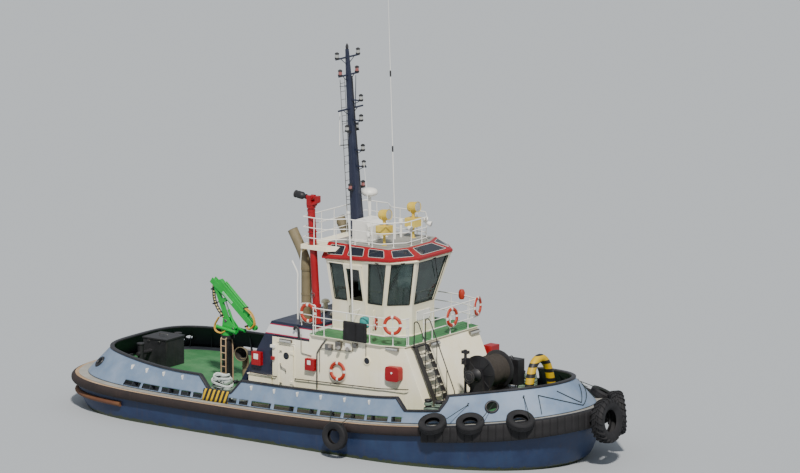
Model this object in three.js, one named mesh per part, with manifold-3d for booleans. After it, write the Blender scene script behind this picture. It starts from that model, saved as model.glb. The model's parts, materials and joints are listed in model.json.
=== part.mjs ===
// Harbour tug afloat: hull, house, wheelhouse, deck crane, towing gear and thrusters.
// Origin on the waterline amidships, X forward, Y to port, Z up. Tables are in metres.
import * as THREE from "three";
import { mergeVertices } from "three/addons/utils/BufferGeometryUtils.js";
import Module from "manifold-3d";

const wasm = await Module();
wasm.setup();
const { Manifold, Mesh } = wasm;

const MM = 1000;
const GAP = 0.0003;
const FULL = 2 * Math.PI;

// Geometry kit

// Points in metres and faces to a solid in millimetres, turned outwards when needed.
function fromFaces(points, faces) {
  const plain = new THREE.BufferGeometry();
  const flat = faces.flatMap((face) => face.flatMap((i) => points[i]));
  const scaled = new Float32Array(flat.map((value) => value * MM));
  plain.setAttribute("position", new THREE.BufferAttribute(scaled, 3));
  return closed(plain);
}

// A scaled geometry as a manifold that faces out.
function closed(geometry) {
  const merged = mergeVertices(geometry, 1e-3);
  const corners = new Uint32Array(merged.index.array);
  const build = () =>
    new Manifold(
      new Mesh({
        numProp: 3,
        vertProperties: merged.attributes.position.array,
        triVerts: corners,
      }),
    );
  const made = build();
  if (made.volume() >= 0) return made;
  for (let i = 0; i < corners.length; i += 3) {
    [corners[i + 1], corners[i + 2]] = [corners[i + 2], corners[i + 1]];
  }
  return build();
}

// A three.js geometry in metres as a solid.
function solid(geometry) {
  const loose = geometry.index ? geometry.toNonIndexed() : geometry;
  const plain = new THREE.BufferGeometry();
  plain.setAttribute("position", loose.getAttribute("position").clone());
  plain.scale(MM, MM, MM);
  return closed(plain);
}

function join(...parts) {
  return parts.flat().reduce((all, part) => all.add(part));
}

function cut(body, ...tools) {
  return tools.flat().reduce((rest, tool) => rest.subtract(tool), body);
}

function mirrored(body) {
  return body.mirror([0, 1, 0]);
}

function box(x, y, z) {
  const size = [x, y, z].map(([low, high]) => high - low);
  const middle = [x, y, z].map(([low, high]) => (low + high) / 2);
  return solid(new THREE.BoxGeometry(...size).translate(...middle));
}

const PLANES = {
  xy: [[1, 0, 0], [0, 1, 0], [0, 0, 1]],
  xz: [[1, 0, 0], [0, 0, 1], [0, -1, 0]],
  yz: [[0, 1, 0], [0, 0, 1], [1, 0, 0]],
};

// A flat outline drawn in one plane and extruded from one level to another.
function prism(plane, outline, low, high) {
  const shape = new THREE.Shape(outline.map(([u, v]) => new THREE.Vector2(u, v)));
  const body = new THREE.ExtrudeGeometry(shape, { depth: high - low, bevelEnabled: false });
  const axes = PLANES[plane].map((axis) => new THREE.Vector3(...axis));
  body.translate(0, 0, plane === "xz" ? -high : low);
  return solid(body.applyMatrix4(new THREE.Matrix4().makeBasis(...axes)));
}

// A round bar, or a cone with a second radius, between two points.
function rod(from, to, radius, sides = 8, endRadius = radius) {
  const start = new THREE.Vector3(...from);
  const reach = new THREE.Vector3(...to).sub(start);
  const body = new THREE.CylinderGeometry(endRadius, radius, reach.length(), sides);
  body.translate(0, reach.length() / 2, 0);
  const up = new THREE.Vector3(0, 1, 0);
  body.applyQuaternion(new THREE.Quaternion().setFromUnitVectors(up, reach.normalize()));
  return solid(body.translate(...from));
}

// Square bars along a list of points, each a little longer than its run.
function bars(points, radius) {
  return join(
    points.slice(1).map((to, i) => {
      const from = points[i];
      const length = Math.hypot(...to.map((value, c) => value - from[c]));
      const push = to.map((value, c) => ((value - from[c]) / length) * radius * 0.7);
      return rod(from.map((v, c) => v - push[c]), to.map((v, c) => v + push[c]), radius, 4);
    }),
  );
}

// A pipe of round section along a smooth curve through the points.
function pipe(points, radius, steps, sides = 12) {
  const curve = new THREE.CatmullRomCurve3(points.map((p) => new THREE.Vector3(...p)));
  const ring = new THREE.Shape();
  for (let i = 0; i < sides; i++) {
    const turn = (i / sides) * FULL;
    const spot = [radius * Math.cos(turn), radius * Math.sin(turn)];
    if (i === 0) ring.moveTo(...spot);
    else ring.lineTo(...spot);
  }
  ring.closePath();
  return solid(new THREE.ExtrudeGeometry(ring, { steps, extrudePath: curve, bevelEnabled: false }));
}

// A profile of radius and height turned round the Z axis, then moved.
function turned(profile, sides, at = [0, 0, 0]) {
  const points = profile.map(([radius, height]) => new THREE.Vector2(radius, height));
  const body = new THREE.LatheGeometry(points, sides);
  return solid(body.rotateX(Math.PI / 2).translate(...at));
}

function turnedAlong(axis, profile, sides, at) {
  const points = profile.map(([radius, height]) => new THREE.Vector2(radius, height));
  const body = new THREE.LatheGeometry(points, sides);
  const up = new THREE.Vector3(0, 1, 0);
  const way = new THREE.Vector3(...axis).normalize();
  body.applyQuaternion(new THREE.Quaternion().setFromUnitVectors(up, way));
  return solid(body.translate(...at));
}

// Faces of a flat outline, wound the way the outline runs.
function capOf(outline) {
  const points = outline.map(([u, v]) => new THREE.Vector2(u, v));
  const faces = THREE.ShapeUtils.triangulateShape(points, []);
  const area = (loop) => Math.sign(THREE.ShapeUtils.area(loop));
  const way = area(points);
  return faces.map((face) =>
    area(face.map((i) => points[i])) === way ? face : [face[0], face[2], face[1]],
  );
}

// A skin over a row of equal loops, capped at both ends.
function skin(loops, cap) {
  const count = loops[0].length;
  const faces = [];
  for (let s = 0; s + 1 < loops.length; s++) {
    for (let i = 0; i < count; i++) {
      const j = (i + 1) % count;
      const [a, b] = [s * count + i, s * count + j];
      faces.push([a, b, b + count], [a, b + count, a + count]);
    }
  }
  const top = (loops.length - 1) * count;
  for (const [a, b, c] of cap) faces.push([a, c, b], [top + a, top + b, top + c]);
  return fromFaces(loops.flat(), faces);
}

function loft(rings) {
  return skin(rings, capOf(rings[0]));
}

// The radius of a faceted bore that a round pin just turns in.
function boreFor(radius, sides) {
  return (radius + GAP) / Math.cos(Math.PI / sides);
}

// Hull lines

// Height of the deck at the side: low near the stern, rising forward.
function deckHeight(x) {
  const run = x + 5;
  return x < -5 ? 1.23 + 0.003 * run * run : 1.23 + 0.000726 * run ** 2.6;
}

const PLAN = {
  sternCentre: -5,
  bowCentre: 3,
  stern: 6.1,
  bow: 7.75,
  half: 4.15,
  sternPower: 3.6,
  bowPower: 2.1,
};

// A point of the plan outline: s runs 0 to 3 up the starboard side and 3 to 6 back down.
function planPoint(s, inset, plan = PLAN) {
  const lap = ((s % 6) + 6) % 6;
  const t = lap > 3 ? 6 - lap : lap;
  const half = plan.half - inset;
  const side = lap > 3 ? 1 : -1;
  const bend = (angle, power) => Math.max(0, angle) ** (2 / power);
  if (t >= 1 && t <= 2) {
    return [plan.sternCentre + (t - 1) * (plan.bowCentre - plan.sternCentre), side * half];
  }
  const atStern = t < 1;
  const angle = ((atStern ? t : 3 - t) * Math.PI) / 2;
  const power = atStern ? plan.sternPower : plan.bowPower;
  const reach = (atStern ? -(plan.stern - inset) : plan.bow - inset) * bend(Math.cos(angle), power);
  const start = atStern ? plan.sternCentre : plan.bowCentre;
  return [start + reach, side * half * bend(Math.sin(angle), power)];
}

// Evenly spread steps of s between two values.
function span(from, to, count) {
  return Array.from({ length: count + 1 }, (_, i) => from + ((to - from) * i) / count);
}

// Steps of s from the stern along one side: so many round the stern, the side and the bow.
function halfSteps(stern, side, bow, end = 3) {
  return [...span(0, 1, stern).slice(0, -1), ...span(1, 2, side).slice(0, -1), ...span(2, end, bow)];
}

const HALF_STEPS = halfSteps(10, 5, 12);

// A whole ring of the hull at one level; the level is a height for each x.
function hullRing(plan, inset, level) {
  const half = HALF_STEPS.map((s) => planPoint(s, inset, plan));
  const port = half.slice(1, -1).reverse().map(([x, y]) => [x, -y]);
  return [...half, ...port].map(([x, y]) => [x, y, level(x)]);
}

// Faces that close a ring with straight strips from side to side.
function acrossCap() {
  const last = HALF_STEPS.length - 1;
  const count = 2 * last;
  const faces = [[count - 1, 0, 1], [last - 1, last, last + 1]];
  for (let i = 1; i < last - 1; i++) {
    faces.push([count - i, i, i + 1], [count - i, i + 1, count - i - 1]);
  }
  return faces;
}

// A section of offset and height swept along the outline; both may change with x.
function sweep(steps, section) {
  const flat = section(0);
  const loops = steps.map((s) => {
    const [x] = planPoint(s, 0);
    return section(x).map(([inset, rise]) => {
      const [px, py] = planPoint(s, inset);
      return [px, py, deckHeight(px) + rise];
    });
  });
  return skin(loops, capOf(flat));
}

function smooth(low, high, value) {
  const t = Math.min(1, Math.max(0, (value - low) / (high - low)));
  return t * t * (3 - 2 * t);
}

const DECK_PLATE = 0.03;

const HULL_RINGS = [
  { stern: 6.1, bow: 7.75, half: 4.15, deep: null, aft: null, drop: -0.2 },
  { stern: 6.1, bow: 7.75, half: 4.15, deep: null, aft: null, drop: 0.72 },
  { stern: 5.85, bow: 7.2, half: 4.12, deep: 0.25, aft: 0.25 },
  { stern: 5.65, bow: 6.95, half: 4.05, deep: 0, aft: 0 },
  { stern: 5.05, bow: 6.4, half: 3.85, deep: -0.9, aft: -0.7 },
  { stern: 4.4, bow: 5.7, half: 3.35, deep: -1.7, aft: -0.95 },
  { stern: 3.6, bow: 4.9, half: 2.3, deep: -2.2, aft: -1.08 },
  { stern: 2.6, bow: 4.0, half: 0.8, deep: -2.4, aft: -1.15 },
];

const THRUSTER = { x: -7.4, y: 1.95, z: -2.36, pad: -1.26 };

const SKEG = [[-5.6, -1.0], [-4.9, -2.95], [3.6, -2.95], [5.4, -2.0], [5.4, -1.6]];

// The moulded hull, drawn out by a distance on every side.
function hullForm(grow) {
  const rings = HULL_RINGS.map((row) => {
    const plan = { ...PLAN, stern: row.stern, bow: row.bow, half: row.half };
    const level = (x) => {
      if (row.deep === null) return deckHeight(x) - row.drop;
      const share = smooth(-6, -2.5, x);
      return row.aft + (row.deep - row.aft) * share;
    };
    return hullRing(plan, -grow, level);
  });
  return skin(rings, acrossCap());
}

function hullBody() {
  const { x, y, pad } = THRUSTER;
  const pads = [-y, y].map((at) => rod([x, at, pad + 0.66], [x, at, pad], 0.5, 24));
  return join(hullForm(0).intersect(belowDeck(-DECK_PLATE)), prism("xz", SKEG, -0.16, 0.16), pads);
}

// Everything below the top of the deck, to trim what stands on it.
function belowDeck(rise = GAP) {
  const rings = [() => -4, (x) => deckHeight(x) + rise].map((level) => hullRing(PLAN, -0.9, level));
  return skin(rings, acrossCap());
}

const UNDER = belowDeck();

function onDeck(body) {
  return body.subtract(UNDER);
}

function mainDeck() {
  const inside = [0, 4].map((height) => hullRing(PLAN, 0.47, () => height));
  const plate = belowDeck(0).subtract(belowDeck(GAP - DECK_PLATE));
  return plate.intersect(skin(inside, acrossCap()));
}

// Bulwark

const BULWARK = { foot: 0.3, plate: 0.08, lip: 0.04, capDepth: 0.06, seat: -0.1 };
const BULWARK_STEPS = halfSteps(12, 6, 14);
const BULWARK_CUTS = [-2.8, 5.15];

function bulwarkLean(x) {
  return x < 0 ? 0.35 + 0.45 * smooth(-5, -10, x) : 0.35 + 0.5 * smooth(4, 10, x);
}

function bulwarkRise(x) {
  return 0.87 + 0.16 * smooth(3, 10, x) + 0.1 * smooth(-5, -10, x);
}

function bulwarkSection(x) {
  const { foot, plate, lip, capDepth, seat } = BULWARK;
  const rise = bulwarkRise(x);
  const top = foot + bulwarkLean(x);
  const under = foot + (bulwarkLean(x) * (rise - capDepth)) / rise;
  return [
    [foot, seat],
    [foot + plate, seat],
    [under + plate, rise - capDepth],
    [top + plate + lip, rise - capDepth],
    [top + plate + lip, rise],
    [top - lip, rise],
    [top - lip, rise - capDepth],
    [under, rise - capDepth],
  ];
}

const FREEING_PORTS = [
  [-8.0, -7.12], [-7.02, -6.15], [-6.03, -5.14], [-5.04, -4.6], [-4.5, -4.07],
  [-2.86, -2.47], [-2.36, -1.95], [-1.8, -0.9], [-0.76, 0.16], [0.3, 1.22],
  [1.34, 2.3], [2.42, 3.38], [3.48, 4.44], [4.58, 5.04],
];

const NOTCHES = [
  { low: [-3.8, -2.8], high: [-4.4, -2.45], rise: 0.38 },
  { low: [5.15, 6.55], high: [4.7, 6.9], rise: 0.43 },
];

const HAWSES = [
  { at: [8.45, -2.85, 2.42], way: [0.66, -0.7, 0.25], radius: 0.2 },
  { at: [-9.75, -2.7, 1.72], way: [-0.75, -0.6, 0.25], radius: 0.17 },
];

function notchTool({ low, high, rise }) {
  const middle = (low[0] + low[1]) / 2;
  const base = deckHeight(middle) + rise;
  const grow = (1.5 - rise) / (0.87 - rise);
  const reach = [0, 1].map((i) => low[i] + (high[i] - low[i]) * grow);
  const top = deckHeight(middle) + 1.5;
  return prism("xz", [[low[0], base], [low[1], base], [reach[1], top], [reach[0], top]], -5, -2);
}

function portTool([from, to]) {
  const base = deckHeight((from + to) / 2);
  return box([from, to], [-5, -3], [base + 0.02, base + 0.2]);
}

function hawseTool({ at, way, radius }) {
  const [from, to] = [-0.6, 0.6].map((t) => at.map((value, i) => value + t * way[i]));
  return rod(from, to, radius, 16);
}

function bulwarkRing() {
  const openings = [...FREEING_PORTS.map(portTool), ...NOTCHES.map(notchTool), ...HAWSES.map(hawseTool)];
  const half = cut(sweep(BULWARK_STEPS, bulwarkSection), belowDeck(GAP - DECK_PLATE), openings);
  return join(half, mirrored(half));
}

// The bulwark between two stations, a seat gap clear of its neighbours.
function bulwarkPart(ring, from, to, y = [-6, 6]) {
  return ring.intersect(box([from + GAP / 2, to - GAP / 2], y, [0, 5]));
}

// Fenders

const FENDER_START = 2.24;

const HULL_SKIN = hullForm(GAP);

const STRAKE_SECTION = [
  [0.1, -0.4], [-0.17, -0.4], [-0.25, -0.32], [-0.25, -0.12], [-0.17, -0.04], [0.1, -0.04],
];

function rubbingStrake() {
  const half = halfSteps(12, 6, 4, FENDER_START - 0.002);
  const steps = [...half.slice(1).reverse().map((s) => -s), ...half];
  return sweep(steps, () => STRAKE_SECTION).subtract(HULL_SKIN);
}

function lowerStrake() {
  const steps = span(-0.86, 0.86, 18);
  const section = (x) => {
    const drop = 0.62 - deckHeight(x);
    const face = [[-0.12, drop - 0.08], [-0.16, drop], [-0.12, drop + 0.08]];
    return [[0.4, drop - 0.11], ...face, [0.4, drop + 0.11]];
  };
  return sweep(steps, section).subtract(HULL_SKIN);
}

const TYRE_SIDES = 12;

// A tyre lying round the given axis.
function tyre(at, axis, radius, width) {
  const bore = radius * 0.5;
  const half = width / 2;
  const profile = [
    [bore, -half * 0.6], [radius * 0.8, -half], [radius, -half * 0.62],
    [radius, half * 0.62], [radius * 0.8, half], [bore, half * 0.6], [bore, -half * 0.6],
  ];
  return turnedAlong(axis, profile, TYRE_SIDES, at);
}

const BOW_TYRES = [
  { at: [6.63, -3.99, 1.6], axis: [0.1, -0.42, 0.9] },
  { at: [7.95, -3.5, 1.7], axis: [0.2, -0.38, 0.9] },
  { at: [9.55, -2.65, 1.86], axis: [0.35, -0.28, 0.9] },
];
const TYRE = { radius: 0.52, width: 0.3 };
const STEM_TYRES = [
  { at: [11.3, 0.2, 1.72], axis: [1, 0.05, 0.1] },
  { at: [10.3, 2.28, 1.5], axis: [0.72, 0.7, 0.05] },
];
const STEM_TYRE = { radius: 0.82, width: 0.5 };

function bowFender() {
  const steps = span(FENDER_START + 0.002, 6 - FENDER_START - 0.002, 28);
  const band = sweep(steps, (x) => {
    const foot = -0.6 - 0.1 * smooth(6, 10, x);
    const face = [[-0.28, foot], [-0.33, foot + 0.06], [-0.33, -0.1], [-0.28, -0.04]];
    return [[0.2, foot], ...face, [0.2, -0.04]];
  });
  const side = BOW_TYRES.map(({ at, axis }) => tyre(at, axis, TYRE.radius, TYRE.width));
  const big = STEM_TYRES.map(({ at, axis }) => tyre(at, axis, STEM_TYRE.radius, STEM_TYRE.width));
  return cut(join(band, side, side.map(mirrored), big), HULL_SKIN, bulwarkKeepOut());
}

// The bulwark's outer face and all inside it, with the seat gap.
function bulwarkKeepOut() {
  const half = sweep(BULWARK_STEPS, (x) => {
    const { foot } = BULWARK;
    const slope = bulwarkLean(x) / bulwarkRise(x);
    return [[foot - GAP, -0.1], [2.5, -0.1], [2.5, 1.4], [foot - GAP + slope * 1.5, 1.4]];
  });
  return join(half, mirrored(half));
}

function sideTyre() {
  return tyre([2.6, -4.5693, 0.86], [0, -1, 0.06], TYRE.radius, 0.29);
}

// Houses

const HOUSE_DOOR = {
  x: [-1.47, -0.83],
  z: [1.76, 3.38],
  face: 2.5,
  leaf: 0.05,
  play: 0.006,
  hinge: [-0.822, -2.518],
  knuckle: 0.0177,
};

function deckhouse() {
  const outer = [[-1.8, 0.9], [-1.8, 3.66], [-0.1, 3.66], [-0.1, 3.93], [4.05, 3.93], [5.4, 0.9]];
  const inner = [[-1.74, 0.5], [-1.74, 3.6], [-0.04, 3.6], [-0.04, 3.87], [3.99, 3.87], [5.5, 0.48]];
  const plan = (inset) => {
    const side = [[-2, -2.5 + inset], [3.2, -2.5 + inset], [4.05, -2.3 + inset], [5.6, -2.3 + inset]];
    return [...side, ...side.map(([x, y]) => [x, -y]).reverse()];
  };
  const shell = prism("xz", outer, -2.6, 2.6).intersect(prism("xy", plan(0), 0.5, 4));
  const room = prism("xz", inner, -2.6, 2.6).intersect(prism("xy", plan(0.06), 0.4, 4));
  const doorway = box(HOUSE_DOOR.x, [-3, 3], HOUSE_DOOR.z);
  return onDeck(cut(shell, room, doorway));
}

function houseDoor() {
  const { x, z, face, leaf, play, hinge, knuckle } = HOUSE_DOOR;
  const slab = box([x[0] + play, x[1] - play], [-face, -face + leaf], [z[0] + play, z[1] - play]);
  const hinges = [z[0] + 0.25, z[1] - 0.25].map((height) => [
    rod([...hinge, height - 0.08], [...hinge, height + 0.08], knuckle, 8),
    box([x[1] - 0.14, hinge[0]], [-face - 0.03, -face - GAP], [height - 0.05, height + 0.05]),
    box([x[1] - 0.14, x[1] - 0.02], [-face - 0.03, -face + 0.01], [height - 0.05, height + 0.05]),
  ]);
  return join(slab, hinges.flat());
}

const CASING_TOP = 4.2;

function engineCasing() {
  const edge = -0.1 - GAP;
  const seat = 3.66 + GAP;
  const aft = [[-3.65, 0.9], [-3.65, 1.28], [-1.95, CASING_TOP]];
  const fore = [[edge, CASING_TOP], [edge, seat], [-1.8 - GAP, seat], [-1.8 - GAP, 0.9]];
  return onDeck(prism("xz", [...aft, ...fore], -2.35, 2.35));
}

const BRIDGE_DECK = 3.97;

function bridgeDeck() {
  const side = [[-0.1, -2.5], [0.1, -2.6], [3.2, -2.6], [4.12, -2.3]];
  const outline = [...side, ...side.map(([x, y]) => [x, -y]).reverse()];
  return prism("xy", outline, 3.93 + GAP, BRIDGE_DECK);
}

const EXHAUST = { x: -1.0, y: 1.45, radius: 0.19, wall: 0.02 };

function exhaust() {
  const { x, y, radius, wall } = EXHAUST;
  const bend = [[x, -y, 6.1], [x - 0.06, -y, 6.45], [x - 0.24, -y, 6.85], [x - 0.62, -y, 7.5]];
  const post = rod([x, -y, CASING_TOP + GAP], [x, -y, 6.15], radius, 14);
  const flange = rod([x, -y, 6.1], [x, -y, 6.16], radius + 0.03, 14);
  const foot = rod([x, -y, CASING_TOP + GAP], [x, -y, 4.26], radius + 0.08, 14);
  const bore = pipe([[x - 0.2, -y, 6.75], [x - 0.45, -y, 7.2], [x - 0.78, -y, 7.79]], radius - wall, 3, 14);
  return cut(join(post, pipe(bend, radius, 6, 14), flange, foot), bore);
}

// Wheelhouse

const HOUSE = {
  foot: [[0.15, -1.4], [2.5, -1.4], [3.25, -0.7], [3.25, 0.7], [2.5, 1.4], [0.15, 1.4]],
  brow: [[0.1, -1.75], [2.95, -1.75], [3.7, -1.05], [3.7, 1.05], [2.95, 1.75], [0.1, 1.75]],
  base: BRIDGE_DECK + GAP,
  sill: 5.05,
  top: 6.7,
  rise: 0.065,
};

// A plan outline of the wheelhouse drawn in by a distance, at a height.
function houseRing(height, inset) {
  const share = (height - HOUSE.sill) / (HOUSE.top - HOUSE.sill);
  const grow = Math.max(0, share);
  const loop = HOUSE.foot.map(([x, y], i) => [
    x + (HOUSE.brow[i][0] - x) * grow,
    y + (HOUSE.brow[i][1] - y) * grow,
  ]);
  return insetLoop(loop, inset).map(([x, y]) => [x, y, height]);
}

// A convex loop with each edge moved inwards.
function insetLoop(loop, inset) {
  const lines = loop.map((from, i) => {
    const to = loop[(i + 1) % loop.length];
    const way = [to[0] - from[0], to[1] - from[1]];
    const length = Math.hypot(...way);
    const unit = [way[0] / length, way[1] / length];
    return { at: [from[0] - unit[1] * inset, from[1] + unit[0] * inset], way: unit };
  });
  return lines.map((line, i) => {
    const before = lines[(i + lines.length - 1) % lines.length];
    const cross = before.way[0] * line.way[1] - before.way[1] * line.way[0];
    const gap = [line.at[0] - before.at[0], line.at[1] - before.at[1]];
    const t = (gap[0] * line.way[1] - gap[1] * line.way[0]) / cross;
    return [before.at[0] + before.way[0] * t, before.at[1] + before.way[1] * t];
  });
}

const WALL = 0.06;

// Window openings: face number, share of the face's length, share of its height.
const PANES = [
  { face: 0, u: [0.05, 0.29], v: [0.05, 0.93] },
  { face: 0, u: [0.68, 0.96], v: [0.05, 0.93] },
  { face: 1, u: [0.09, 0.91], v: [0.05, 0.93] },
  { face: 2, u: [0.07, 0.93], v: [0.05, 0.93] },
  { face: 3, u: [0.09, 0.91], v: [0.05, 0.93] },
  { face: 4, u: [0.04, 0.32], v: [0.05, 0.93] },
  { face: 4, u: [0.71, 0.95], v: [0.05, 0.93] },
  { face: 5, u: [0.08, 0.46], v: [0.05, 0.93] },
  { face: 5, u: [0.54, 0.92], v: [0.05, 0.93] },
];

function paneTool({ face, u, v }) {
  const low = houseRing(HOUSE.sill, 0);
  const high = houseRing(HOUSE.top, 0);
  const next = (face + 1) % low.length;
  const spot = (a, b) => {
    const [p, q] = [low, high].map((ring) =>
      new THREE.Vector3(...ring[face]).lerp(new THREE.Vector3(...ring[next]), a),
    );
    return p.lerp(q, b);
  };
  const upper = (a) => spot(a, v[1] + (HOUSE.rise * spot(a, v[1]).x) / (HOUSE.top - HOUSE.sill));
  const corners = [spot(u[0], v[0]), spot(u[1], v[0]), upper(u[1]), upper(u[0])];
  const out = corners[1].clone().sub(corners[0]).cross(corners[3].clone().sub(corners[0])).normalize();
  const loops = [-0.2, 0.2].map((t) => corners.map((c) => c.clone().addScaledVector(out, t).toArray()));
  return skin(loops, [[0, 1, 2], [0, 2, 3]]);
}

const SIDE_DOOR = { x: [0.95, 1.65], z: [4.1, 6.5], top: 6.57, overlap: 0.05, leaf: 0.04, stand: 0.008 };

function sideDoorway(margin = 0) {
  return box([SIDE_DOOR.x[0] - margin, SIDE_DOOR.x[1] + margin], [-2.2, 2.2], SIDE_DOOR.z);
}

function wheelhouse() {
  const outer = loft([HOUSE.base, HOUSE.sill, HOUSE.top + 0.4].map((level) => houseRing(level, 0)));
  const inner = loft([3.9, HOUSE.sill, HOUSE.top + 0.5].map((level) => houseRing(level, WALL)));
  const runner = box([0.2, 1.74], [-1.765, -1.6], [SIDE_DOOR.top, SIDE_DOOR.top + 0.05]).subtract(inner);
  const walls = cut(outer.intersect(underBrow()), inner, PANES.map(paneTool), sideDoorway());
  return join(walls, runner, mirrored(runner));
}

// All that lies under the brow, which rises forward.
function underBrow(margin = 0) {
  const top = (x) => HOUSE.top + HOUSE.rise * x - margin;
  return prism("xz", [[-2, 3], [6, 3], [6, top(6)], [-2, top(-2)]], -3, 3);
}

const GLASS = 0.012;

function glazingRing() {
  const start = WALL + 0.0008;
  const outer = loft([4.97, HOUSE.sill, HOUSE.top + 0.4].map((level) => houseRing(level, start)));
  const inner = loft([4.9, HOUSE.sill, HOUSE.top + 0.5].map((level) => houseRing(level, start + GLASS)));
  return cut(outer.intersect(underBrow(0.02)), inner, sideDoorway(0.01));
}

function glazing(forward) {
  const middle = (SIDE_DOOR.x[0] + SIDE_DOOR.x[1]) / 2;
  const half = forward ? [middle, 5] : [-2, middle];
  return glazingRing().intersect(box(half, [-3, 3], [4, 8]));
}

function wheelhouseDoor() {
  const { x, z, top, overlap, leaf, stand } = SIDE_DOOR;
  const lean = (height) => (0.35 * Math.max(0, height - HOUSE.sill)) / (HOUSE.top - HOUSE.sill);
  const [low, high] = [z[0] - 0.04, top - GAP];
  const face = (height, off) => -(1.4 + lean(height) + off);
  const outline = [
    [face(low, stand), low], [face(low, stand + leaf), low], [face(HOUSE.sill, stand + leaf), HOUSE.sill],
    [face(high, stand + leaf), high], [face(high, stand), high], [face(HOUSE.sill, stand), HOUSE.sill],
  ];
  const slab = prism("yz", outline, x[0] - overlap, x[1] + overlap);
  return slab.subtract(box([x[0] + 0.05, x[1] - 0.05], [-3, -1], [5.2, 6.42]));
}

const ROOF = {
  rim: [[0.0, -1.85], [3.05, -1.85], [3.85, -1.02], [3.85, 1.02], [3.05, 1.85], [0.0, 1.85]],
  crown: [[0.05, -1.5], [2.75, -1.5], [3.08, -0.67], [3.08, 0.67], [2.75, 1.5], [0.05, 1.5]],
  low: 6.7 + GAP,
  edge: 6.78,
  top: 7.27,
};

const PLATFORM = { top: 7.15, depth: 0.16 };

const SEARCHLIGHTS = [[2.15, -0.9], [2.15, 0.9]];
const LIGHT_SEAT = 8.02;

const MONITOR = {
  low: [-0.28, -1.75, CASING_TOP + GAP],
  high: [-0.55, -1.75, 8.45],
  turnRadius: 0.14,
  trunnion: 0.42,
};
const RISER_PASS = { x: -0.47, y: MONITOR.low[1], radius: 0.2 };

function wheelhouseRoof() {
  const sloped = (height) => ROOF.rim.map(([x, y]) => [x, y, height + HOUSE.rise * x]);
  const crown = ROOF.crown.map(([x, y]) => [x, y, ROOF.top]);
  const brow = loft([sloped(ROOF.low), sloped(ROOF.edge), crown]);
  const outline = [[-0.85, -2.0], [0.3, -2.0], [0.75, -1.5], [0.75, 1.5], [0.3, 2.0], [-0.85, 2.0]];
  const platform = prism("xy", outline, PLATFORM.top - PLATFORM.depth, PLATFORM.top);
  const stands = SEARCHLIGHTS.map(([x, y]) =>
    join(
      rod([x, y, 7.2], [x, y, 7.75], 0.05, 8),
      box([x - 0.23, x + 0.23], [y - 0.23, y + 0.23], [7.7, LIGHT_SEAT]),
    ),
  );
  const { x, y, radius } = RISER_PASS;
  return cut(join(brow, platform, stands), rod([x, y, 6.9], [x, y, 7.3], radius, 16));
}

function searchlight(x, y) {
  const foot = rod([x, y, LIGHT_SEAT + GAP], [x, y, 8.24], 0.06, 10);
  const neck = rod([x, y, 8.2], [x, y, 8.35], 0.09, 10);
  const profile = [[0, -0.2], [0.12, -0.2], [0.17, -0.08], [0.17, 0.2], [0, 0.2]];
  return join(foot, neck, turnedAlong([1, 0, 0.12], profile, 16, [x, y, 8.42]));
}

function roofLocker() {
  return box([0.58, 1.32], [-0.75, 0.42], [ROOF.top + GAP, 8.0]);
}

function helm() {
  const floor = box([1.2, 2.9], [-0.6, 0.6], [BRIDGE_DECK + GAP, 4.0]);
  const desk = prism("xz", [[2.35, 3.98], [2.35, 4.85], [2.95, 5.0], [2.95, 3.98]], -0.6, 0.6);
  const seat = box([1.35, 1.85], [-0.25, 0.25], [4.45, 4.6]);
  const back = box([1.3, 1.4], [-0.25, 0.25], [4.5, 5.25]);
  return join(floor, desk, seat, back, rod([1.6, 0, 3.98], [1.6, 0, 4.5], 0.07, 10));
}

// Railings: mitred bars along a run, with flat posts let into them

const RAIL = 0.022;
const POST = 0.018;
const END_POST = 0.03;

// The run moved sideways, its corners mitred; a closed run joins up with itself.
function offsetRun(points, off, joined) {
  const last = points.length - 1;
  const normal = (from, to) => {
    const way = [to[0] - from[0], to[1] - from[1]];
    const length = Math.hypot(...way);
    return [-way[1] / length, way[0] / length];
  };
  return points.map((at, i) => {
    const before = joined ? points[(i + last) % (last + 1)] : points[Math.max(0, i - 1)];
    const after = joined ? points[(i + 1) % (last + 1)] : points[Math.min(last, i + 1)];
    const one = normal(before === at ? points[0] : before, before === at ? points[1] : at);
    const two = normal(after === at ? points[last - 1] : at, after === at ? points[last] : after);
    const share = off / (1 + one[0] * two[0] + one[1] * two[1]);
    return [at[0] + (one[0] + two[0]) * share, at[1] + (one[1] + two[1]) * share];
  });
}

function railBar(points, height, joined) {
  const [left, right] = [RAIL, -RAIL].map((off) => offsetRun(points, off, joined));
  const [low, high] = [height - RAIL, height + RAIL];
  if (joined) return prism("xy", right, low, high).subtract(prism("xy", left, low - RAIL, high + RAIL));
  const corners = (i) => [[...right[i], low], [...left[i], low], [...left[i], high], [...right[i], high]];
  return skin(points.map((_, i) => corners(i)), [[0, 1, 2], [0, 2, 3]]);
}

function railRun(points, { feet, heights, every, joined = false }) {
  const parts = heights.map((height) => railBar(points, height, joined));
  const starts = joined ? points : points.slice(0, -1);
  const legs = starts.map((at, i) => [at, points[(i + 1) % points.length]]);
  for (const [i, [from, to]] of legs.entries()) {
    const reach = [to[0] - from[0], to[1] - from[1]];
    const length = Math.hypot(...reach);
    const count = Math.max(1, Math.round(length / every));
    const runs = Array.from({ length: count }, (_, k) => (length * (k + 0.5)) / count);
    if (!joined && i === 0) runs.push(END_POST);
    if (!joined && i === legs.length - 1) runs.push(length - END_POST);
    const angle = THREE.MathUtils.radToDeg(Math.atan2(reach[1], reach[0]));
    for (const run of runs) {
      const foot = feet(from[0] + (reach[0] * run) / length, from[1] + (reach[1] * run) / length);
      const post = box([run - POST, run + POST], [-POST, POST], [foot + GAP, heights[0]]);
      parts.push(post.rotate([0, 0, angle]).translate([from[0] * MM, from[1] * MM, 0]));
    }
  }
  return join(parts);
}

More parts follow.
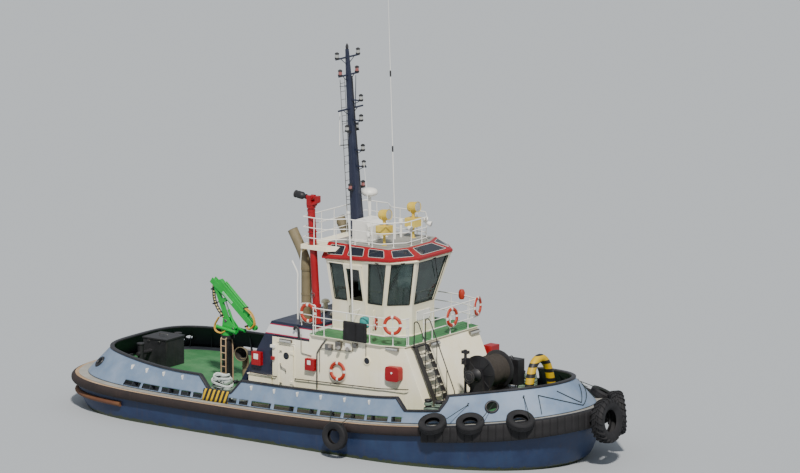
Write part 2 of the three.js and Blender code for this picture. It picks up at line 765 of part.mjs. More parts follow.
function roofRailing() {
  const half = [[-0.8, -1.95], [0.25, -1.95], [0.8, -1.4], [2.35, -1.4], [2.95, -0.65]];
  const points = [...half, ...half.map(([x, y]) => [x, -y]).reverse()];
  const feet = (x, y) => (x < 0.5 || Math.abs(y) > 1.5 ? PLATFORM.top : ROOF.top);
  const rail = railRun(points, { feet, heights: [8.18, 7.8, 7.42], every: 0.8, joined: true });
  const whip = rod([1.95, -1.41, 7.7], [1.62, -1.45, 10.4], 0.018, 5, 0.008);
  return join(rail, whip);
}

function bridgeRailing(points) {
  return railRun(points, { feet: () => BRIDGE_DECK, heights: [4.97, 4.64, 4.31], every: 1.1 });
}

const STAIRS = { y: [-1.95, -1.2], top: 3.93, slope: 0.45 };

function stairs() {
  const [near, far] = STAIRS.y;
  const profile = [[4.2, 3.93], [4.38, 3.93], [5.66, 1.1], [5.48, 1.1]];
  const stringers = [prism("xz", profile, near, near + 0.05), prism("xz", profile, far - 0.05, far)];
  const treads = span(0, 7, 7).map((i) => {
    const height = 3.66 - i * 0.28;
    const x = 4.24 + (3.93 - height) * STAIRS.slope;
    return box([x, x + 0.16], [near + 0.02, far - 0.02], [height - 0.03, height]);
  });
  const landing = box([4.12 + GAP, 4.3], [near, far], [3.88, 3.93]);
  const rails = [near + 0.025, far - 0.025].map((y) =>
    bars([[4.24, y, 3.9], [4.24, y, 4.82], [4.4, y, 4.85], [5.55, y, 2.3], [5.55, y, 1.3]], 0.02),
  );
  return onDeck(join(stringers, treads, landing, rails));
}

// Mast and aerials

const MAST = { foot: [0.3, 0, ROOF.top + GAP], head: [-0.2, 0, 14.2] };

function mastAt(height) {
  const share = (height - MAST.foot[2]) / (MAST.head[2] - MAST.foot[2]);
  return MAST.foot[0] + (MAST.head[0] - MAST.foot[0]) * share;
}

function mast() {
  const square = (height, half) => {
    const corners = [[-half, -half], [half, -half], [half, half], [-half, half]];
    return corners.map(([x, y]) => [mastAt(height) + x, y, height]);
  };
  const taper = [[MAST.foot[2], 0.19], [9.5, 0.15], [11, 0.11], [13.2, 0.08], [14.2, 0.05]];
  const trunk = loft(taper.map(([height, half]) => square(height, half)));
  const spar = (height, from, to) => {
    const x = mastAt(height);
    return rod([x + from[0], from[1], height], [x + to[0], to[1], height], 0.035, 8);
  };
  const yard = (height, half) => spar(height, [0, -half], [0, half]);
  const arm = (height, reach) => spar(height, [0, 0], [reach, 0]);
  const lamp = (height, reach, y = 0) => {
    const x = mastAt(height) + reach;
    return rod([x, y, height - 0.02], [x, y, height + 0.24], 0.085, 8);
  };
  const parts = [
    trunk, yard(13.9, 0.72), yard(13.25, 0.6), yard(12.0, 0.75),
    arm(12.35, 0.5), arm(11.6, 0.5), arm(10.5, 0.55), arm(9.9, 0.55),
    lamp(12.35, 0.45), lamp(11.6, 0.45), lamp(10.5, 0.5), lamp(9.9, 0.5),
    lamp(13.25, 0, -0.52), lamp(13.25, 0, 0.52), lamp(13.9, 0, -0.65), lamp(13.9, 0, 0.65),
  ];
  const stem = rod([mastAt(12), 0.3, 12.0], [mastAt(12), 0.3, 13.2], 0.012, 5);
  return join(parts, stem);
}

const DOME = [0.46, 0.5];

function radarDome() {
  const [x, y] = DOME;
  const profile = [[0, 0], [0.2, 0], [0.3, 0.08], [0.3, 0.16], [0.2, 0.26], [0, 0.3]];
  return join(rod([x, y, ROOF.top + GAP], [x, y, 8.75], 0.06, 10), turned(profile, 20, [x, y, 8.72]));
}

function tallWhip() {
  return join(
    rod([1.75, 0.3, ROOF.top + GAP], [1.75, 0.3, 7.9], 0.035, 8),
    rod([1.75, 0.3, 7.85], [1.45, 0.3, 16.3], 0.022, 8, 0.008),
  );
}

// Fire monitor

function monitorRiser() {
  const { low, high, turnRadius } = MONITOR;
  const foot = rod(low, [low[0], low[1], 4.26], 0.17, 16);
  const post = rod([low[0], low[1], 4.22], [high[0], high[1], 8.4], turnRadius, 16);
  return join(foot, post, rod([high[0], high[1], 8.3], high, 0.15, 16));
}

function monitorHead() {
  const [x, y, z] = MONITOR.high;
  const post = rod([x, y, z + GAP], [x, y, z + 0.3], 0.13, 16);
  const cheeks = [-1, 1].map((side) =>
    box([x - 0.1, x + 0.1], [y + side * 0.15 - 0.02, y + side * 0.15 + 0.02], [z + 0.2, z + 0.52]),
  );
  const bridge = box([x - 0.1, x + 0.1], [y - 0.17, y + 0.17], [z + 0.18, z + 0.26]);
  return join(post, cheeks, bridge);
}

function monitorBarrel() {
  const [x, y, z] = MONITOR.high;
  const centre = z + MONITOR.trunnion;
  const hub = rod([x, y - 0.13 + GAP, centre], [x, y + 0.13 - GAP, centre], 0.12, 16);
  return join(hub, rod([x, y, centre], [x - 0.75, y, centre + 0.08], 0.08, 12, 0.055));
}

// Towing gear

const WINCH = { x: 6.2, z: 2.93, flange: 0.69, core: 0.42, shaft: 0.075 };

function winchFrame() {
  const { x, z, shaft } = WINCH;
  const base = box([5.72, 6.72], [-0.98, 0.98], [1, 2.2]);
  const cheek = (y) => prism("xz", [[5.85, 2.1], [6.02, 3.12], [6.38, 3.12], [6.6, 2.1]], y - 0.05, y + 0.05);
  const post = rod([5.8, -0.9, 2.1], [5.8, -0.9, 3.5], 0.05, 8);
  const mount = box([x - 0.1, x + 0.1], [0.7, 0.95], [2.1, 2.9]);
  const motor = join(rod([x, 0.8, z], [x, 1.2, z], 0.26, 16), mount);
  const hole = rod([x, -1, z], [x, 0.8, z], boreFor(shaft, 16), 16);
  return onDeck(cut(join(base, cheek(-0.7), cheek(0.7), post, motor), hole));
}

function winchDrum() {
  const { flange, core, shaft } = WINCH;
  const profile = [
    [0, -1.25], [0.27, -1.25], [0.27, -1.2], [0.17, -1.16], [0.17, -0.9], [0.24, -0.86], [0.24, -0.82],
    [shaft, -0.8], [shaft, -0.62], [flange, -0.62], [flange, -0.58], [core, -0.56], [core, 0.56],
    [flange, 0.58], [flange, 0.62], [shaft, 0.62], [shaft, 0.79], [0, 0.79],
  ];
  return turnedAlong([0, 1, 0], profile, 18, [WINCH.x, 0, WINCH.z]);
}

function towingStaple() {
  const half = [[8.52, -0.85, 1.5], [8.5, -0.72, 2.5], [8.46, -0.42, 3.3]];
  const points = [...half, [8.45, 0, 3.55], ...half.map(([x, y, z]) => [x, -y, z]).reverse()];
  const feet = [-0.85, 0.85].map((y) => box([8.32, 8.72], [y - 0.2, y + 0.2], [1.5, 1.98]));
  return onDeck(join(pipe(points, 0.14, 14, 10), feet));
}

// Two posts on a common plate, with a cross bar.
function bitts(x, y) {
  const deck = deckHeight(x);
  const posts = [x - 0.24, x + 0.24].map((at) => [
    rod([at, y, 1], [at, y, deck + 0.72], 0.11, 10),
    rod([at, y, deck + 0.7], [at, y, deck + 0.77], 0.14, 10),
  ]);
  const plate = box([x - 0.45, x + 0.45], [y - 0.2, y + 0.2], [1, deck + 0.04]);
  const bar = rod([x - 0.45, y, deck + 0.45], [x + 0.45, y, deck + 0.45], 0.05, 6);
  return onDeck(join(posts.flat(), plate, bar));
}

function sternLocker() {
  const body = box([-9.35, -8.25], [-0.55, 0.55], [1, 2.36]);
  const lid = box([-9.38, -8.22], [-0.58, 0.58], [2.3, 2.36]);
  const posts = [-1.15, 1.15].map((y) =>
    join(rod([-9.0, y, 1], [-9.0, y, 2.25], 0.12, 12), rod([-9.0, y, 2.19], [-9.0, y, 2.25], 0.15, 12)),
  );
  const beam = rod([-9.0, -1.35, 1.85], [-9.0, 1.35, 1.85], 0.08, 10);
  return onDeck(join(body, lid, posts, beam));
}

const VENT = { x: -3.82, y: -1.45, mouth: [-3.76, -1.75, 2.62], way: [0.2, -0.98, 0] };

function cowlVent() {
  const { x, y, mouth, way } = VENT;
  const path = [[x, y, 1.1], [x, y, 2.15], [x + 0.01, y - 0.06, 2.45], [x + 0.05, y - 0.22, 2.61]];
  const bell = [[0, -0.14], [0.2, -0.14], [0.26, 0.06], [0.26, 0.12], [0, 0.12]];
  const bore = [[0, -0.08], [0.18, -0.08], [0.235, 0.06], [0.235, 0.2], [0, 0.2]];
  const hood = join(pipe(path, 0.13, 6, 10), turnedAlong(way, bell, 16, mouth));
  return onDeck(hood.subtract(turnedAlong(way, bore, 16, mouth)));
}

// Deck crane; its booms move in the plane through its column

const CRANE = {
  x: -5.0,
  y: -1.0,
  table: 3.06,
  shoulder: [-5.0, 3.6],
  elbow: [-5.6, 5.0],
  tip: [-3.8, 3.44],
};

// A box beam between two points of the crane's plane, with its depth across the beam.
function beam(from, to, depth, y, endDepth = depth) {
  const way = [to[0] - from[0], to[1] - from[1]];
  const length = Math.hypot(...way);
  const across = [-way[1] / length, way[0] / length];
  const corner = (spot, off) => [spot[0] + across[0] * off, spot[1] + across[1] * off];
  const [start, end] = [depth / 2, endDepth / 2];
  return prism("xz", [corner(from, -start), corner(to, -end), corner(to, end), corner(from, start)], ...y);
}

function alongBeam(from, to, distance, off = 0) {
  const way = [to[0] - from[0], to[1] - from[1]];
  const length = Math.hypot(...way);
  const unit = [way[0] / length, way[1] / length];
  return [from[0] + unit[0] * distance - unit[1] * off, from[1] + unit[1] * distance + unit[0] * off];
}

const PIN_SIDES = 20;

function pin(spot, y, radius, sides = PIN_SIDES) {
  return rod([spot[0], y[0], spot[1]], [spot[0], y[1], spot[1]], radius, sides);
}

function sides(inner, outer) {
  return [[CRANE.y - outer, CRANE.y - inner], [CRANE.y + inner, CRANE.y + outer]];
}

// The luffing cylinder: its foot, where its eye meets the main boom, and its radii.
const LUFF = { base: [-4.66, 3.34], along: 0.75, off: 0.2, barrel: 0.05, rod: 0.03, pin: 0.03 };
LUFF.eye = alongBeam(CRANE.shoulder, CRANE.elbow, LUFF.along, -LUFF.off);

// The outer boom's box lies off the line from the elbow; the extension slides inside it.
const BOX_OFF = 0.07;
const SLIDE = { depth: 0.135, half: 0.067 };
const CRANE_PIN = 0.04;

function cranePedestal() {
  const { x, y, table } = CRANE;
  const post = box([x - 0.15, x + 0.15], [y - 0.15, y + 0.15], [1, table - 0.1]);
  const head = rod([x, y, table - 0.14], [x, y, table - GAP], 0.26, 20);
  const foot = box([x - 0.32, x + 0.32], [y - 0.32, y + 0.32], [1, deckHeight(x) + 0.04]);
  return onDeck(join(post, head, foot));
}

function craneColumn() {
  const { x, y, table, shoulder } = CRANE;
  const { base } = LUFF;
  const turn = rod([x, y, table], [x, y, table + 0.14], 0.24, 20);
  const outline = [
    [x - 0.2, table + 0.1], [base[0] + 0.06, table + 0.1], [base[0] + 0.06, base[1] + 0.05],
    [x + 0.12, shoulder[1] + 0.1], [x - 0.12, shoulder[1] + 0.1],
  ];
  const cheeks = sides(0.085, 0.13).map((side) => prism("xz", outline, ...side));
  const width = [y - 0.14, y + 0.14];
  return join(turn, cheeks, pin(shoulder, width, CRANE_PIN), pin(base, width, LUFF.pin));
}

function mainBoom() {
  const { shoulder, elbow, y } = CRANE;
  const width = [y - 0.07, y + 0.07];
  const body = beam(shoulder, elbow, 0.13, width, 0.15);
  const knobs = [pin(shoulder, width, 0.1, 16), pin(elbow, width, 0.11, 16)];
  const bore = pin(shoulder, [y - 0.2, y + 0.2], boreFor(CRANE_PIN, PIN_SIDES));
  const foot = alongBeam(shoulder, elbow, LUFF.along);
  const ear = (side) => join(beam(foot, LUFF.eye, 0.16, side), pin(LUFF.eye, side, 0.08));
  const ears = sides(0.058, 0.07).map(ear);
  return join(cut(join(body, knobs), bore), pin(elbow, [y - 0.118, y + 0.118], CRANE_PIN), ears);
}

function outerBoom() {
  const { elbow, tip, y } = CRANE;
  const at = (distance, off = BOX_OFF) => alongBeam(elbow, tip, distance, off);
  const shell = beam(at(0.5), at(2.3), 0.24, [y - 0.11, y + 0.11], 0.2);
  const bore = beam(at(0.56), at(2.6), SLIDE.depth + 2 * GAP, [y - SLIDE.half - GAP, y + SLIDE.half + GAP]);
  const ears = sides(0.078, 0.11).map((side) => beam(at(-0.12, 0), at(0.7, 0.07), 0.22, side));
  return cut(join(cut(shell, bore), ears), pin(elbow, [y - 0.3, y + 0.3], boreFor(CRANE_PIN, PIN_SIDES)));
}

function craneExtension() {
  const { elbow, tip, y } = CRANE;
  const at = (distance) => alongBeam(elbow, tip, distance, BOX_OFF);
  const width = [y - SLIDE.half, y + SLIDE.half];
  return join(beam(at(0.58), at(2.4), SLIDE.depth, width), pin(at(2.42), width, 0.1, 16));
}

function luffBarrel() {
  const { base, eye, barrel } = LUFF;
  const bore = LUFF.rod + GAP / Math.cos(Math.PI / 12);
  const y = CRANE.y;
  const at = (distance) => {
    const [x, z] = alongBeam(base, eye, distance);
    return [x, y, z];
  };
  const tube = rod(at(0.03), at(0.74), barrel, 14);
  const eyeRing = pin(base, [y - 0.06, y + 0.06], 0.065, 14);
  const pinHole = pin(base, [y - 0.2, y + 0.2], boreFor(LUFF.pin, PIN_SIDES));
  return cut(join(tube, eyeRing), rod(at(0.16), at(0.9), bore, 12), pinHole);
}

function luffRod() {
  const { base, eye, rod: radius } = LUFF;
  const y = CRANE.y;
  const length = Math.hypot(eye[0] - base[0], eye[1] - base[1]);
  const [from, to] = [alongBeam(base, eye, 0.5), alongBeam(base, eye, length)];
  const bar = rod([from[0], y, from[1]], [to[0], y, to[1]], radius, 12);
  return join(bar, pin(to, [y - 0.046, y + 0.046], 0.05));
}

// Drives under the stern

function thruster(side) {
  const { x, z, pad } = THRUSTER;
  const at = side * THRUSTER.y;
  const slice = (fore, aft, half, height) => [
    [x - aft, at - half, height], [x + fore, at - half, height],
    [x + fore, at + half, height], [x - aft, at + half, height],
  ];
  const leg = loft([slice(0.35, 0.3, 0.12, z), slice(0.3, 0.26, 0.14, pad - 0.04)]);
  const cap = rod([x, at, pad - 0.1], [x, at, pad - GAP], 0.46, 24);
  const pod = [[0, -0.42], [0.17, -0.42], [0.26, -0.2], [0.27, 0.2], [0.18, 0.5], [0, 0.62]];
  const nozzle = [[0.8, 0.3], [0.86, 0.42], [0.92, 0.3], [0.88, -0.38], [0.83, -0.38], [0.8, 0], [0.8, 0.3]];
  const strut = box([x - 0.42, x - 0.22], [at - 0.06, at + 0.06], [z - 0.85, z + 0.85]);
  const body = turnedAlong([1, 0, 0], pod, 14, [x, at, z]);
  return join(leg, cap, body, turnedAlong([1, 0, 0], nozzle, 24, [x - 0.62, at, z]), strut);
}

function propeller(side) {
  const { x, z } = THRUSTER;
  const at = side * THRUSTER.y;
  const profile = [[0, -0.3], [0.08, -0.26], [0.16, -0.1], [0.17, 0.14 - GAP], [0, 0.14 - GAP]];
  const hub = turnedAlong([1, 0, 0], profile, 16, [x - 0.56, at, z]);
  return join(hub, [0, 90, 180, 270].map((turn) => blade(turn, [x - 0.6, at, z], side)));
}

const BLADE_SLICES = [
  { radius: 0.1, chord: 0.2, pitch: 48 },
  { radius: 0.35, chord: 0.36, pitch: 36 },
  { radius: 0.6, chord: 0.4, pitch: 26 },
  { radius: 0.76, chord: 0.22, pitch: 21 },
];

// One twisted blade, as slices from the hub to the tip.
function blade(turn, at, side) {
  const loops = BLADE_SLICES.map(({ radius, chord, pitch }) => {
    const angle = THREE.MathUtils.degToRad(pitch) * side;
    const spin = THREE.MathUtils.degToRad(turn);
    const edges = [[-chord / 2, 0], [0, -0.018], [chord / 2, 0], [0, 0.018]];
    return edges.map(([along, thick]) => {
      const across = along * Math.cos(angle) - thick * Math.sin(angle);
      const fore = along * Math.sin(angle) + thick * Math.cos(angle);
      const [py, pz] = [across, radius];
      return [
        at[0] + fore * 0.8,
        at[1] + py * Math.cos(spin) - pz * Math.sin(spin),
        at[2] + py * Math.sin(spin) + pz * Math.cos(spin),
      ];
    });
  });
  return skin(loops, [[0, 1, 2], [0, 2, 3]]);
}

// Finishes: colour, roughness and metalness

const FINISHES = {
  hull: [0x2f4560, 0.5, 0],
  deck: [0x3f7a4c, 0.8, 0],
  bulwark: [0x74879c, 0.45, 0],
  strake: [0x5a3a30, 0.75, 0],
  rubber: [0x1c1d20, 0.8, 0],
  cream: [0xe6e0c8, 0.4, 0],
  navy: [0x1f2438, 0.4, 0],
  beige: [0x8d8262, 0.6, 0],
  glass: [0x18242a, 0.1, 0],
  red: [0xb0101c, 0.4, 0],
  white: [0xe8e8e4, 0.4, 0],
  yellow: [0xd8c040, 0.4, 0],
  black: [0x202124, 0.5, 0],
  green: [0x1f9a44, 0.35, 0],
  chrome: [0xc6c8ca, 0.12, 1],
  bronze: [0x9a7a3a, 0.35, 1],
  grey: [0x565c62, 0.5, 0],
  drive: [0x5c3a30, 0.6, 0],
};

// Pieces: name, solid and finish, in the tug's frame

const ring = bulwarkRing();
const sideWall = bulwarkPart(ring, ...BULWARK_CUTS, [-6, 0]);
const sideDoor = wheelhouseDoor();
const lowDoor = houseDoor();
const stack = exhaust();
const nearTyre = sideTyre();

const STARBOARD_RAIL = [[0.1, -2.55], [3.2, -2.55], [4.06, -2.26], [4.06, -2.0]];
const PORT_RAIL = [[4.06, -1.12], [4.06, 2.26], [3.2, 2.55], [0.1, 2.55]];

const HULL_PIECES = [
  ["hull", hullBody(), "hull"],
  ["main_deck", mainDeck(), "deck"],
  ["bulwark_stern", bulwarkPart(ring, -12, BULWARK_CUTS[0]), "bulwark"],
  ["bulwark_mid_starboard", sideWall, "bulwark"],
  ["bulwark_mid_port", mirrored(sideWall), "bulwark"],
  ["bulwark_bow", bulwarkPart(ring, BULWARK_CUTS[1], 12), "bulwark"],
  ["rubbing_strake", rubbingStrake(), "strake"],
  ["lower_stern_strake", lowerStrake(), "strake"],
  ["bow_fender", bowFender(), "rubber"],
  ["side_tyre_starboard", nearTyre, "rubber"],
  ["side_tyre_port", mirrored(nearTyre), "rubber"],
];

const HOUSE_PIECES = [
  ["deckhouse", deckhouse(), "cream"],
  ["engine_casing", engineCasing(), "navy"],
  ["exhaust_starboard", stack, "beige"],
  ["exhaust_port", mirrored(stack), "beige"],
  ["bridge_deck", bridgeDeck(), "deck"],
  ["wheelhouse", wheelhouse(), "cream"],
  ["wheelhouse_door_starboard", sideDoor, "cream"],
  ["wheelhouse_door_port", mirrored(sideDoor), "cream"],
  ["glazing_front", glazing(true), "glass"],
  ["glazing_aft", glazing(false), "glass"],
  ["wheelhouse_roof", wheelhouseRoof(), "red"],
  ["helm_station", helm(), "grey"],
  ["roof_railing", roofRailing(), "white"],
  ["bridge_railing_starboard", bridgeRailing(STARBOARD_RAIL), "white"],
  ["bridge_railing_port", bridgeRailing(PORT_RAIL), "white"],
  ["bridge_stairs", stairs(), "black"],
  ["mast", mast(), "navy"],
  ["radar_dome", radarDome(), "white"],
  ["tall_whip", tallWhip(), "white"],
  ["roof_locker", roofLocker(), "white"],
  ["monitor_riser", monitorRiser(), "red"],
];

const DECK_PIECES = [
  ["winch_frame", winchFrame(), "black"],
  ["towing_staple", towingStaple(), "black"],
  ["bitts_fore_starboard", bitts(5.85, -2.95), "black"],
  ["bitts_fore_port", bitts(5.85, 2.95), "black"],
  ["bitts_aft_starboard", bitts(-3.7, -3.05), "black"],
  ["bitts_aft_port", bitts(-3.7, 3.05), "black"],
  ["stern_locker", sternLocker(), "black"],
  ["cowl_vent", cowlVent(), "beige"],
  ["crane_pedestal", cranePedestal(), "beige"],
];

// What turns or swings, each about its own point, with what it carries

function doorOn(name, side, body) {
  const [x, y] = HOUSE_DOOR.hinge;
  const leaf = [`deckhouse_door_${name}`, body, "cream"];
  return { at: [x, -side * y, HOUSE_DOOR.z[0]], pieces: [leaf] };
}

function lightOn(name, [x, y]) {
  return { at: [x, y, LIGHT_SEAT], pieces: [[`searchlight_${name}`, searchlight(x, y), "yellow"]] };
}

function driveOn(name, side) {
  const { x, y, z, pad } = THRUSTER;
  const screw = { at: [x - 0.6, side * y, z], pieces: [[`propeller_${name}`, propeller(side), "bronze"]] };
  const pod = [`thruster_${name}`, thruster(side), "drive"];
  return { at: [x, side * y, pad], pieces: [pod], carries: [screw] };
}

const inPlane = ([x, z]) => [x, CRANE.y, z];

const BOOMS = {
  at: inPlane(CRANE.shoulder),
  pieces: [["crane_main_boom", mainBoom(), "green"]],
  carries: [
    {
      at: inPlane(CRANE.elbow),
      pieces: [["crane_outer_boom", outerBoom(), "green"]],
      carries: [{ at: inPlane(CRANE.tip), pieces: [["crane_extension", craneExtension(), "green"]] }],
    },
  ],
};

const CYLINDER = {
  at: inPlane(LUFF.base),
  pieces: [["crane_cylinder", luffBarrel(), "green"]],
  carries: [{ at: inPlane(LUFF.eye), pieces: [["crane_cylinder_rod", luffRod(), "chrome"]] }],
};

const TUG = {
  at: [0, 0, 0],
  pieces: [...HULL_PIECES, ...HOUSE_PIECES, ...DECK_PIECES],
  carries: [
    doorOn("starboard", -1, lowDoor),
    doorOn("port", 1, mirrored(lowDoor)),
    lightOn("starboard", SEARCHLIGHTS[0]),
    lightOn("port", SEARCHLIGHTS[1]),
    {
      at: MONITOR.high,
      pieces: [["monitor_head", monitorHead(), "red"]],
      carries: [
        {
          at: [MONITOR.high[0], MONITOR.high[1], MONITOR.high[2] + MONITOR.trunnion],
          pieces: [["monitor_barrel", monitorBarrel(), "red"]],
        },
      ],
    },
    { at: [WINCH.x, 0, WINCH.z], pieces: [["winch_drum", winchDrum(), "black"]] },
    {
      at: [CRANE.x, CRANE.y, CRANE.table],
      pieces: [["crane_column", craneColumn(), "green"]],
      carries: [BOOMS, CYLINDER],
    },
    driveOn("starboard", -1),
    driveOn("port", 1),
  ],
};

function meshOf(name, body, finish) {
  const { vertProperties, triVerts } = body.getMesh();
  const geometry = new THREE.BufferGeometry();
  geometry.setAttribute("position", new THREE.BufferAttribute(new Float32Array(vertProperties), 3));
  geometry.setIndex(new THREE.BufferAttribute(new Uint32Array(triVerts), 1));
  const [color, roughness, metalness] = FINISHES[finish];
  const mesh = new THREE.Mesh(geometry, new THREE.MeshStandardMaterial({ color, roughness, metalness }));
  mesh.name = name;
  return mesh;
}

// A group at its own point, holding its pieces and the groups it carries.
function assembled({ at, pieces, carries = [] }, parent = [0, 0, 0]) {
  const group = new THREE.Group();
  group.position.set(...at.map((value, i) => (value - parent[i]) * MM));
  for (const row of pieces) {
    const mesh = meshOf(...row);
    mesh.geometry.translate(...at.map((value) => -value * MM));
    group.add(mesh);
  }
  for (const inner of carries) group.add(assembled(inner, at));
  return group;
}

const tug = assembled(TUG);

export default tug;
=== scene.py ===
"""A harbour tug afloat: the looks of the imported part, built over its frame.

Lengths are in metres in the part's own frame: origin on the waterline amidships, X forward,
Y to port, Z up.
"""

import json
import logging
from collections.abc import Callable
from dataclasses import dataclass, field
from enum import Enum

import bmesh
import bpy
import numpy as np
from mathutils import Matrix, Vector

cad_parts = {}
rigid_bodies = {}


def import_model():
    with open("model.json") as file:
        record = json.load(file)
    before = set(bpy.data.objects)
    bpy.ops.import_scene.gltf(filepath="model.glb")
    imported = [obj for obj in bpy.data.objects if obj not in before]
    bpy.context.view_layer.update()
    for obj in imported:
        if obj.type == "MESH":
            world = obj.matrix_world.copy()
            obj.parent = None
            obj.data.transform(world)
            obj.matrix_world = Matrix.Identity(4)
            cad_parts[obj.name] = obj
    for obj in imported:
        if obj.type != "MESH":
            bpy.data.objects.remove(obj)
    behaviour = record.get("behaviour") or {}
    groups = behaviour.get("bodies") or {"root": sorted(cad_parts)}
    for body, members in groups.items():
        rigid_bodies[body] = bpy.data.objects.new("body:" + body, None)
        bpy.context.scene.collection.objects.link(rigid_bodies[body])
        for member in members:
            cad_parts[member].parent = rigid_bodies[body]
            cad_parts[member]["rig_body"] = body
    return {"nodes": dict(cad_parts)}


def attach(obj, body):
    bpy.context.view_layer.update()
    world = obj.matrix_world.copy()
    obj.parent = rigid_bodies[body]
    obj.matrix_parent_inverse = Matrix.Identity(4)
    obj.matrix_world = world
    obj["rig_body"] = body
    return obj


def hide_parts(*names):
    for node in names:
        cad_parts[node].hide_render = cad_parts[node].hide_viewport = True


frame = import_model()

LOG = logging.getLogger("tug")
ROOT = "tug"
MERGE = 1e-5
CREASE = np.radians(35)
Array = np.ndarray
Row = tuple | Array
Rows = list | tuple | Array
Tree = bpy.types.NodeTree
Socket = bpy.types.NodeSocket
MIRROR = np.array([1.0, -1.0, 1.0])
BOTH_SIDES = (np.ones(3), MIRROR)


# Arrays and surfaces


def unit(ways: Array) -> Array:
    """Vectors of length one, along the last axis."""
    ways = np.asarray(ways, float)
    return ways / np.linalg.norm(ways, axis=-1, keepdims=True)


def around(count: int) -> Array:
    """Angles of one full turn in even steps."""
    return np.arange(count) * (2 * np.pi / count)


def smooth(low: float, high: float, value: Array) -> Array:
    """An easy step from 0 to 1 between two values: 3t squared less 2t cubed."""
    t = np.clip((np.asarray(value, float) - low) / (high - low), 0, 1)
    return t * t * (3 - 2 * t)


def through(rows: Array, t: Array) -> Array:
    """A smooth curve through rows of points, by the cubic of Catmull and Rom.

    Args:
        rows: The rows the curve passes, first axis along the curve.
        t: Places along it, one unit from each row to the next.

    Returns:
        One row for each place.
    """
    rows = np.asarray(rows, float)
    t = np.asarray(t, float)
    cell = np.clip(np.floor(t).astype(int), 0, len(rows) - 2)
    f = (t - cell).reshape((-1,) + (1,) * (rows.ndim - 1))
    ends = np.concatenate([2 * rows[:1] - rows[1:2], rows, 2 * rows[-1:] - rows[-2:-1]])
    a, b, c, d = ends[cell], ends[cell + 1], ends[cell + 2], ends[cell + 3]
    return 0.5 * (2 * b + (c - a) * f + (2 * a - 5 * b + 4 * c - d) * f**2 + (3 * b - a - 3 * c + d) * f**3)


def curve(points: Rows, steps: int = 8) -> Array:
    """A smooth path through a few points, with a number of steps in each part."""
    return through(np.array(points, float), np.linspace(0, len(points) - 1, steps * (len(points) - 1) + 1))


def rounded(points: Rows, radius: float, steps: int = 5, loop: bool = False) -> Array:
    """A path of straight runs whose corners are turned by a quadratic curve.

    Args:
        points: The corners.
        radius: How far from a corner its turn starts.
        steps: Points in each turn, less one.
        loop: Whether the path joins up with itself.

    Returns:
        The path's points.
    """
    spots = np.array(points, float)
    if loop:
        before, here, after = np.roll(spots, 1, 0), spots, np.roll(spots, -1, 0)
    else:
        before, here, after = spots[:-2], spots[1:-1], spots[2:]
    if not len(here):
        return spots
    start = here + unit(before - here) * radius
    end = here + unit(after - here) * radius
    t = np.linspace(0, 1, steps + 1)[None, :, None]
    turns = (1 - t) ** 2 * start[:, None] + 2 * t * (1 - t) * here[:, None] + t**2 * end[:, None]
    turns = turns.reshape(-1, 3)
    return turns if loop else np.concatenate([spots[:1], turns, spots[-1:]])


def flat_normal(path: Array) -> Array:
    """The direction across a path's best plane: its smallest singular vector."""
    return np.linalg.svd(path - path.mean(0))[2][2]


def rings_along(path: Array, radius: float | Row, sides: int, loop: bool = False,
                up: tuple | None = None, square: float = 1.0) -> Array:
    """Rings round a path: centre + r cos(a) side + r sin(a) over.

    Args:
        path: Points of the path.
        radius: One radius, a pair across and over, or one for each point.
        sides: Points in a ring.
        loop: Whether the path joins up with itself.
        up: The direction that sets a ring's first point; the path's flat normal by default.
        square: Power of the sine and cosine; below one the ring is nearer a square.

    Returns:
        Array of rings, points and coordinates.
    """
    path = np.asarray(path, float)
    ways = np.roll(path, -1, 0) - np.roll(path, 1, 0) if loop else np.gradient(path, axis=0)
    ways = unit(ways)
    mark = flat_normal(path) if up is None else np.asarray(up, float)
    side = unit(np.cross(mark, ways))
    over = np.cross(ways, side)
    angle = around(sides)
    bend = [np.sign(v) * np.abs(v) ** square for v in (np.cos(angle), np.sin(angle))]
    wide, tall = radius if isinstance(radius, tuple) else (radius, radius)
    wide, tall = [np.broadcast_to(np.asarray(r, float), len(path))[:, None, None] for r in (wide, tall)]
    across = wide * bend[0][None, :, None] * side[:, None]
    upwards = tall * bend[1][None, :, None] * over[:, None]
    return path[:, None] + across + upwards


def turned(profile: Rows, at: Row, axis: Row = (0, 0, 1), sides: int = 32) -> Array:
    """Rings of a profile of radius and height turned round an axis.

    Args:
        profile: Radius and height of each point.
        at: Where a height of nought lies.
        axis: The way that heights run.
        sides: Points in a ring.

    Returns:
        Array of rings, points and coordinates.
    """
    rows = np.array(profile, float)
    way = unit(axis)
    other = np.array([0.0, 0, 1]) if abs(way[2]) < 0.9 else np.array([1.0, 0, 0])
    side = unit(np.cross(other, way))
    over = np.cross(way, side)
    angle = around(sides)[None, :, None]
    spoke = np.cos(angle) * side + np.sin(angle) * over
    return np.asarray(at, float) + rows[:, 1, None, None] * way + rows[:, 0, None, None] * spoke


def grid_faces(rows: int, columns: int, loop: bool, ring: bool = True) -> Array:
    """Four-sided faces of a grid, joined up along its rows, its columns or both.

    Args:
        rows: Rows of the grid.
        columns: Its columns.
        loop: Whether the last row joins the first.
        ring: Whether the last column joins the first.

    Returns:
        Corner numbers of each face.
    """
    r = np.arange(rows if loop else rows - 1)[:, None]
    c = np.arange(columns if ring else columns - 1)[None, :]
    below, beside = (r + 1) % rows, (c + 1) % columns
    corners = [r * columns + c, r * columns + beside, below * columns + beside, below * columns + c]
    return np.stack(np.broadcast_arrays(*corners), -1).reshape(-1, 4)


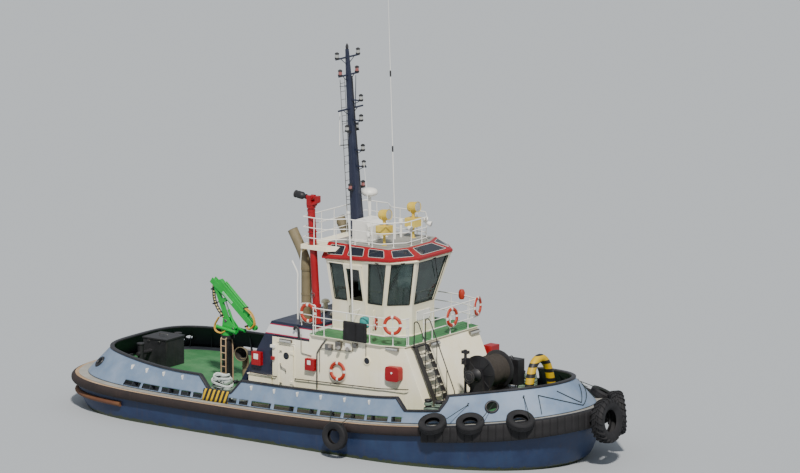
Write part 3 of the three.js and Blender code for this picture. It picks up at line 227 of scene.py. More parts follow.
def volume_of(points: Array, faces: list[Array]) -> float:
    """Signed volume inside faces, as a sum of fans of tetrahedra; negative when they face in.

    Args:
        points: Corners of the faces.
        faces: Groups of faces with as many corners each.

    Returns:
        The volume.
    """
    total = 0.0
    for group in faces:
        first = points[group[:, :1]]
        a, b = points[group[:, 1:-1]], points[group[:, 2:]]
        total += float(np.einsum("nki,nki->", np.broadcast_to(first, a.shape), np.cross(a, b)))
    return total / 6


def flat_ring(inner: float, outer: float, low: float, high: float) -> list:
    """Profile of a flat ring for the lathe, or of a disc when its inner radius is nought."""
    return [(inner, low), (outer, low), (outer, high), (inner, high)]


PLANES = {
    "xy": np.array([[1.0, 0, 0], [0, 1, 0], [0, 0, 1]]),
    "xz": np.array([[1.0, 0, 0], [0, 0, 1], [0, 1, 0]]),
    "yz": np.array([[0.0, 1, 0], [0, 0, 1], [1, 0, 0]]),
}


@dataclass
class Shape:
    """Gathers the surfaces of one piece, each with the number of its finish."""

    points: list = field(default_factory=list)
    faces: list = field(default_factory=list)
    marks: list = field(default_factory=list)
    count: int = 0

    def take(self, points: Array, faces: list[Array], finish: int | Array = 0, closed: bool = True) -> None:
        """Adds faces over their own points, turned outwards when they close a volume.

        Args:
            points: Corners of the faces.
            faces: Groups of faces with as many corners each.
            finish: One number, or one for each face of the first group.
            closed: Whether the faces close a volume.
        """
        flat = np.asarray(points, float).reshape(-1, 3)
        if closed and volume_of(flat, faces) < 0:
            faces = [group[:, ::-1] for group in faces]
        first = np.broadcast_to(finish, len(faces[0]))
        rest = [np.full(len(group), first[-1]) for group in faces[1:]]
        self.points.append(flat)
        self.faces += [group + self.count for group in faces]
        self.marks += [first, *rest]
        self.count += len(flat)

    def skin(self, rings: Array, finish: int | Array = 0, loop: bool = False, caps: bool = True) -> None:
        """Closes a row of rings.

        Args:
            rings: Array of rings, points and coordinates.
            finish: One number, a row of them round a ring, or a column of them along the rings.
            loop: Whether the last ring joins the first.
            caps: Whether flat faces close the ends.
        """
        rows, columns = rings.shape[:2]
        faces = [grid_faces(rows, columns, loop)]
        if caps and not loop:
            end = np.arange(columns)
            faces += [end[None, ::-1], end[None] + (rows - 1) * columns]
        if np.ndim(finish):
            finish = np.broadcast_to(finish, (rows if loop else rows - 1, columns)).ravel()
        self.take(rings, faces, finish)

    def sheet(self, rows: Array, away: tuple, finish: int = 0, kept: Array | None = None) -> None:
        """Adds an open grid that faces away from a point, less the faces that aren't kept.

        Args:
            rows: The grid's points.
            away: The point it faces away from.
            finish: Its finish number.
            kept: Which faces stay; all by default.
        """
        faces = grid_faces(*rows.shape[:2], False, False)
        flat = rows.reshape(-1, 3)
        corner = flat[faces]
        normal = np.cross(corner[:, 2] - corner[:, 0], corner[:, 3] - corner[:, 1])
        outward = np.einsum("ni,ni->n", normal, corner.mean(1) - np.asarray(away, float))
        if outward.sum() < 0:
            faces = faces[:, ::-1]
        self.take(flat, [faces if kept is None else faces[kept.ravel()]], finish, closed=False)

    def tube(self, path: Array, radius: float | Row, sides: int = 12, finish: int | Array = 0,
             loop: bool = False, up: tuple | None = None, square: float = 1.0) -> None:
        """Adds a bar of round or nearly square section along a path."""
        self.skin(rings_along(path, radius, sides, loop, up, square), finish, loop)

    def bar(self, start: Row, end: Row, radius: float | tuple, sides: int = 12,
            finish: int = 0, up: tuple | None = None, square: float = 1.0) -> None:
        """Adds a straight bar between two points."""
        self.tube(np.array([start, end], float), radius, sides, finish, up=up, square=square)

    def hollow(self, path: Array, radius: float, wall: float, depth: int, sides: int = 24,
               finish: int = 0) -> None:
        """Adds a pipe whose far end is open for the last few points of its path.

        Args:
            path: Points of the pipe's middle.
            radius: Its outer radius.
            wall: Its thickness.
            depth: How many points deep the open end is.
            sides: Points in a ring.
            finish: Its finish number.
        """
        outer = rings_along(path, radius, sides)
        inner = rings_along(path, radius - wall, sides)[-depth:][::-1]
        self.skin(np.concatenate([outer, inner]), finish)

    def lathe(self, profile: Rows, at: Row, axis: Row = (0, 0, 1), sides: int = 32,
              finish: int = 0, loop: bool = False) -> None:
        """Adds a turned profile; with loop the profile closes on itself."""
        self.skin(turned(profile, at, axis, sides), finish, loop)

    def rod(self, start: Row, end: Row, radius: float, finish: int = 0, sides: int = 20,
            end_radius: float | None = None) -> None:
        """Adds a straight round bar with softened ends, or a cone with a second radius.

        Args:
            start: Middle of one end.
            end: Middle of the other end.
            radius: Its radius.
            finish: Its finish number.
            sides: Points in a ring.
            end_radius: Radius at the other end, if it differs.
        """
        start, end = np.array(start, float), np.array(end, float)
        reach = float(np.linalg.norm(end - start))
        last = radius if end_radius is None else end_radius
        lip = min(0.1 * radius, 0.004, reach / 4)
        profile = [(radius - lip, 0), (radius, lip), (last, reach - lip),
                   (last - min(lip, last / 2), reach)]
        self.lathe(profile, start, end - start, sides, finish)

    def block(self, x: tuple, y: tuple, z: tuple, finish: int = 0) -> None:
        """Adds a box between two values on each axis; the piece's bevel rounds its edges."""
        loop = np.array([[x[0], y[0]], [x[1], y[0]], [x[1], y[1]], [x[0], y[1]]], float)
        self.slab("xy", loop, z[0], z[1], finish)

    def slab(self, plane: str, outline: Array | list, low: float, high: float, finish: int = 0) -> None:
        """Adds a flat outline drawn in one plane and carried from one level to another.

        Args:
            plane: The outline's plane.
            outline: Its corners.
            low: The first level.
            high: The last level.
            finish: Its finish number.
        """
        flat = np.asarray(outline, float)
        axes = PLANES[plane]
        spots = flat[:, :1] * axes[0] + flat[:, 1:] * axes[1]
        self.skin(np.stack([spots + low * axes[2], spots + high * axes[2]]), finish)

    def plate(self, corners: Array, thick: float, finish: int = 0, lift: float = 0.0) -> None:
        """Adds a thin plate on flat corners, from a lift above them and out along their normal.

        Args:
            corners: Its corners, in order.
            thick: Its thickness.
            finish: Its finish number.
            lift: How far above its corners it starts.
        """
        corners = np.asarray(corners, float)
        normal = unit(np.cross(corners[1] - corners[0], corners[-1] - corners[0]))
        self.skin(np.stack([corners + normal * lift, corners + normal * (lift + thick)]), finish)

    def mesh(self, name: str) -> bpy.types.Mesh:
        """The piece's mesh, with touching points merged.

        Args:
            name: The mesh's name.

        Returns:
            The mesh.
        """
        made = bpy.data.meshes.new(name)
        corners = [face for group in self.faces for face in group.tolist()]
        made.from_pydata(np.concatenate(self.points), [], corners)
        made.polygons.foreach_set("material_index", np.concatenate(self.marks).astype(np.int32))
        return cleaned(made)


def cleaned(mesh: bpy.types.Mesh, flatten: bool = False) -> bpy.types.Mesh:
    """Merges touching points and, if asked, joins the triangles of flat faces.

    Args:
        mesh: The mesh, changed in place.
        flatten: Whether flat faces are joined.

    Returns:
        The same mesh.
    """
    work = bmesh.new()
    work.from_mesh(mesh)
    bmesh.ops.remove_doubles(work, verts=work.verts, dist=MERGE)
    bmesh.ops.dissolve_degenerate(work, edges=work.edges, dist=MERGE)
    if flatten:
        bmesh.ops.dissolve_limit(work, angle_limit=np.radians(0.4), verts=work.verts, edges=work.edges)
    work.to_mesh(mesh)
    work.free()
    mesh.shade_smooth()
    mesh.set_sharp_from_angle(angle=CREASE)
    return mesh


# Materials


def linear(colour: str) -> tuple:
    """A hex colour as screens show it, turned to the linear values that shaders use.

    Args:
        colour: The hex colour.

    Returns:
        Red, green, blue and an alpha of one.
    """
    parts = np.array([int(colour[i : i + 2], 16) for i in (1, 3, 5)]) / 255
    values = np.where(parts <= 0.04045, parts / 12.92, ((parts + 0.055) / 1.055) ** 2.4)
    return (*values.tolist(), 1.0)


def add(tree: Tree, kind: str, inputs: dict | None = None, **settings: object) -> bpy.types.Node:
    """Adds a node; each input is set to a value or linked from a socket.

    Args:
        tree: The material's node tree.
        kind: The node's type.
        inputs: Socket names or numbers with their values or source sockets.
        settings: The node's own properties.

    Returns:
        The new node.
    """
    made = tree.nodes.new(kind)
    for name, value in settings.items():
        setattr(made, name, value)
    for key, value in (inputs or {}).items():
        if isinstance(value, bpy.types.NodeSocket):
            tree.links.new(value, made.inputs[key])
        else:
            made.inputs[key].default_value = value
    return made


MIX_A, MIX_B, MIX_OUT = 6, 7, 2


def object_place(tree: Tree) -> Socket:
    """A point's place in the piece's own metres."""
    return add(tree, "ShaderNodeTexCoord").outputs["Object"]


def noise(tree: Tree, place: Socket, scale: float, detail: float, roughness: float = 0.5) -> Socket:
    """Clouds of values between nought and one; a larger scale makes them smaller."""
    inputs = {"Vector": place, "Scale": scale, "Detail": detail, "Roughness": roughness}
    return add(tree, "ShaderNodeTexNoise", inputs).outputs[0]


def ranged(tree: Tree, value: Socket, source: tuple = (0.0, 1.0), into: tuple = (0.0, 1.0)) -> Socket:
    """A value carried in a straight line from one range into another, and held at its ends."""
    names = ("Value", "From Min", "From Max", "To Min", "To Max")
    return add(tree, "ShaderNodeMapRange", dict(zip(names, (value, *source, *into)))).outputs[0]


def mixed(tree: Tree, share: Socket, first: Socket | tuple, second: Socket | tuple) -> Socket:
    """The first colour where the share is nought, the second where it is one."""
    inputs = {0: share, MIX_A: first, MIX_B: second}
    return add(tree, "ShaderNodeMix", inputs, data_type="RGBA").outputs[MIX_OUT]


def raised(tree: Tree, height: Socket, distance: float, strength: float,
           under: Socket | None = None) -> Socket:
    """Normals of a surface that a height raises.

    Args:
        tree: The material's node tree.
        height: The height, from nought to one.
        distance: How far a height of one raises it, in metres.
        strength: Share of the effect.
        under: Normals of the surface below, if it isn't the mesh itself.

    Returns:
        The normals.
    """
    inputs = {"Height": height, "Distance": distance, "Strength": strength}
    if under is not None:
        inputs["Normal"] = under
    return add(tree, "ShaderNodeBump", inputs).outputs[0]


def surface(tree: Tree, colour: Socket, roughness: Socket | float, normal: Socket | None = None,
            ior: float = 1.5, metal: float = 0.0, clear: float = 0.0) -> bpy.types.Node:
    """The shader of a surface.

    Args:
        tree: The material's node tree.
        colour: Its colour.
        roughness: Nought for a mirror, one for chalk.
        normal: Its bumps.
        ior: Index of refraction.
        metal: Share of metal.
        clear: Share of light that passes through.

    Returns:
        The shader node.
    """
    inputs = {"Base Color": colour, "Roughness": roughness, "IOR": ior, "Metallic": metal,
              "Transmission Weight": clear}
    if normal is not None:
        inputs["Normal"] = normal
    return add(tree, "ShaderNodeBsdfPrincipled", inputs)


@dataclass(frozen=True)
class Finish:
    """A surface's looks; a kind of surface fills in its own nodes."""

    name: str

    def material(self) -> bpy.types.Material:
        """The finished material.

        Returns:
            A new material with the shader joined to its output.
        """
        made = bpy.data.materials.new(self.name)
        made.use_nodes = True
        made.node_tree.nodes.clear()
        shader = self.shade(made.node_tree)
        add(made.node_tree, "ShaderNodeOutputMaterial", {"Surface": shader.outputs[0]})
        return made

    def shade(self, tree: Tree) -> bpy.types.Node:
        """The shader node that gives the surface."""
        raise NotImplementedError


@dataclass(frozen=True)
class Paint(Finish):
    """Brushed gloss marine paint on steel plate.

    The eye sees faded patches a metre or so wide, thin runs of rust and salt that fall straight
    down, chips a few millimetres across and plates that are dished a little between frames.
    """

    colour: str = "#ffffff"
    faded: str = "#ffffff"
    stain: str = "#6b4a35"
    rust: str = "#5e3420"
    streaks: float = 0.35
    chips: float = 0.5
    roughness: float = 0.45
    dish: float = 0.004

    def base(self, tree: Tree, place: Socket) -> tuple:
        """The fresh and the faded colour, before wear."""
        return linear(self.colour), linear(self.faded)

    def shade(self, tree: Tree) -> bpy.types.Node:
        """Fresh and faded paint mixed, then stains, then chips, over a dished plate.

        Args:
            tree: The material's node tree.

        Returns:
            The shader node.
        """
        place = object_place(tree)
        fresh, faded = self.base(tree, place)
        broad = noise(tree, place, scale=1.1, detail=6, roughness=0.6)
        paint = mixed(tree, ranged(tree, broad, (0.38, 0.68)), fresh, faded)
        drawn = add(tree, "ShaderNodeMapping", {"Vector": place, "Scale": (7, 7, 0.5)}).outputs[0]
        runs = noise(tree, drawn, scale=1.4, detail=7, roughness=0.68)
        stained = mixed(tree, ranged(tree, runs, (0.55, 0.74), (0, self.streaks)), paint,
                        linear(self.stain))
        spots = noise(tree, place, scale=9, detail=9, roughness=0.72)
        worn = mixed(tree, ranged(tree, spots, (0.69, 0.73), (0, self.chips)), stained, linear(self.rust))
        dull = ranged(tree, broad, (0.3, 0.8), (self.roughness - 0.1, self.roughness + 0.2))
        wave = noise(tree, place, scale=1.9, detail=2)
        dished = raised(tree, wave, self.dish, strength=1.0)
        grain = raised(tree, spots, distance=0.0015, strength=0.6, under=dished)
        return surface(tree, worn, dull, grain)


@dataclass(frozen=True)
class BandedPaint(Paint):
    """Marine paint laid in level bands, the boundaries cut in by hand or ragged with weed."""

    bands: tuple = ()
    ragged: float = 0.004
    sharp: float = 0.003

    def base(self, tree: Tree, place: Socket) -> tuple:
        """Colours from the lowest band up, each taking over above its own height.

        Args:
            tree: The material's node tree.
            place: A point's place in the piece's own metres.

        Returns:
            The fresh and the faded colour.
        """
        height = add(tree, "ShaderNodeSeparateXYZ", {0: place}).outputs[2]
        edge = noise(tree, place, scale=5, detail=8, roughness=0.7)
        push = ranged(tree, edge, (0.3, 0.7), (-self.ragged, self.ragged))
        level = add(tree, "ShaderNodeMath", {0: height, 1: push}, operation="ADD").outputs[0]
        fresh, faded = linear(self.colour), linear(self.faded)
        for start, colour, worn in self.bands:
            above = ranged(tree, level, (start - self.sharp, start + self.sharp))
            fresh = mixed(tree, above, fresh, linear(colour))
            faded = mixed(tree, above, faded, linear(worn))
        return fresh, faded


@dataclass(frozen=True)
class StripedPaint(Paint):
    """Marine paint masked off in slanting stripes of a second colour."""

    second: str = "#1c1c1c"
    pitch: float = 0.24
    slant: tuple = (1.0, 0.0, 1.0)
    share: float = 0.5
    sharp: float = 0.002

    def base(self, tree: Tree, place: Socket) -> tuple:
        """Two colours in turn along the slant; share is the first one's part of the pitch.

        Args:
            tree: The material's node tree.
            place: A point's place in the piece's own metres.

        Returns:
            The fresh and the faded colour.
        """
        along = add(tree, "ShaderNodeVectorMath", {0: place, 1: self.slant}, operation="DOT_PRODUCT")
        inputs = {0: along.outputs[1], 1: self.pitch, 2: 0.0}
        turn = add(tree, "ShaderNodeMath", inputs, operation="WRAP").outputs[0]
        edge = self.pitch * self.share
        beyond = ranged(tree, turn, (edge - self.sharp, edge + self.sharp))
        both = mixed(tree, beyond, linear(self.colour), linear(self.second))
        return both, both


@dataclass(frozen=True)
class Rubber(Finish):
    """Moulded fender rubber: dull black gone grey with dust and scuffs, with a pebbled skin."""

    colour: str = "#1b1a1e"
    dust: str = "#4b484b"
    roughness: float = 0.78
    scuff: float = 0.5

    def shade(self, tree: Tree) -> bpy.types.Node:
        """Black mixed with dust in clouds, under a fine pebble.

        Args:
            tree: The material's node tree.

        Returns:
            The shader node.
        """
        place = object_place(tree)
        cloud = noise(tree, place, scale=2.6, detail=8, roughness=0.65)
        dusty = ranged(tree, cloud, (0.42, 0.75), (0, self.scuff))
        colour = mixed(tree, dusty, linear(self.colour), linear(self.dust))
        pebble = noise(tree, place, scale=45, detail=4)
        rough = ranged(tree, pebble, into=(self.roughness - 0.1, self.roughness + 0.1))
        return surface(tree, colour, rough, raised(tree, pebble, distance=0.003, strength=0.6), ior=1.52)


@dataclass(frozen=True)
class Glass(Finish):
    """Tinted toughened glass, flat and clean but for a thin film of dried salt."""

    tint: str = "#6c7f78"
    clear: float = 0.72
    shade_tint: str = "#33484c"

    def shade(self, tree: Tree) -> bpy.types.Node:
        """Clear tinted glass whose roughness rises where the film is thick.

        Args:
            tree: The material's node tree.

        Returns:
            The shader node.
        """
        film = noise(tree, object_place(tree), scale=3, detail=6)
        haze = ranged(tree, film, (0.4, 0.8), (0.03, 0.16))
        tone = mixed(tree, film, linear(self.tint), linear(self.shade_tint))
        return surface(tree, tone, haze, ior=1.52, clear=self.clear)


@dataclass(frozen=True)
class Metal(Finish):
    """Bare metal, drawn or cast, with tarnish in clouds a hand wide."""

    colour: str = "#9a9c9e"
    tarnish: str = "#5f5a52"
    roughness: float = 0.3

    def shade(self, tree: Tree) -> bpy.types.Node:
        """Metal mixed with tarnish, rougher where it is tarnished.

        Args:
            tree: The material's node tree.

        Returns:
            The shader node.
        """
        cloud = noise(tree, object_place(tree), scale=6, detail=8, roughness=0.65)
        share = ranged(tree, cloud, (0.45, 0.75))
        colour = mixed(tree, share, linear(self.colour), linear(self.tarnish))
        rough = ranged(tree, share, into=(self.roughness, self.roughness + 0.3))
        return surface(tree, colour, rough, raised(tree, cloud, distance=0.001, strength=0.5), metal=1.0)


@dataclass(frozen=True)
class Rope(Finish):
    """Laid synthetic rope: strands show as fine slanting ridges, grey where it is handled."""

    colour: str = "#cfc4a4"
    soiled: str = "#7d735f"

    def shade(self, tree: Tree) -> bpy.types.Node:
        """Fibre colour soiled in clouds, with a fine wave for the strands.

        Args:
            tree: The material's node tree.

        Returns:
            The shader node.
        """
        place = object_place(tree)
        cloud = noise(tree, place, scale=8, detail=6)
        colour = mixed(tree, cloud, linear(self.colour), linear(self.soiled))
        laid = {"Vector": place, "Scale": 22, "Distortion": 1.5, "Detail": 2}
        strand = add(tree, "ShaderNodeTexWave", laid, bands_direction="DIAGONAL").outputs[1]
        return surface(tree, colour, 0.85, raised(tree, strand, distance=0.004, strength=0.8))


@dataclass(frozen=True)
class Lamp(Finish):
    """A lamp's moulded lens: glossy coloured plastic, ridged inside."""

    colour: str = "#c02018"
    inner: str = "#8f9290"

    def shade(self, tree: Tree) -> bpy.types.Node:
        """Coloured plastic with a little light passing through.

        Args:
            tree: The material's node tree.

        Returns:
            The shader node.
        """
        ridge = noise(tree, object_place(tree), scale=30, detail=2)
        tone = mixed(tree, ridge, linear(self.colour), linear(self.inner))
        bump = raised(tree, ridge, distance=0.002, strength=0.4)
        return surface(tree, tone, 0.2, bump, ior=1.49, clear=0.25)


class Look(Enum):
    """Every finish of the tug."""

    HULL = BandedPaint("hull_blue", "#5a2f28", "#6b3a30", "#4a3a30", "#4b2b1e", 0.3, 0.6, 0.5, 0.008,
                       ((-0.06, "#2c3825", "#3c442e"), (0.12, "#17284a", "#23385a")), 0.09)
    SHELF = Paint("shelf_tan", "#8a8880", "#a2a098", "#6f6355", "#5e3420", 0.25, 0.7, 0.55, 0.002)
    BULWARK = Paint("bulwark_blue", "#697e99", "#7f90a7", "#8a7a68", "#5e3420", 0.3, 0.6, 0.45, 0.006)
    # Near-black blue: painted shade for the shaded inner face of the bulwark, its stays and the strip of deck
    # at its foot.
    INSIDE = Paint("bulwark_inside", "#1f242c", "#2c323a", "#3a3028", "#3f261a", 0.4, 0.6, 0.6, 0.004)
    CAP = Paint("cap_black", "#1a1b20", "#2c2d33", "#5b4a3c", "#5e3420", 0.3, 0.8, 0.5, 0.002)
    DECK = Paint("deck_green", "#2f6e40", "#4a7e52", "#6d6a58", "#4b2b1e", 0.5, 0.9, 0.8, 0.004)
    STRAKE = Paint("strake_rust", "#1f1615", "#2d2220", "#40302a", "#4e3224", 0.5, 0.9, 0.75, 0.006)
    EDGE = Paint("strake_edge", "#b49a7c", "#9c8060", "#7a4a2c", "#80482a", 0.5, 0.9, 0.7, 0.003)
    ORANGE = Paint("strake_orange", "#5e3a26", "#74502f", "#5c3a28", "#4b2b1e", 0.6, 0.8, 0.75, 0.003)
    CREAM = Paint("house_cream", "#f5eccc", "#faf4e0", "#a98e68", "#8a5a34", 0.2, 0.35, 0.42, 0.004)
    NAVY = BandedPaint("casing_navy", "#1a2036", "#262d44", "#4a4a50", "#5e3420", 0.25, 0.4, 0.42, 0.004,
                       ((3.7, "#a81440", "#b02c50"), (3.74, "#dfe0e2", "#eceae6"),
                        (4.06, "#a81440", "#b02c50"), (4.1, "#1a2036", "#262d44")), 0.002)
    MAST = Paint("mast_navy", "#191f35", "#252b40", "#55555c", "#5e3420", 0.2, 0.4, 0.42, 0.001)
    STACK = Paint("stack_beige", "#6c6248", "#80755a", "#4a4236", "#5e3420", 0.5, 0.6, 0.6, 0.002)
    SOOT = Paint("stack_soot", "#22201f", "#34302c", "#15130f", "#3a2a20", 0.5, 0.3, 0.85, 0.001)
    RED = Paint("roof_red", "#90000c", "#9c0a16", "#7a2018", "#5e2018", 0.12, 0.25, 0.38, 0.003)
    # Mid grey, darkened as painted shade for the shaded top of the roof.
    ROOF = Paint("roof_grey", "#83847f", "#9a9a94", "#8b8478", "#7a4a2c", 0.3, 0.4, 0.6, 0.003)
    WHITE = Paint("fitting_white", "#e4e4df", "#f0efe9", "#a8957a", "#8a5a34", 0.2, 0.3, 0.4, 0.0)
    YELLOW = Paint("lamp_yellow", "#d2b238", "#dcc460", "#8a6a2c", "#6b4020", 0.25, 0.4, 0.42, 0.0)
    BLACK = Paint("gear_black", "#1b1b1e", "#2b2b2e", "#4f4338", "#5e3420", 0.35, 0.6, 0.5, 0.001)
    GREEN = Paint("crane_green", "#009a30", "#10a840", "#4a5a3a", "#5e3420", 0.15, 0.3, 0.35, 0.001)
    GREY = Paint("console_grey", "#565c62", "#6a7076", "#3a3a3a", "#5e3420", 0.1, 0.2, 0.5, 0.0)
    HAZARD = StripedPaint("hazard_stripes", "#c8a400", "#c8a400", "#6b4a35", "#5e3420", 0.1, 0.3, 0.5, 0.0,
                          pitch=0.2, slant=(1.0, 0.0, -0.28), share=0.45)
    BAND = StripedPaint("staple_bands", "#c8a400", "#c8a400", "#6b4a35", "#5e3420", 0.1, 0.3, 0.5, 0.0,
                        pitch=0.36, slant=(0.0, 0.0, 1.0), share=0.6)
    HOSE = StripedPaint("hose_stripes", "#dccb84", "#dccb84", "#3a3a30", "#2b2b2b", 0.1, 0.2, 0.5, 0.0,
                        pitch=0.1, slant=(0.0, 0.0, 1.0))
    DRIVE = Paint("drive_grey", "#5c3a30", "#6e4a3c", "#3a3a34", "#4b2b1e", 0.3, 0.5, 0.6, 0.002)
    PALE_GREEN = Paint("label_green", "#7cc090", "#96cca4", "#4a5a3a", "#5e3420", 0.2, 0.4, 0.4, 0.0)
    YELLOW_HOSE = Rubber("hose_yellow", "#c89a3c", "#8a6a34", 0.5, 0.3)
    RUBBER = Rubber("fender_rubber", "#0c0b0e", "#262328", 0.75, 0.4)
    TYRE = Rubber("tyre_rubber", "#0e0e12", "#2a2a2f", 0.8, 0.5)
    GASKET = Rubber("window_gasket", "#121214", "#2a2a2c", 0.7, 0.3)
    RING = Rubber("ring_orange", "#a62a12", "#bc5c3c", 0.5, 0.3)
    RING_BAND = Rubber("ring_white", "#dedcd4", "#b8b4a8", 0.5, 0.3)
    # Its second colour, mixed in clouds over the drum, is the lighter teal of the drum's highlights: painted
    # highlight.
    TEAL = Rubber("drum_teal", "#2f8f8c", "#74aaa6", 0.5, 0.3)
    GLASS = Glass("window_glass")
    SKY = Glass("sky_glass", "#10151f", 0.05, "#181e2c")
    CHROME = Metal("rod_chrome", "#c6c8ca", "#8c8c88", 0.12)
    BRONZE = Metal("propeller_bronze", "#a8803c", "#6a5a30", 0.35)
    STEEL = Metal("bare_steel", "#8c8c8a", "#5c4a3c", 0.45)
    ROPE_PALE = Rope("pale_rope", "#e6ece8", "#9fb0aa")
    ROPE_GREEN = Rope("green_rope", "#8aa08e", "#5a6c60")
    ROPE_DARK = Rope("dark_rope", "#26332a", "#181e1a")
    TOWLINE = Rope("towline", "#403a35", "#282420")
    LAMP_RED = Lamp("lens_red")
    LAMP_CLEAR = Lamp("lens_clear", "#d8dad6")


@dataclass
class Yard:
    """Puts finished pieces on the frame and keeps one material for each look."""

    materials: dict = field(default_factory=dict)

    def material(self, look: Look) -> bpy.types.Material:
        """The look's material, made once.

        Args:
            look: The finish.

        Returns:
            Its material.
        """
        if look not in self.materials:
            self.materials[look] = look.value.material()
        return self.materials[look]

    def place(self, name: str, mesh: bpy.types.Mesh, looks: tuple, body: str, slot: str | None,
              stands_for: tuple, bevel: float) -> bpy.types.Object:
        """Links a mesh as a piece that rides on a body.

        Args:
            name: The piece's name.
            mesh: Its mesh.
            looks: Its finishes, by number.
            body: The CAD body it moves with.
            slot: Not used.
            stands_for: CAD nodes it replaces.
            bevel: Width of the rounded edges, or nought for none.

        Returns:
            The piece.
        """
        made = bpy.data.objects.new(name, mesh)
        bpy.context.scene.collection.objects.link(made)
        for look in looks:
            mesh.materials.append(self.material(look))
        if bevel:
            soft = made.modifiers.new("edges", "BEVEL")
            soft.width, soft.segments = bevel, 2
            soft.limit_method, soft.angle_limit = "ANGLE", CREASE
            soft.harden_normals = True
        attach(made, body)
        if stands_for:
            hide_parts(*stands_for)
        LOG.info("%s: %d points, rides on %s", name, len(mesh.vertices), body)
        return made

    def piece(self, name: str, shape: Shape, looks: tuple, slot: str | None = None, body: str = ROOT,
              stands_for: tuple = (), bevel: float = 0.0) -> bpy.types.Object:
        """Makes a new piece from gathered surfaces."""
        return self.place(name, shape.mesh(name), looks, body, slot, stands_for, bevel)

    def stand_in(self, node: str, shape: Shape, looks: tuple, slot: str, body: str = ROOT,
                 bevel: float = 0.0) -> bpy.types.Object:
        """Makes a new piece in a CAD node's place."""
        return self.piece(f"{node}_finished", shape, looks, slot, body, (node,), bevel)

    def refined(self, node: str, looks: tuple, slot: str, bevel: float = 0.004,
                marks: Callable | None = None) -> bpy.types.Object:
        """Puts a merged copy with rounded edges in a CAD node's place.

        Args:
            node: The CAD node.
            looks: Its finishes, by number.
            slot: The record's material slot.
            bevel: Width of the rounded edges.
            marks: Gives each face's finish number from its centre and normal.

        Returns:
            The piece.
        """
        source = frame["nodes"][node]
        mesh = bpy.data.meshes.new(node)
        points = np.zeros(len(source.data.vertices) * 3, np.float32)
        source.data.vertices.foreach_get("co", points)
        corners = np.zeros(len(source.data.loops), np.int32)
        source.data.loops.foreach_get("vertex_index", corners)
        mesh.from_pydata(points.reshape(-1, 3), [], corners.reshape(-1, 3).tolist())
        cleaned(mesh, flatten=True)
        if marks:
            spots = np.array([[*face.center, *face.normal] for face in mesh.polygons])
            numbers = marks(spots[:, :3], spots[:, 3:]).astype(np.int32)
            mesh.polygons.foreach_set("material_index", numbers)
        return self.place(f"{node}_finished", mesh, looks, source["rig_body"], slot, (node,), bevel)


# The tug's lines

ROOF_TOP = 7.27
PLATFORM_TOP = 7.15
BRIDGE_TOP = 3.97
CASING_TOP = 4.2
LIGHT_X, LIGHT_SIDE, LIGHT_BASE = 2.15, 0.9, 8.02


@dataclass(frozen=True)
class Plan:
    """Half-lengths and half-width of the plan outline, with its two curved ends."""

    stern: float = 6.1
    bow: float = 7.75
    half: float = 4.15
    stern_centre: float = -5.0
    bow_centre: float = 3.0
    stern_power: float = 3.6
    bow_power: float = 2.1


DECK_PLAN = Plan()


def deck_height(x: Array) -> Array:
    """Height of the deck at the side: a parabola aft of X -5 and a power curve forward."""
    run = np.asarray(x, float) + 5
    return np.where(run < 0, 1.23 + 0.003 * run**2, 1.23 + 0.000726 * np.abs(run) ** 2.6)


def plan_point(s: Array, inset: Array = 0.0, plan: Plan = DECK_PLAN) -> tuple:
    """X and Y of the outline, drawn in by an inset.

    Args:
        s: 0 at the stern, 1 to 2 along the straight side, 3 at the stem, back to 6 on the port side.
        inset: Distance inwards.
        plan: The outline's sizes.

    Returns:
        Arrays of X and Y.
    """
    s, inset = np.broadcast_arrays(np.asarray(s, float), np.asarray(inset, float))
    lap = np.mod(s, 6)
    t = np.where(lap > 3, 6 - lap, lap)
    side = np.where(lap > 3, 1.0, -1.0)
    aft, fore = t < 1, t > 2
    angle = np.where(aft, t, np.where(fore, 3 - t, 1)) * np.pi / 2
    power = np.where(aft, plan.stern_power, plan.bow_power)
    length = np.where(aft, inset - plan.stern, plan.bow - inset)
    reach = length * np.maximum(np.cos(angle), 0) ** (2 / power)
    start = np.where(aft, plan.stern_centre, plan.bow_centre)
    run = plan.stern_centre + (t - 1) * (plan.bow_centre - plan.stern_centre)
    x = np.where(aft | fore, start + reach, run)
    y = side * (plan.half - inset) * np.maximum(np.sin(angle), 0) ** (2 / power)
    return x, y


def band(s: Array, inset: Array, rise: Array) -> Array:
    """Points along the outline at an inset and a rise above the deck's side."""
    x, y = plan_point(s, inset)
    return np.stack([x, y, deck_height(x) + rise], -1)


SIDE_S = np.linspace(0, 3, 6001)
SIDE_X = plan_point(SIDE_S)[0]


def s_at(x: Array) -> Array:
    """The outline's s for an X on the starboard side."""
    return np.interp(x, SIDE_X, SIDE_S)


def even_steps(start: float, end: float, pitch: float) -> tuple:
    """Values of s at an even pitch of length along the outline, with their lengths.

    Args:
        start: The first value of s.
        end: The last value of s.
        pitch: Wanted length between two.

    Returns:
        The values of s, and their lengths from the start.
    """
    dense = np.linspace(start, end, 8001)
    x, y = plan_point(dense)
    run = np.concatenate([[0], np.cumsum(np.hypot(np.diff(x), np.diff(y)))])
    marks = np.linspace(0, run[-1], int(run[-1] / pitch) + 1)
    return np.interp(marks, run, dense), marks


def lean(x: Array) -> Array:
    """How far the bulwark's top stands inboard of its foot."""
    return np.where(x < 0, 0.35 + 0.45 * smooth(-5, -10, x), 0.35 + 0.5 * smooth(4, 10, x))


def wall_rise(x: Array) -> Array:
    """The bulwark's full height above the deck."""
    return 0.87 + 0.16 * smooth(3, 10, x) + 0.1 * smooth(-5, -10, x)


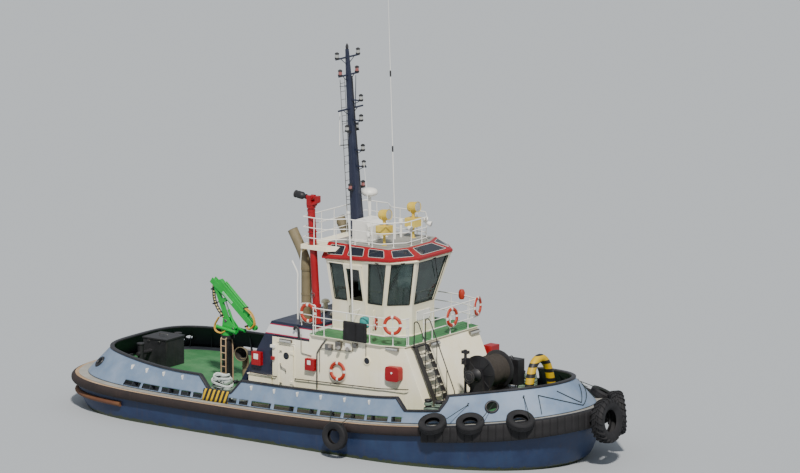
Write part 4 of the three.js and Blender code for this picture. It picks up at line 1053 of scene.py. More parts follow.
@dataclass
class HullShell:
    """The moulded hull with its shelf outside the bulwark, skeg and thruster pads."""

    columns: int = 360
    deck_drop: float = 0.03
    knuckle_drop: float = 0.72
    rings: tuple = (
        (5.85, 7.2, 4.12, 0.25, 0.25), (5.65, 6.95, 4.05, 0.0, 0.0), (5.05, 6.4, 3.85, -0.9, -0.7),
        (4.4, 5.7, 3.35, -1.7, -0.95), (3.6, 4.9, 2.3, -2.2, -1.08), (2.6, 4.0, 0.8, -2.4, -1.15),
    )

    def build(self, yard: Yard) -> None:
        """A smooth curve down through the rings at each s, closed along the centreline.

        Args:
            yard: Takes the pieces.
        """
        s = np.linspace(0, 6, self.columns, endpoint=False)
        edge = band(s, 0, -self.deck_drop)
        knuckle = band(s, 0, -self.knuckle_drop)
        lower = []
        for stern, bow, half, deep, aft in self.rings:
            x, y = plan_point(s, 0, Plan(stern, bow, half))
            lower.append(np.stack([x, y, aft + (deep - aft) * smooth(-6, -2.5, x)], -1))
        side = through(np.stack([knuckle, *lower]), np.linspace(0, len(lower), 43))
        wall = np.linspace(0, 1, 5)[1:-1, None, None] * (knuckle - edge) + edge
        shares = np.array([0, 0.5, 0.88, 0.97])
        top = edge * np.stack([np.ones(4), shares, np.ones(4)], -1)[:, None]
        bottom = side[-1] * np.stack([np.ones(3), shares[2::-1], np.ones(3)], -1)[:, None]
        shape = Shape()
        rows = np.concatenate([top, edge[None], wall, side, bottom])
        shelf = np.zeros((len(rows) - 1, self.columns), int)
        shelf[: len(top)] = 1
        shape.take(rows, [grid_faces(len(rows), self.columns, False)], shelf.ravel())
        skeg = [(-5.6, -1.0), (-4.9, -2.9), (-4.7, -2.95), (3.4, -2.95), (3.8, -2.86), (5.4, -2.0),
                (5.4, -1.6)]
        shape.slab("xz", skeg, -0.16, 0.16)
        for y in (-1.95, 1.95):
            shape.rod((-7.4, y, -0.6), (-7.4, y, -1.26), 0.5, sides=48)
        yard.stand_in("hull", shape, (Look.HULL, Look.SHELF), "hull_paint")


PORTS = np.array([
    (-8.0, -7.12), (-7.02, -6.15), (-6.03, -5.14), (-5.04, -4.6), (-4.5, -4.07), (-2.86, -2.47),
    (-2.36, -1.95), (-1.8, -0.9), (-0.76, 0.16), (0.3, 1.22), (1.34, 2.3), (2.42, 3.38),
    (3.48, 4.44), (4.58, 5.04),
])
DIPS = (
    {"low": (-3.8, -2.8), "high": (-4.4, -2.45), "rise": 0.38},
    {"low": (5.15, 6.55), "high": (4.7, 6.9), "rise": 0.43},
)
HAWSES = (
    {"at": (8.45, -2.85, 2.42), "way": (0.66, -0.7, 0.25), "radius": 0.2},
    {"at": (-9.75, -2.7, 1.72), "way": (-0.75, -0.6, 0.25), "radius": 0.17},
)


@dataclass
class Bulwark:
    """The plate round the deck, with freeing ports, dips, mooring holes, stays and cap."""

    foot: float = 0.3
    plate: float = 0.03
    port: tuple = (0.02, 0.2)
    cap: tuple = (0.085, 0.035)
    stay_pitch: float = 0.92
    lugs: tuple = (-8.03, -7.12, -6.14, -5.13, -1.93, -0.88, 0.18, 1.25, 2.33, 3.47)

    def top(self, x: Array) -> Array:
        """Height of the plate above the deck, down to each dip's level along straight slopes.

        Args:
            x: Distance forward of amidships.

        Returns:
            The heights.
        """
        full = wall_rise(x) - 0.03
        for dip in DIPS:
            (a, b), (c, d) = dip["high"], dip["low"]
            level = np.interp(x, [a, c, d, b], [9.0, dip["rise"], dip["rise"], 9.0])
            steep = np.interp(x, [a, c, d, b], [0.87, dip["rise"], dip["rise"], 0.87])
            full = np.where(level < 9.0, np.minimum(full, steep), full)
        return full

    def point(self, s: Array, height: Array, off: float = 0.0) -> Array:
        """A point of the outer face; off is the distance inboard of it."""
        x = plan_point(s)[0]
        return band(s, self.foot + off + lean(x) * height / wall_rise(x), height)

    def columns(self) -> Array:
        """Values of s with a line at each edge of a port, dip or mooring hole.

        Returns:
            The values, in order.
        """
        edges = [PORTS.ravel(), *[np.array(dip["low"] + dip["high"]) for dip in DIPS]]
        edges += [np.linspace(8.05, 8.85, 24), np.linspace(-10.1, -9.35, 22)]
        fixed = s_at(np.unique(np.concatenate(edges)))
        even = even_steps(0, 3, 0.09)[0]
        apart = np.abs(even[:, None] - fixed[None]).min(1) > 0.003
        apart[[0, -1]] = True
        return np.sort(np.concatenate([even[apart], fixed]))

    def build_plate(self, shape: Shape) -> None:
        """A grid of s and height whose rows follow the ports below and the top edge above.

        Args:
            shape: Takes the surfaces.
        """
        s = self.columns()
        x = plan_point(s)[0]
        top = self.top(x)
        low = np.array([0.0, *self.port])[:, None] * np.ones_like(x)
        high = self.port[1] + np.linspace(0, 1, 19)[1:, None] * (top - self.port[1])
        rise = np.concatenate([low, high])
        rows = self.point(np.broadcast_to(s, rise.shape), rise)
        centre = (rows[:-1, :-1] + rows[1:, 1:]) / 2
        kept = np.ones(centre.shape[:2], bool)
        middle = (x[:-1] + x[1:]) / 2
        kept[1] = ~((middle[None] > PORTS[:, :1]) & (middle[None] < PORTS[:, 1:])).any(0)
        for hawse in HAWSES:
            off = centre - np.array(hawse["at"])
            way = unit(hawse["way"])
            away = np.linalg.norm(off - (off @ way)[..., None] * way, axis=-1)
            kept &= away > hawse["radius"]
        shape.sheet(rows, (0, 0, 1.5), 0, kept)
        shape.sheet(rows * MIRROR, (0, 0, 1.5), 0, kept)

    def build_cap(self, shape: Shape) -> None:
        """A rounded bar along the top edge, down and up through the dips.

        Args:
            shape: Takes the surfaces.
        """
        s = self.columns()
        x = plan_point(s)[0]
        path = self.point(s, self.top(x), 0.015)
        whole = np.concatenate([path, path[-2:0:-1] * MIRROR])
        shape.tube(whole, self.cap, 14, 0, True, (0, 0, 1), 0.55)

    def spot_on_wall(self, at: tuple, way: tuple) -> tuple:
        """Where a line through the wall crosses its outer face, and the face's normal there.

        Args:
            at: A point of the line.
            way: The line's direction, outwards.

        Returns:
            The crossing, by the least distance over a fine grid, and the unit normal.
        """
        s = s_at(at[0] + np.linspace(-0.5, 0.5, 161))[:, None]
        height = np.linspace(0.1, 0.9, 121)[None]
        rows = self.point(s + 0 * height, height + 0 * s)
        off = rows - np.array(at)
        line = unit(way)
        away = np.linalg.norm(off - (off @ line)[..., None] * line, axis=-1)
        i, j = np.unravel_index(away.argmin(), away.shape)
        i, j = np.clip([i, j], 1, np.array(away.shape) - 2)
        normal = unit(np.cross(rows[i + 1, j] - rows[i - 1, j], rows[i, j + 1] - rows[i, j - 1]))
        return rows[i, j], normal * np.sign(normal @ line)

    def build_rings(self, shape: Shape) -> None:
        """A rounded lip round each mooring hole: a circle turned round a larger one.

        Args:
            shape: Takes the surfaces.
        """
        angle = around(14)
        for hawse in HAWSES:
            radius = hawse["radius"] + 0.02
            profile = np.stack([radius + 0.05 * np.cos(angle), 0.06 * np.sin(angle)], -1)
            at, way = self.spot_on_wall(hawse["at"], hawse["way"])
            for side in BOTH_SIDES:
                shape.lathe(profile, at * side, way * side, 40, 0, True)

    def build_shade_strip(self, yard: Yard) -> None:
        """A dark strip of painted shade on the deck along the foot of the plate, where the plate shades the
        deck.

        Args:
            yard: Takes the pieces.
        """
        s = even_steps(0.02, 2.98, 0.12)[0]
        rows = band(s[None], np.linspace(self.foot + 0.03, self.foot + 0.62, 5)[:, None], 0.006)
        strip = Shape()
        for side in BOTH_SIDES:
            strip.sheet(rows * side, (0, 0, -50))
        # The strip takes the dark inside look: painted shade, so the deck seen through the freeing ports
        # shows dark.
        made = yard.piece("painted_shade_strip", strip, (Look.INSIDE,), "bulwark_paint")
        skin = made.modifiers.new("film", "SOLIDIFY")
        skin.thickness, skin.offset = 0.004, -1

    def build_stays(self, shape: Shape) -> None:
        """Three-cornered brackets inside the plate, one by one along it.

        Args:
            shape: Takes the surfaces.
        """
        for s in even_steps(0.12, 2.93, self.stay_pitch)[0]:
            x = float(plan_point(s)[0])
            high = float(self.top(np.array(x))) * 0.86
            step = 0.0015
            ends = np.stack([self.point(np.array(s + k), np.array([0.01, high, 0.01]), off)
                             for k, off in ((-step, 0.032), (step, 0.032))])
            toe = [band(np.array(s + k), self.foot + 0.3, 0.01) for k in (-step, step)]
            ends[:, 2] = toe
            shape.skin(ends)
            shape.skin(ends * MIRROR)

    def build_lugs(self, shape: Shape) -> None:
        """Three-cornered hooks welded near the top of the outer face.

        Args:
            shape: Takes the surfaces.
        """
        profile = ((0.55, 0.01), (0.56, -0.012), (0.69, -0.09), (0.72, -0.088), (0.72, 0.01))
        for x in self.lugs:
            s = s_at(np.array([x - 0.028, x + 0.028]))
            faces = [self.point(s, np.full(2, h), off) for h, off in profile]
            shape.skin(np.stack(faces, 1))
            shape.skin(np.stack(faces, 1) * MIRROR)

    def build(self, yard: Yard) -> None:
        """The plate, its cap and fittings, and the striped panel that slopes up to the aft dip.

        Args:
            yard: Takes the pieces.
        """
        wall = Shape()
        self.build_plate(wall)
        nodes = ("bulwark_stern", "bulwark_mid_starboard", "bulwark_mid_port", "bulwark_bow")
        made = yard.piece("bulwark_plate", wall, (Look.BULWARK, Look.INSIDE), "bulwark_paint",
                          stands_for=nodes)
        skin = made.modifiers.new("plate", "SOLIDIFY")
        # The inner face takes the dark inside look, painted shade on the shaded inside of the plate.
        skin.thickness, skin.offset, skin.material_offset = self.plate, -1, 1
        rail = Shape()
        self.build_cap(rail)
        self.build_rings(rail)
        yard.piece("bulwark_cap", rail, (Look.CAP,), "black_paint")
        stays = Shape()
        self.build_stays(stays)
        # The stays take the dark inside look too, as painted shade.
        yard.piece("bulwark_stays", stays, (Look.INSIDE,), "bulwark_paint")
        lugs = Shape()
        self.build_lugs(lugs)
        yard.piece("bulwark_lugs", lugs, (Look.WHITE,), "white_paint", bevel=0.004)
        self.build_shade_strip(yard)
        panel = Shape()
        s = s_at(np.linspace(-4.02, -2.84, 25))
        rises = ((-0.03, -0.004), (0.1, -0.03), (0.22, -0.054), (0.34, -0.078), (0.41, -0.078))
        for side in BOTH_SIDES:
            rows = np.stack([self.point(s, np.full(25, h), off) for h, off in rises])
            panel.sheet(rows * side, (-3.4, 0, 1.4))
        striped = yard.piece("hazard_panel", panel, (Look.HAZARD,), "black_paint")
        skin = striped.modifiers.new("film", "SOLIDIFY")
        skin.thickness, skin.offset = 0.003, -1


@dataclass
class Fenders:
    """Rubbing strake, lower stern strake and ribbed bow fender."""

    meet: float = 2.24
    rib_pitch: float = 0.27
    groove: tuple = (0.028, 0.022)

    def build_strake(self, yard: Yard) -> None:
        """A rounded section carried along the sides and stern.

        Args:
            yard: Takes the pieces.
        """
        angle = np.linspace(-np.pi / 2, np.pi / 2, 13)
        bulge = np.abs(np.cos(angle)) ** 0.55
        inset = np.concatenate([[0.06, 0.0], -0.25 * bulge, [0.0, 0.06]])
        rise = np.concatenate([[-0.04, -0.04], -0.22 - 0.18 * np.sin(angle), [-0.4, -0.4]])
        s = even_steps(-self.meet + 0.002, self.meet - 0.002, 0.08)[0]
        looks = np.where((rise + np.roll(rise, -1)) / 2 > -0.05, 1, 0)
        shape = Shape()
        shape.skin(band(s[:, None], inset[None], rise[None]), looks[None])
        yard.stand_in("rubbing_strake", shape, (Look.STRAKE, Look.EDGE), "strake_paint")
        pipe = Shape()
        s = even_steps(-0.86, 0.86, 0.07)[0]
        x, y = plan_point(s, -0.03)
        pipe.tube(np.stack([x, y, np.full_like(x, 0.62)], -1), (0.12, 0.095), 20, up=(0, 0, 1))
        yard.piece("lower_strake_finished", pipe, (Look.ORANGE,), "strake_paint",
                   stands_for=("lower_stern_strake",))

    def build_bow(self, yard: Yard) -> None:
        """A tall block section with a groove every rib pitch: depth falls off as a bell curve.

        Args:
            yard: Takes the pieces.
        """
        s, run = even_steps(self.meet + 0.002, 6 - self.meet - 0.002, 0.03)
        depth, width = self.groove
        off = (run + self.rib_pitch / 2) % self.rib_pitch - self.rib_pitch / 2
        dent = depth * np.exp(-((off / width) ** 2))
        x = plan_point(s)[0]
        foot = -0.6 - 0.1 * smooth(6, 10, x)
        inset = np.array([0.1, -0.26, -0.31, -0.33, -0.33, -0.33, -0.33, -0.33, -0.31, -0.27, 0.1])
        share = np.array([0, 0, 0.03, 0.09, 0.3, 0.5, 0.7, 0.91, 0.97, 1, 1])
        dented = (inset < -0.2) * 1.0
        rise = -0.04 + share[None] * (foot[:, None] + 0.04)
        shape = Shape()
        shape.skin(band(s[:, None], inset[None] + dent[:, None] * dented[None], rise))
        yard.stand_in("bow_fender", shape, (Look.RUBBER,), "fender_rubber")

    def build(self, yard: Yard) -> None:
        """All fenders."""
        self.build_strake(yard)
        self.build_bow(yard)


@dataclass
class Tyre:
    """A used tyre lying round an axis, with tractor lugs if it is a big one."""

    at: Row
    axis: Row
    radius: float = 0.52
    width: float = 0.3
    lugs: int = 0

    def casing(self) -> list:
        """The tyre's section: tread with three grooves, sidewalls, beads and the hollow inside.

        Returns:
            Radius and place along the axis of each point.
        """
        half = self.width / 2
        rows = [
            (0.52, -0.6), (0.56, -0.72), (0.7, -0.96), (0.82, -1.0), (0.93, -0.9), (0.985, -0.66),
            (1.0, -0.56),
            (1.0, -0.4), (0.965, -0.38), (0.965, -0.32), (1.0, -0.3), (1.0, -0.04), (0.965, -0.03),
            (0.965, 0.03), (1.0, 0.04), (1.0, 0.3), (0.965, 0.32), (0.965, 0.38), (1.0, 0.4), (1.0, 0.56),
            (0.985, 0.66), (0.93, 0.9), (0.82, 1.0), (0.7, 0.96), (0.56, 0.72), (0.52, 0.6), (0.54, 0.5),
            (0.78, 0.7), (0.88, 0.3), (0.88, -0.3), (0.78, -0.7), (0.54, -0.5),
        ]
        return [(radius * self.radius, along * half) for radius, along in rows]

    def add_lugs(self, shape: Shape) -> None:
        """Slanting bars in two rows: each runs from the middle to the shoulder as the angle grows.

        Args:
            shape: Takes the surfaces.
        """
        way = unit(self.axis)
        side = unit(np.cross([0.0, 0, 1], way))
        over = np.cross(way, side)
        t = np.linspace(0, 1, 5)
        for hand in (-1, 1):
            for k in range(self.lugs):
                start = 2 * np.pi * (k + 0.25 * hand) / self.lugs
                angle = start + 0.2 * t
                along = hand * (0.01 + t * self.width * 0.49)
                drop = self.radius * 0.07 * smooth(0.6, 1.0, t)
                corners = []
                for spread, high in ((-0.045, -0.06), (0.045, -0.06), (0.035, 0.035), (-0.035, 0.035)):
                    turn = angle + spread
                    spoke = np.cos(turn)[:, None] * side + np.sin(turn)[:, None] * over
                    reach = (self.radius + high - drop)[:, None]
                    corners.append(np.array(self.at) + spoke * reach + along[:, None] * way)
                shape.skin(np.stack(corners, 1))

    def build(self, shape: Shape) -> None:
        """Adds the tyre to a shape.

        Args:
            shape: Takes the surfaces.
        """
        shape.lathe(self.casing(), self.at, self.axis, 56, 0, True)
        if self.lugs:
            self.add_lugs(shape)


@dataclass
class TyreSet:
    """The tyres hung at the bow and on the sides, with their ropes.

    Each bow tyre has the place and axis of its middle. Its rope's eye lies ahead of it by the first
    number of ropes, at the height of the second. A row of lines is one rope laid over the plate:
    where it starts, its height there, where it ends and its height there.
    """

    bow: tuple = (
        ((6.55, -3.99, 1.74), (0.1, -0.42, 0.9)), ((7.87, -3.5, 1.84), (0.2, -0.38, 0.9)),
        ((9.48, -2.65, 2.0), (0.35, -0.28, 0.9)),
    )
    ropes: tuple = ((1.17, 0.61), (0.85, 0.64), (0.25, 0.72))
    lines: tuple = ((10.15, 0.72, 10.05, 0.08), (10.15, 0.72, 10.8, 0.1), (10.6, 0.76, 11.0, 0.2))
    big: tuple = (((11.3, 0.2, 1.72), (1, 0.05, 0.1)), ((10.3, 2.28, 1.5), (0.72, 0.7, 0.05)))
    side: tuple = (2.6, -4.5693, 0.86)

    def hang(self, shape: Shape, start: Array, end: Array) -> None:
        """A taut rope from an eye down to a tyre, with the eye's ring.

        Args:
            shape: Takes the surfaces.
            start: The eye.
            end: Where the rope meets the tyre.
        """
        shape.tube(np.linspace(start, end, 3), 0.014, 8)
        shape.lathe([(0.05 + 0.012 * np.cos(a), 0.012 * np.sin(a)) for a in np.arange(0, 6.2, 0.785)],
                    start, (1, 0, 0.2), 20, 0, True)

    def build(self, yard: Yard) -> None:
        """Bow tyres as one piece, each side tyre as another, and all ropes as one.

        Args:
            yard: Takes the pieces.
        """
        shape, ropes = Shape(), Shape()
        wall = Bulwark()
        for (at, axis), (ahead, rise) in zip(self.bow, self.ropes):
            Tyre(at, axis).build(shape)
            Tyre(np.array(at) * MIRROR, np.array(axis) * MIRROR).build(shape)
            s = float(s_at(np.array(at[0] + ahead)))
            eye = wall.point(np.array(s), np.array(rise), -0.02)
            foot = np.array(at) + np.array([0.3 + 0.1 * ahead, 0.12, 0.16])
            self.hang(ropes, eye, foot)
            self.hang(ropes, eye * MIRROR, foot * MIRROR)
        for at, axis in self.big:
            Tyre(at, axis, 0.78, 0.5, 22).build(shape)
        t = np.linspace(0, 1, 13)
        for x0, rise0, x1, rise1 in self.lines:
            s0, s1 = s_at(np.array([x0, x1]))
            line = wall.point(s0 + (s1 - s0) * t, rise0 + (rise1 - rise0) * t, -0.03)
            for side in BOTH_SIDES:
                ropes.tube(line * side, 0.014, 8)
        yard.piece("bow_tyres", shape, (Look.TYRE,), "tyre_rubber")
        for name, side in (("side_tyre_starboard", 1), ("side_tyre_port", -1)):
            one = Shape()
            x, y, z = self.side
            Tyre((x, y * side, z), (0, -side, 0.06), 0.52, 0.29).build(one)
            yard.stand_in(name, one, (Look.TYRE,), "tyre_rubber")
            for dx in (-0.3, 0.3):
                eye = np.array([x + dx * 1.6, (y + 0.42) * side, 1.62])
                self.hang(ropes, eye, np.array([x + dx * 0.75, (y - 0.02) * side, z + 0.46]))
        yard.piece("tyre_ropes", ropes, (Look.ROPE_DARK,), "white_plastic")


# Houses


@dataclass(frozen=True)
class LifeRing:
    """A moulded life ring with four white bands and a grab line."""

    at: tuple
    facing: tuple
    radius: float = 0.3

    def build(self, shape: Shape) -> None:
        """A flattened ring turned round its own circle; bands lie at every quarter turn.

        Args:
            shape: Takes the surfaces.
        """
        way = unit(self.facing)
        side = unit(np.cross([0.0, 0, 1], way))
        angle = around(64)[:, None]
        spoke = np.cos(angle) * side + np.sin(angle) * np.cross(way, side)
        path = np.array(self.at) + self.radius * spoke
        bands = ((angle + 0.12) % (np.pi / 2) < 0.24).astype(int)
        shape.tube(path, (0.065, 0.045), 16, bands, True)
        line = np.array(self.at) + spoke * (self.radius + 0.075 + 0.02 * np.abs(np.sin(2 * angle)))
        shape.tube(line, 0.008, 8, 1, True)


@dataclass
class RingSet:
    """The life rings hung on the rails and on the house side."""

    rings: tuple = (
        LifeRing((3.66, -2.47, 4.74), (0.35, -1, 0.1)), LifeRing((1.24, -2.57, 2.74), (0, -1, 0.05)),
        LifeRing((4.13, 0.6, 4.58), (1, 0, 0.05)), LifeRing((4.14, 2.2, 4.72), (1, 0.25, 0)),
        LifeRing((-0.2, -2.43, 4.72), (0, -1, 0)), LifeRing((2.88, -2.44, 4.72), (0.9, 0.43, 0), 0.2),
    )
    rail: tuple = ((-0.58, -2.31, 4.2), (-0.58, -2.31, 5.02), (0.06, -2.33, 5.02), (0.06, -2.33, 3.97))
    rail_bar: tuple = ((-0.58, -2.31, 4.62), (0.06, -2.33, 4.62))

    def build(self, yard: Yard) -> None:
        """All rings as one piece, and the small rail that holds the aft one.

        Args:
            yard: Takes the pieces.
        """
        shape = Shape()
        for ring in self.rings:
            ring.build(shape)
        yard.piece("life_rings", shape, (Look.RING, Look.RING_BAND), "white_plastic")
        rail = Shape()
        rail.tube(rounded(self.rail, 0.06), 0.022, 12)
        rail.bar(*self.rail_bar, 0.016, 10)
        yard.piece("ring_rail", rail, (Look.WHITE,), "white_paint")


@dataclass(frozen=True)
class Box:
    """A small box on a wall: middle, size along, out and up, and its finish number."""

    at: tuple
    size: tuple
    finish: int = 0

    def build(self, shape: Shape) -> None:
        """A box about its middle."""
        ends = [(a - b / 2, a + b / 2) for a, b in zip(self.at, self.size)]
        shape.block(*ends, self.finish)


@dataclass
class Deckhouse:
    """The cream house with its doors, boxes, lamps, handrails and pipes."""

    side: float = 2.5
    door: tuple = (-1.47, -0.83, 1.76, 3.38)
    boxes: tuple = (
        Box((-2.55, -2.41, 2.72), (0.42, 0.2, 0.5), 0), Box((0.02, -2.58, 2.84), (0.42, 0.16, 0.44), 0),
        Box((-2.55, -2.515, 2.8), (0.2, 0.012, 0.2), 1), Box((0.0, -2.665, 2.92), (0.15, 0.012, 0.16), 1),
        Box((-1.74, -2.54, 2.85), (0.14, 0.08, 0.12), 0), Box((-1.74, -2.54, 3.3), (0.2, 0.08, 0.1), 1),
        Box((1.72, -2.56, 3.72), (0.2, 0.12, 0.24), 1), Box((0.86, -2.57, 3.6), (0.3, 0.14, 0.22), 2),
        Box((1.3, -2.57, 3.76), (0.24, 0.14, 0.2), 2), Box((2.05, -2.56, 3.8), (0.16, 0.12, 0.16), 2),
    )
    lamps: tuple = (((3.62, -2.46, 3.84), 0), ((4.2, -0.55, 3.79), 1), ((4.2, 1.95, 3.79), 1),
                    ((-1.15, -2.55, 3.55), 0))
    lockers: tuple = (
        ((4.2, 4.6), (2.45, 2.95), (2.72, 3.22), 0), ((-2.9, -1.84), (-2.5, -2.0), (1.25, 2.1), 3),
        ((-2.94, -1.8), (-2.54, -1.98), (2.1, 2.14), 3),
    )
    handrails: tuple = (((-2.8, 2.2), (-1.6, 2.17)), ((-0.72, 2.2), (3.2, 2.34), (4.3, 2.42)))
    gooseneck: tuple = ((-0.62, -2.44, 3.55), (-0.62, -2.44, 3.95), (-0.66, -2.44, 4.1), (-0.78, -2.44, 4.12),
                        (-0.84, -2.44, 4.02))
    pipes: tuple = (
        (((0.28, -2.54, 2.0), (0.28, -2.54, 3.3), (0.5, -2.54, 3.62), (0.7, -2.54, 3.86)), 0.028),
        (((0.4, -2.54, 2.6), (0.4, -2.54, 3.5), (1.9, -2.54, 3.55), (1.9, -2.54, 3.9)), 0.014),
        (((-0.45, -2.53, 3.9), (-0.45, -2.53, 3.2), (0.02, -2.53, 3.15)), 0.014),
        (((2.5, -2.53, 3.9), (2.5, -2.53, 3.45)), 0.014),
    )
    vents: tuple = (0.95, 1.35, 1.75)
    port_light: tuple = (2.53, 3.28)

    def wall_marks(self, spots: Array, ways: Array) -> Array:
        """The low aft roof is dark, all else cream."""
        return ((ways[:, 2] > 0.9) & (spots[:, 2] < 3.7) & (spots[:, 2] > 2)).astype(int)

    def build_door(self, yard: Yard, hand: int) -> None:
        """Handle, dogs and a round light on one leaf, and the raised frame round it.

        Args:
            yard: Takes the pieces.
            hand: Minus one to starboard, one to port.
        """
        aft, fore, low, high = self.door
        name = "starboard" if hand < 0 else "port"
        leaf = Shape()
        y = hand * self.side
        leaf.lathe([(0, 0), (0.12, 0), (0.13, 0.012), (0.1, 0.02), (0.095, 0.012), (0, 0.012)],
                   (-1.15, y, 3.0), (0, hand, 0), 32, 1)
        leaf.lathe(flat_ring(0, 0.03, 0, 0.05), (aft + 0.1, y, 2.55), (0, hand, 0), 16)
        grip = y + hand * 0.05
        bar = [(aft + 0.07, grip, 2.7), (aft + 0.11, grip, 2.56), (aft + 0.3, grip, 2.5),
               (aft + 0.34, grip, 2.4)]
        leaf.tube(rounded(bar, 0.03), 0.016, 12)
        for height in (1.95, 3.15):
            leaf.rod((aft + 0.07, y, height), (aft + 0.07, y + hand * 0.03, height), 0.025)
            leaf.block((aft + 0.02, aft + 0.14), tuple(sorted((y + hand * 0.03, y + hand * 0.045))),
                       (height - 0.012, height + 0.012))
        yard.piece(f"deckhouse_door_{name}_fittings", leaf, (Look.STEEL, Look.SKY), "house_paint",
                   body=f"deckhouse_door_{name}")
        rim = Shape()
        path = [(aft - 0.04, 0, low - 0.04), (fore + 0.06, 0, low - 0.04), (fore + 0.06, 0, high + 0.05),
                (aft - 0.04, 0, high + 0.05)]
        loop = rounded(path, 0.07, loop=True) + np.array([0, y, 0])
        rim.tube(loop, (0.02, 0.016), 12, 0, True)
        rain = [(aft - 0.12, y, high + 0.1), (aft + 0.3, y + hand * 0.09, high + 0.16),
                (fore + 0.12, y, high + 0.1)]
        rim.tube(curve(rain), 0.012, 8)
        yard.piece(f"door_rim_{name}", rim, (Look.CREAM,), "house_paint")

    def build_lamps(self, yard: Yard) -> None:
        """Tube lamps: a rounded pale cover on a back plate, along the wall or across it.

        Args:
            yard: Takes the pieces.
        """
        shape = Shape()
        for (x, y, z), across in self.lamps:
            run = np.array([0, 0.26, 0]) if across else np.array([0.26, 0, 0])
            middle = np.array([x, y, z])
            shape.bar(middle - run, middle + run, (0.06, 0.045), 18, 1, up=(0, 0, 1), square=0.7)
            back = middle + (np.array([-0.05, 0, 0.02]) if across else np.array([0, 0.03, 0.02]))
            shape.bar(back - run * 1.08, back + run * 1.08, (0.05, 0.06), 12, 0, up=(0, 0, 1), square=0.4)
        yard.piece("tube_lamps", shape, (Look.STEEL, Look.LAMP_CLEAR), "white_plastic")

    def build_side(self, yard: Yard) -> None:
        """Boxes, lockers, port lights, handrails, pipes and the gooseneck vent.

        Args:
            yard: Takes the pieces.
        """
        shape = Shape()
        for box in self.boxes:
            box.build(shape)
        corner = rounded([(3.42, 2.68, 0), (4.02, 2.68, 0), (4.02, 3.22, 0), (3.42, 3.22, 0)], 0.12,
                         loop=True)
        shape.slab("xz", corner[:, :2], -2.62, -2.32)
        for locker in self.lockers:
            shape.block(*locker)
        shape.lathe(flat_ring(0, 0.04, 0, 0.01), (3.72, -2.62, 3.0), (0, -1, 0), 20, 1)
        yard.piece("house_boxes", shape, (Look.RED, Look.WHITE, Look.STEEL, Look.CREAM), "roof_paint",
                   bevel=0.012)
        bars = Shape()
        for hand in (-1, 1):
            for run in self.handrails:
                path = [(x, hand * (self.side + 0.07 - 0.16 * float(smooth(3.2, 4.3, x))), z) for x,
                        z in run]
                path = [(path[0][0], hand * 2.49, path[0][2]), *path,
                        (path[-1][0], hand * 2.4, path[-1][2])]
                bars.tube(rounded(path, 0.03), 0.018, 12)
            for x in (-0.1, 0.9, 1.9, 2.9):
                bars.rod((x, hand * 2.5, 2.22 + 0.036 * x), (x, hand * 2.57, 2.22 + 0.036 * x), 0.012)
        bars.hollow(curve(self.gooseneck), 0.045, 0.008, 6)
        yard.piece("house_handrails", bars, (Look.BLACK,), "black_paint")
        pipes = Shape()
        for path, radius in self.pipes:
            pipes.tube(rounded(path, 0.08), radius, 12)
        for x in self.vents:
            pipes.lathe([(0, -0.05), (0.06, -0.05), (0.06, 0.05), (0.03, 0.08), (0.03, 0.14), (0.07, 0.14),
                         (0.07, 0.16), (0, 0.16)], (x, -2.6, 3.62), (0.3, -0.7, 0.3), 20)
        yard.piece("house_pipes", pipes, (Look.STEEL,), "house_paint")
        light = Shape()
        ahead, high = self.port_light
        for hand in (-1, 1):
            light.lathe([(0, 0), (0.17, 0), (0.17, 0.02), (0.13, 0.03), (0.12, 0.012), (0, 0.012)],
                        (ahead, hand * self.side, high), (0, hand, 0), 40)
            light.lathe(flat_ring(0, 0.118, 0.0, 0.02),
                        (ahead, hand * self.side, high), (0, hand, 0), 32, 1)
        yard.piece("port_lights", light, (Look.CREAM, Look.SKY), "house_paint")

    def build(self, yard: Yard) -> None:
        """The house, its doors and everything fixed to its side.

        Args:
            yard: Takes the pieces.
        """
        yard.refined("deckhouse", (Look.CREAM, Look.INSIDE), "house_paint", 0.02, self.wall_marks)
        for name in ("starboard", "port"):
            yard.refined(f"deckhouse_door_{name}", (Look.CREAM,), "house_paint", 0.004)
        self.build_door(yard, -1)
        self.build_door(yard, 1)
        self.build_lamps(yard)
        self.build_side(yard)


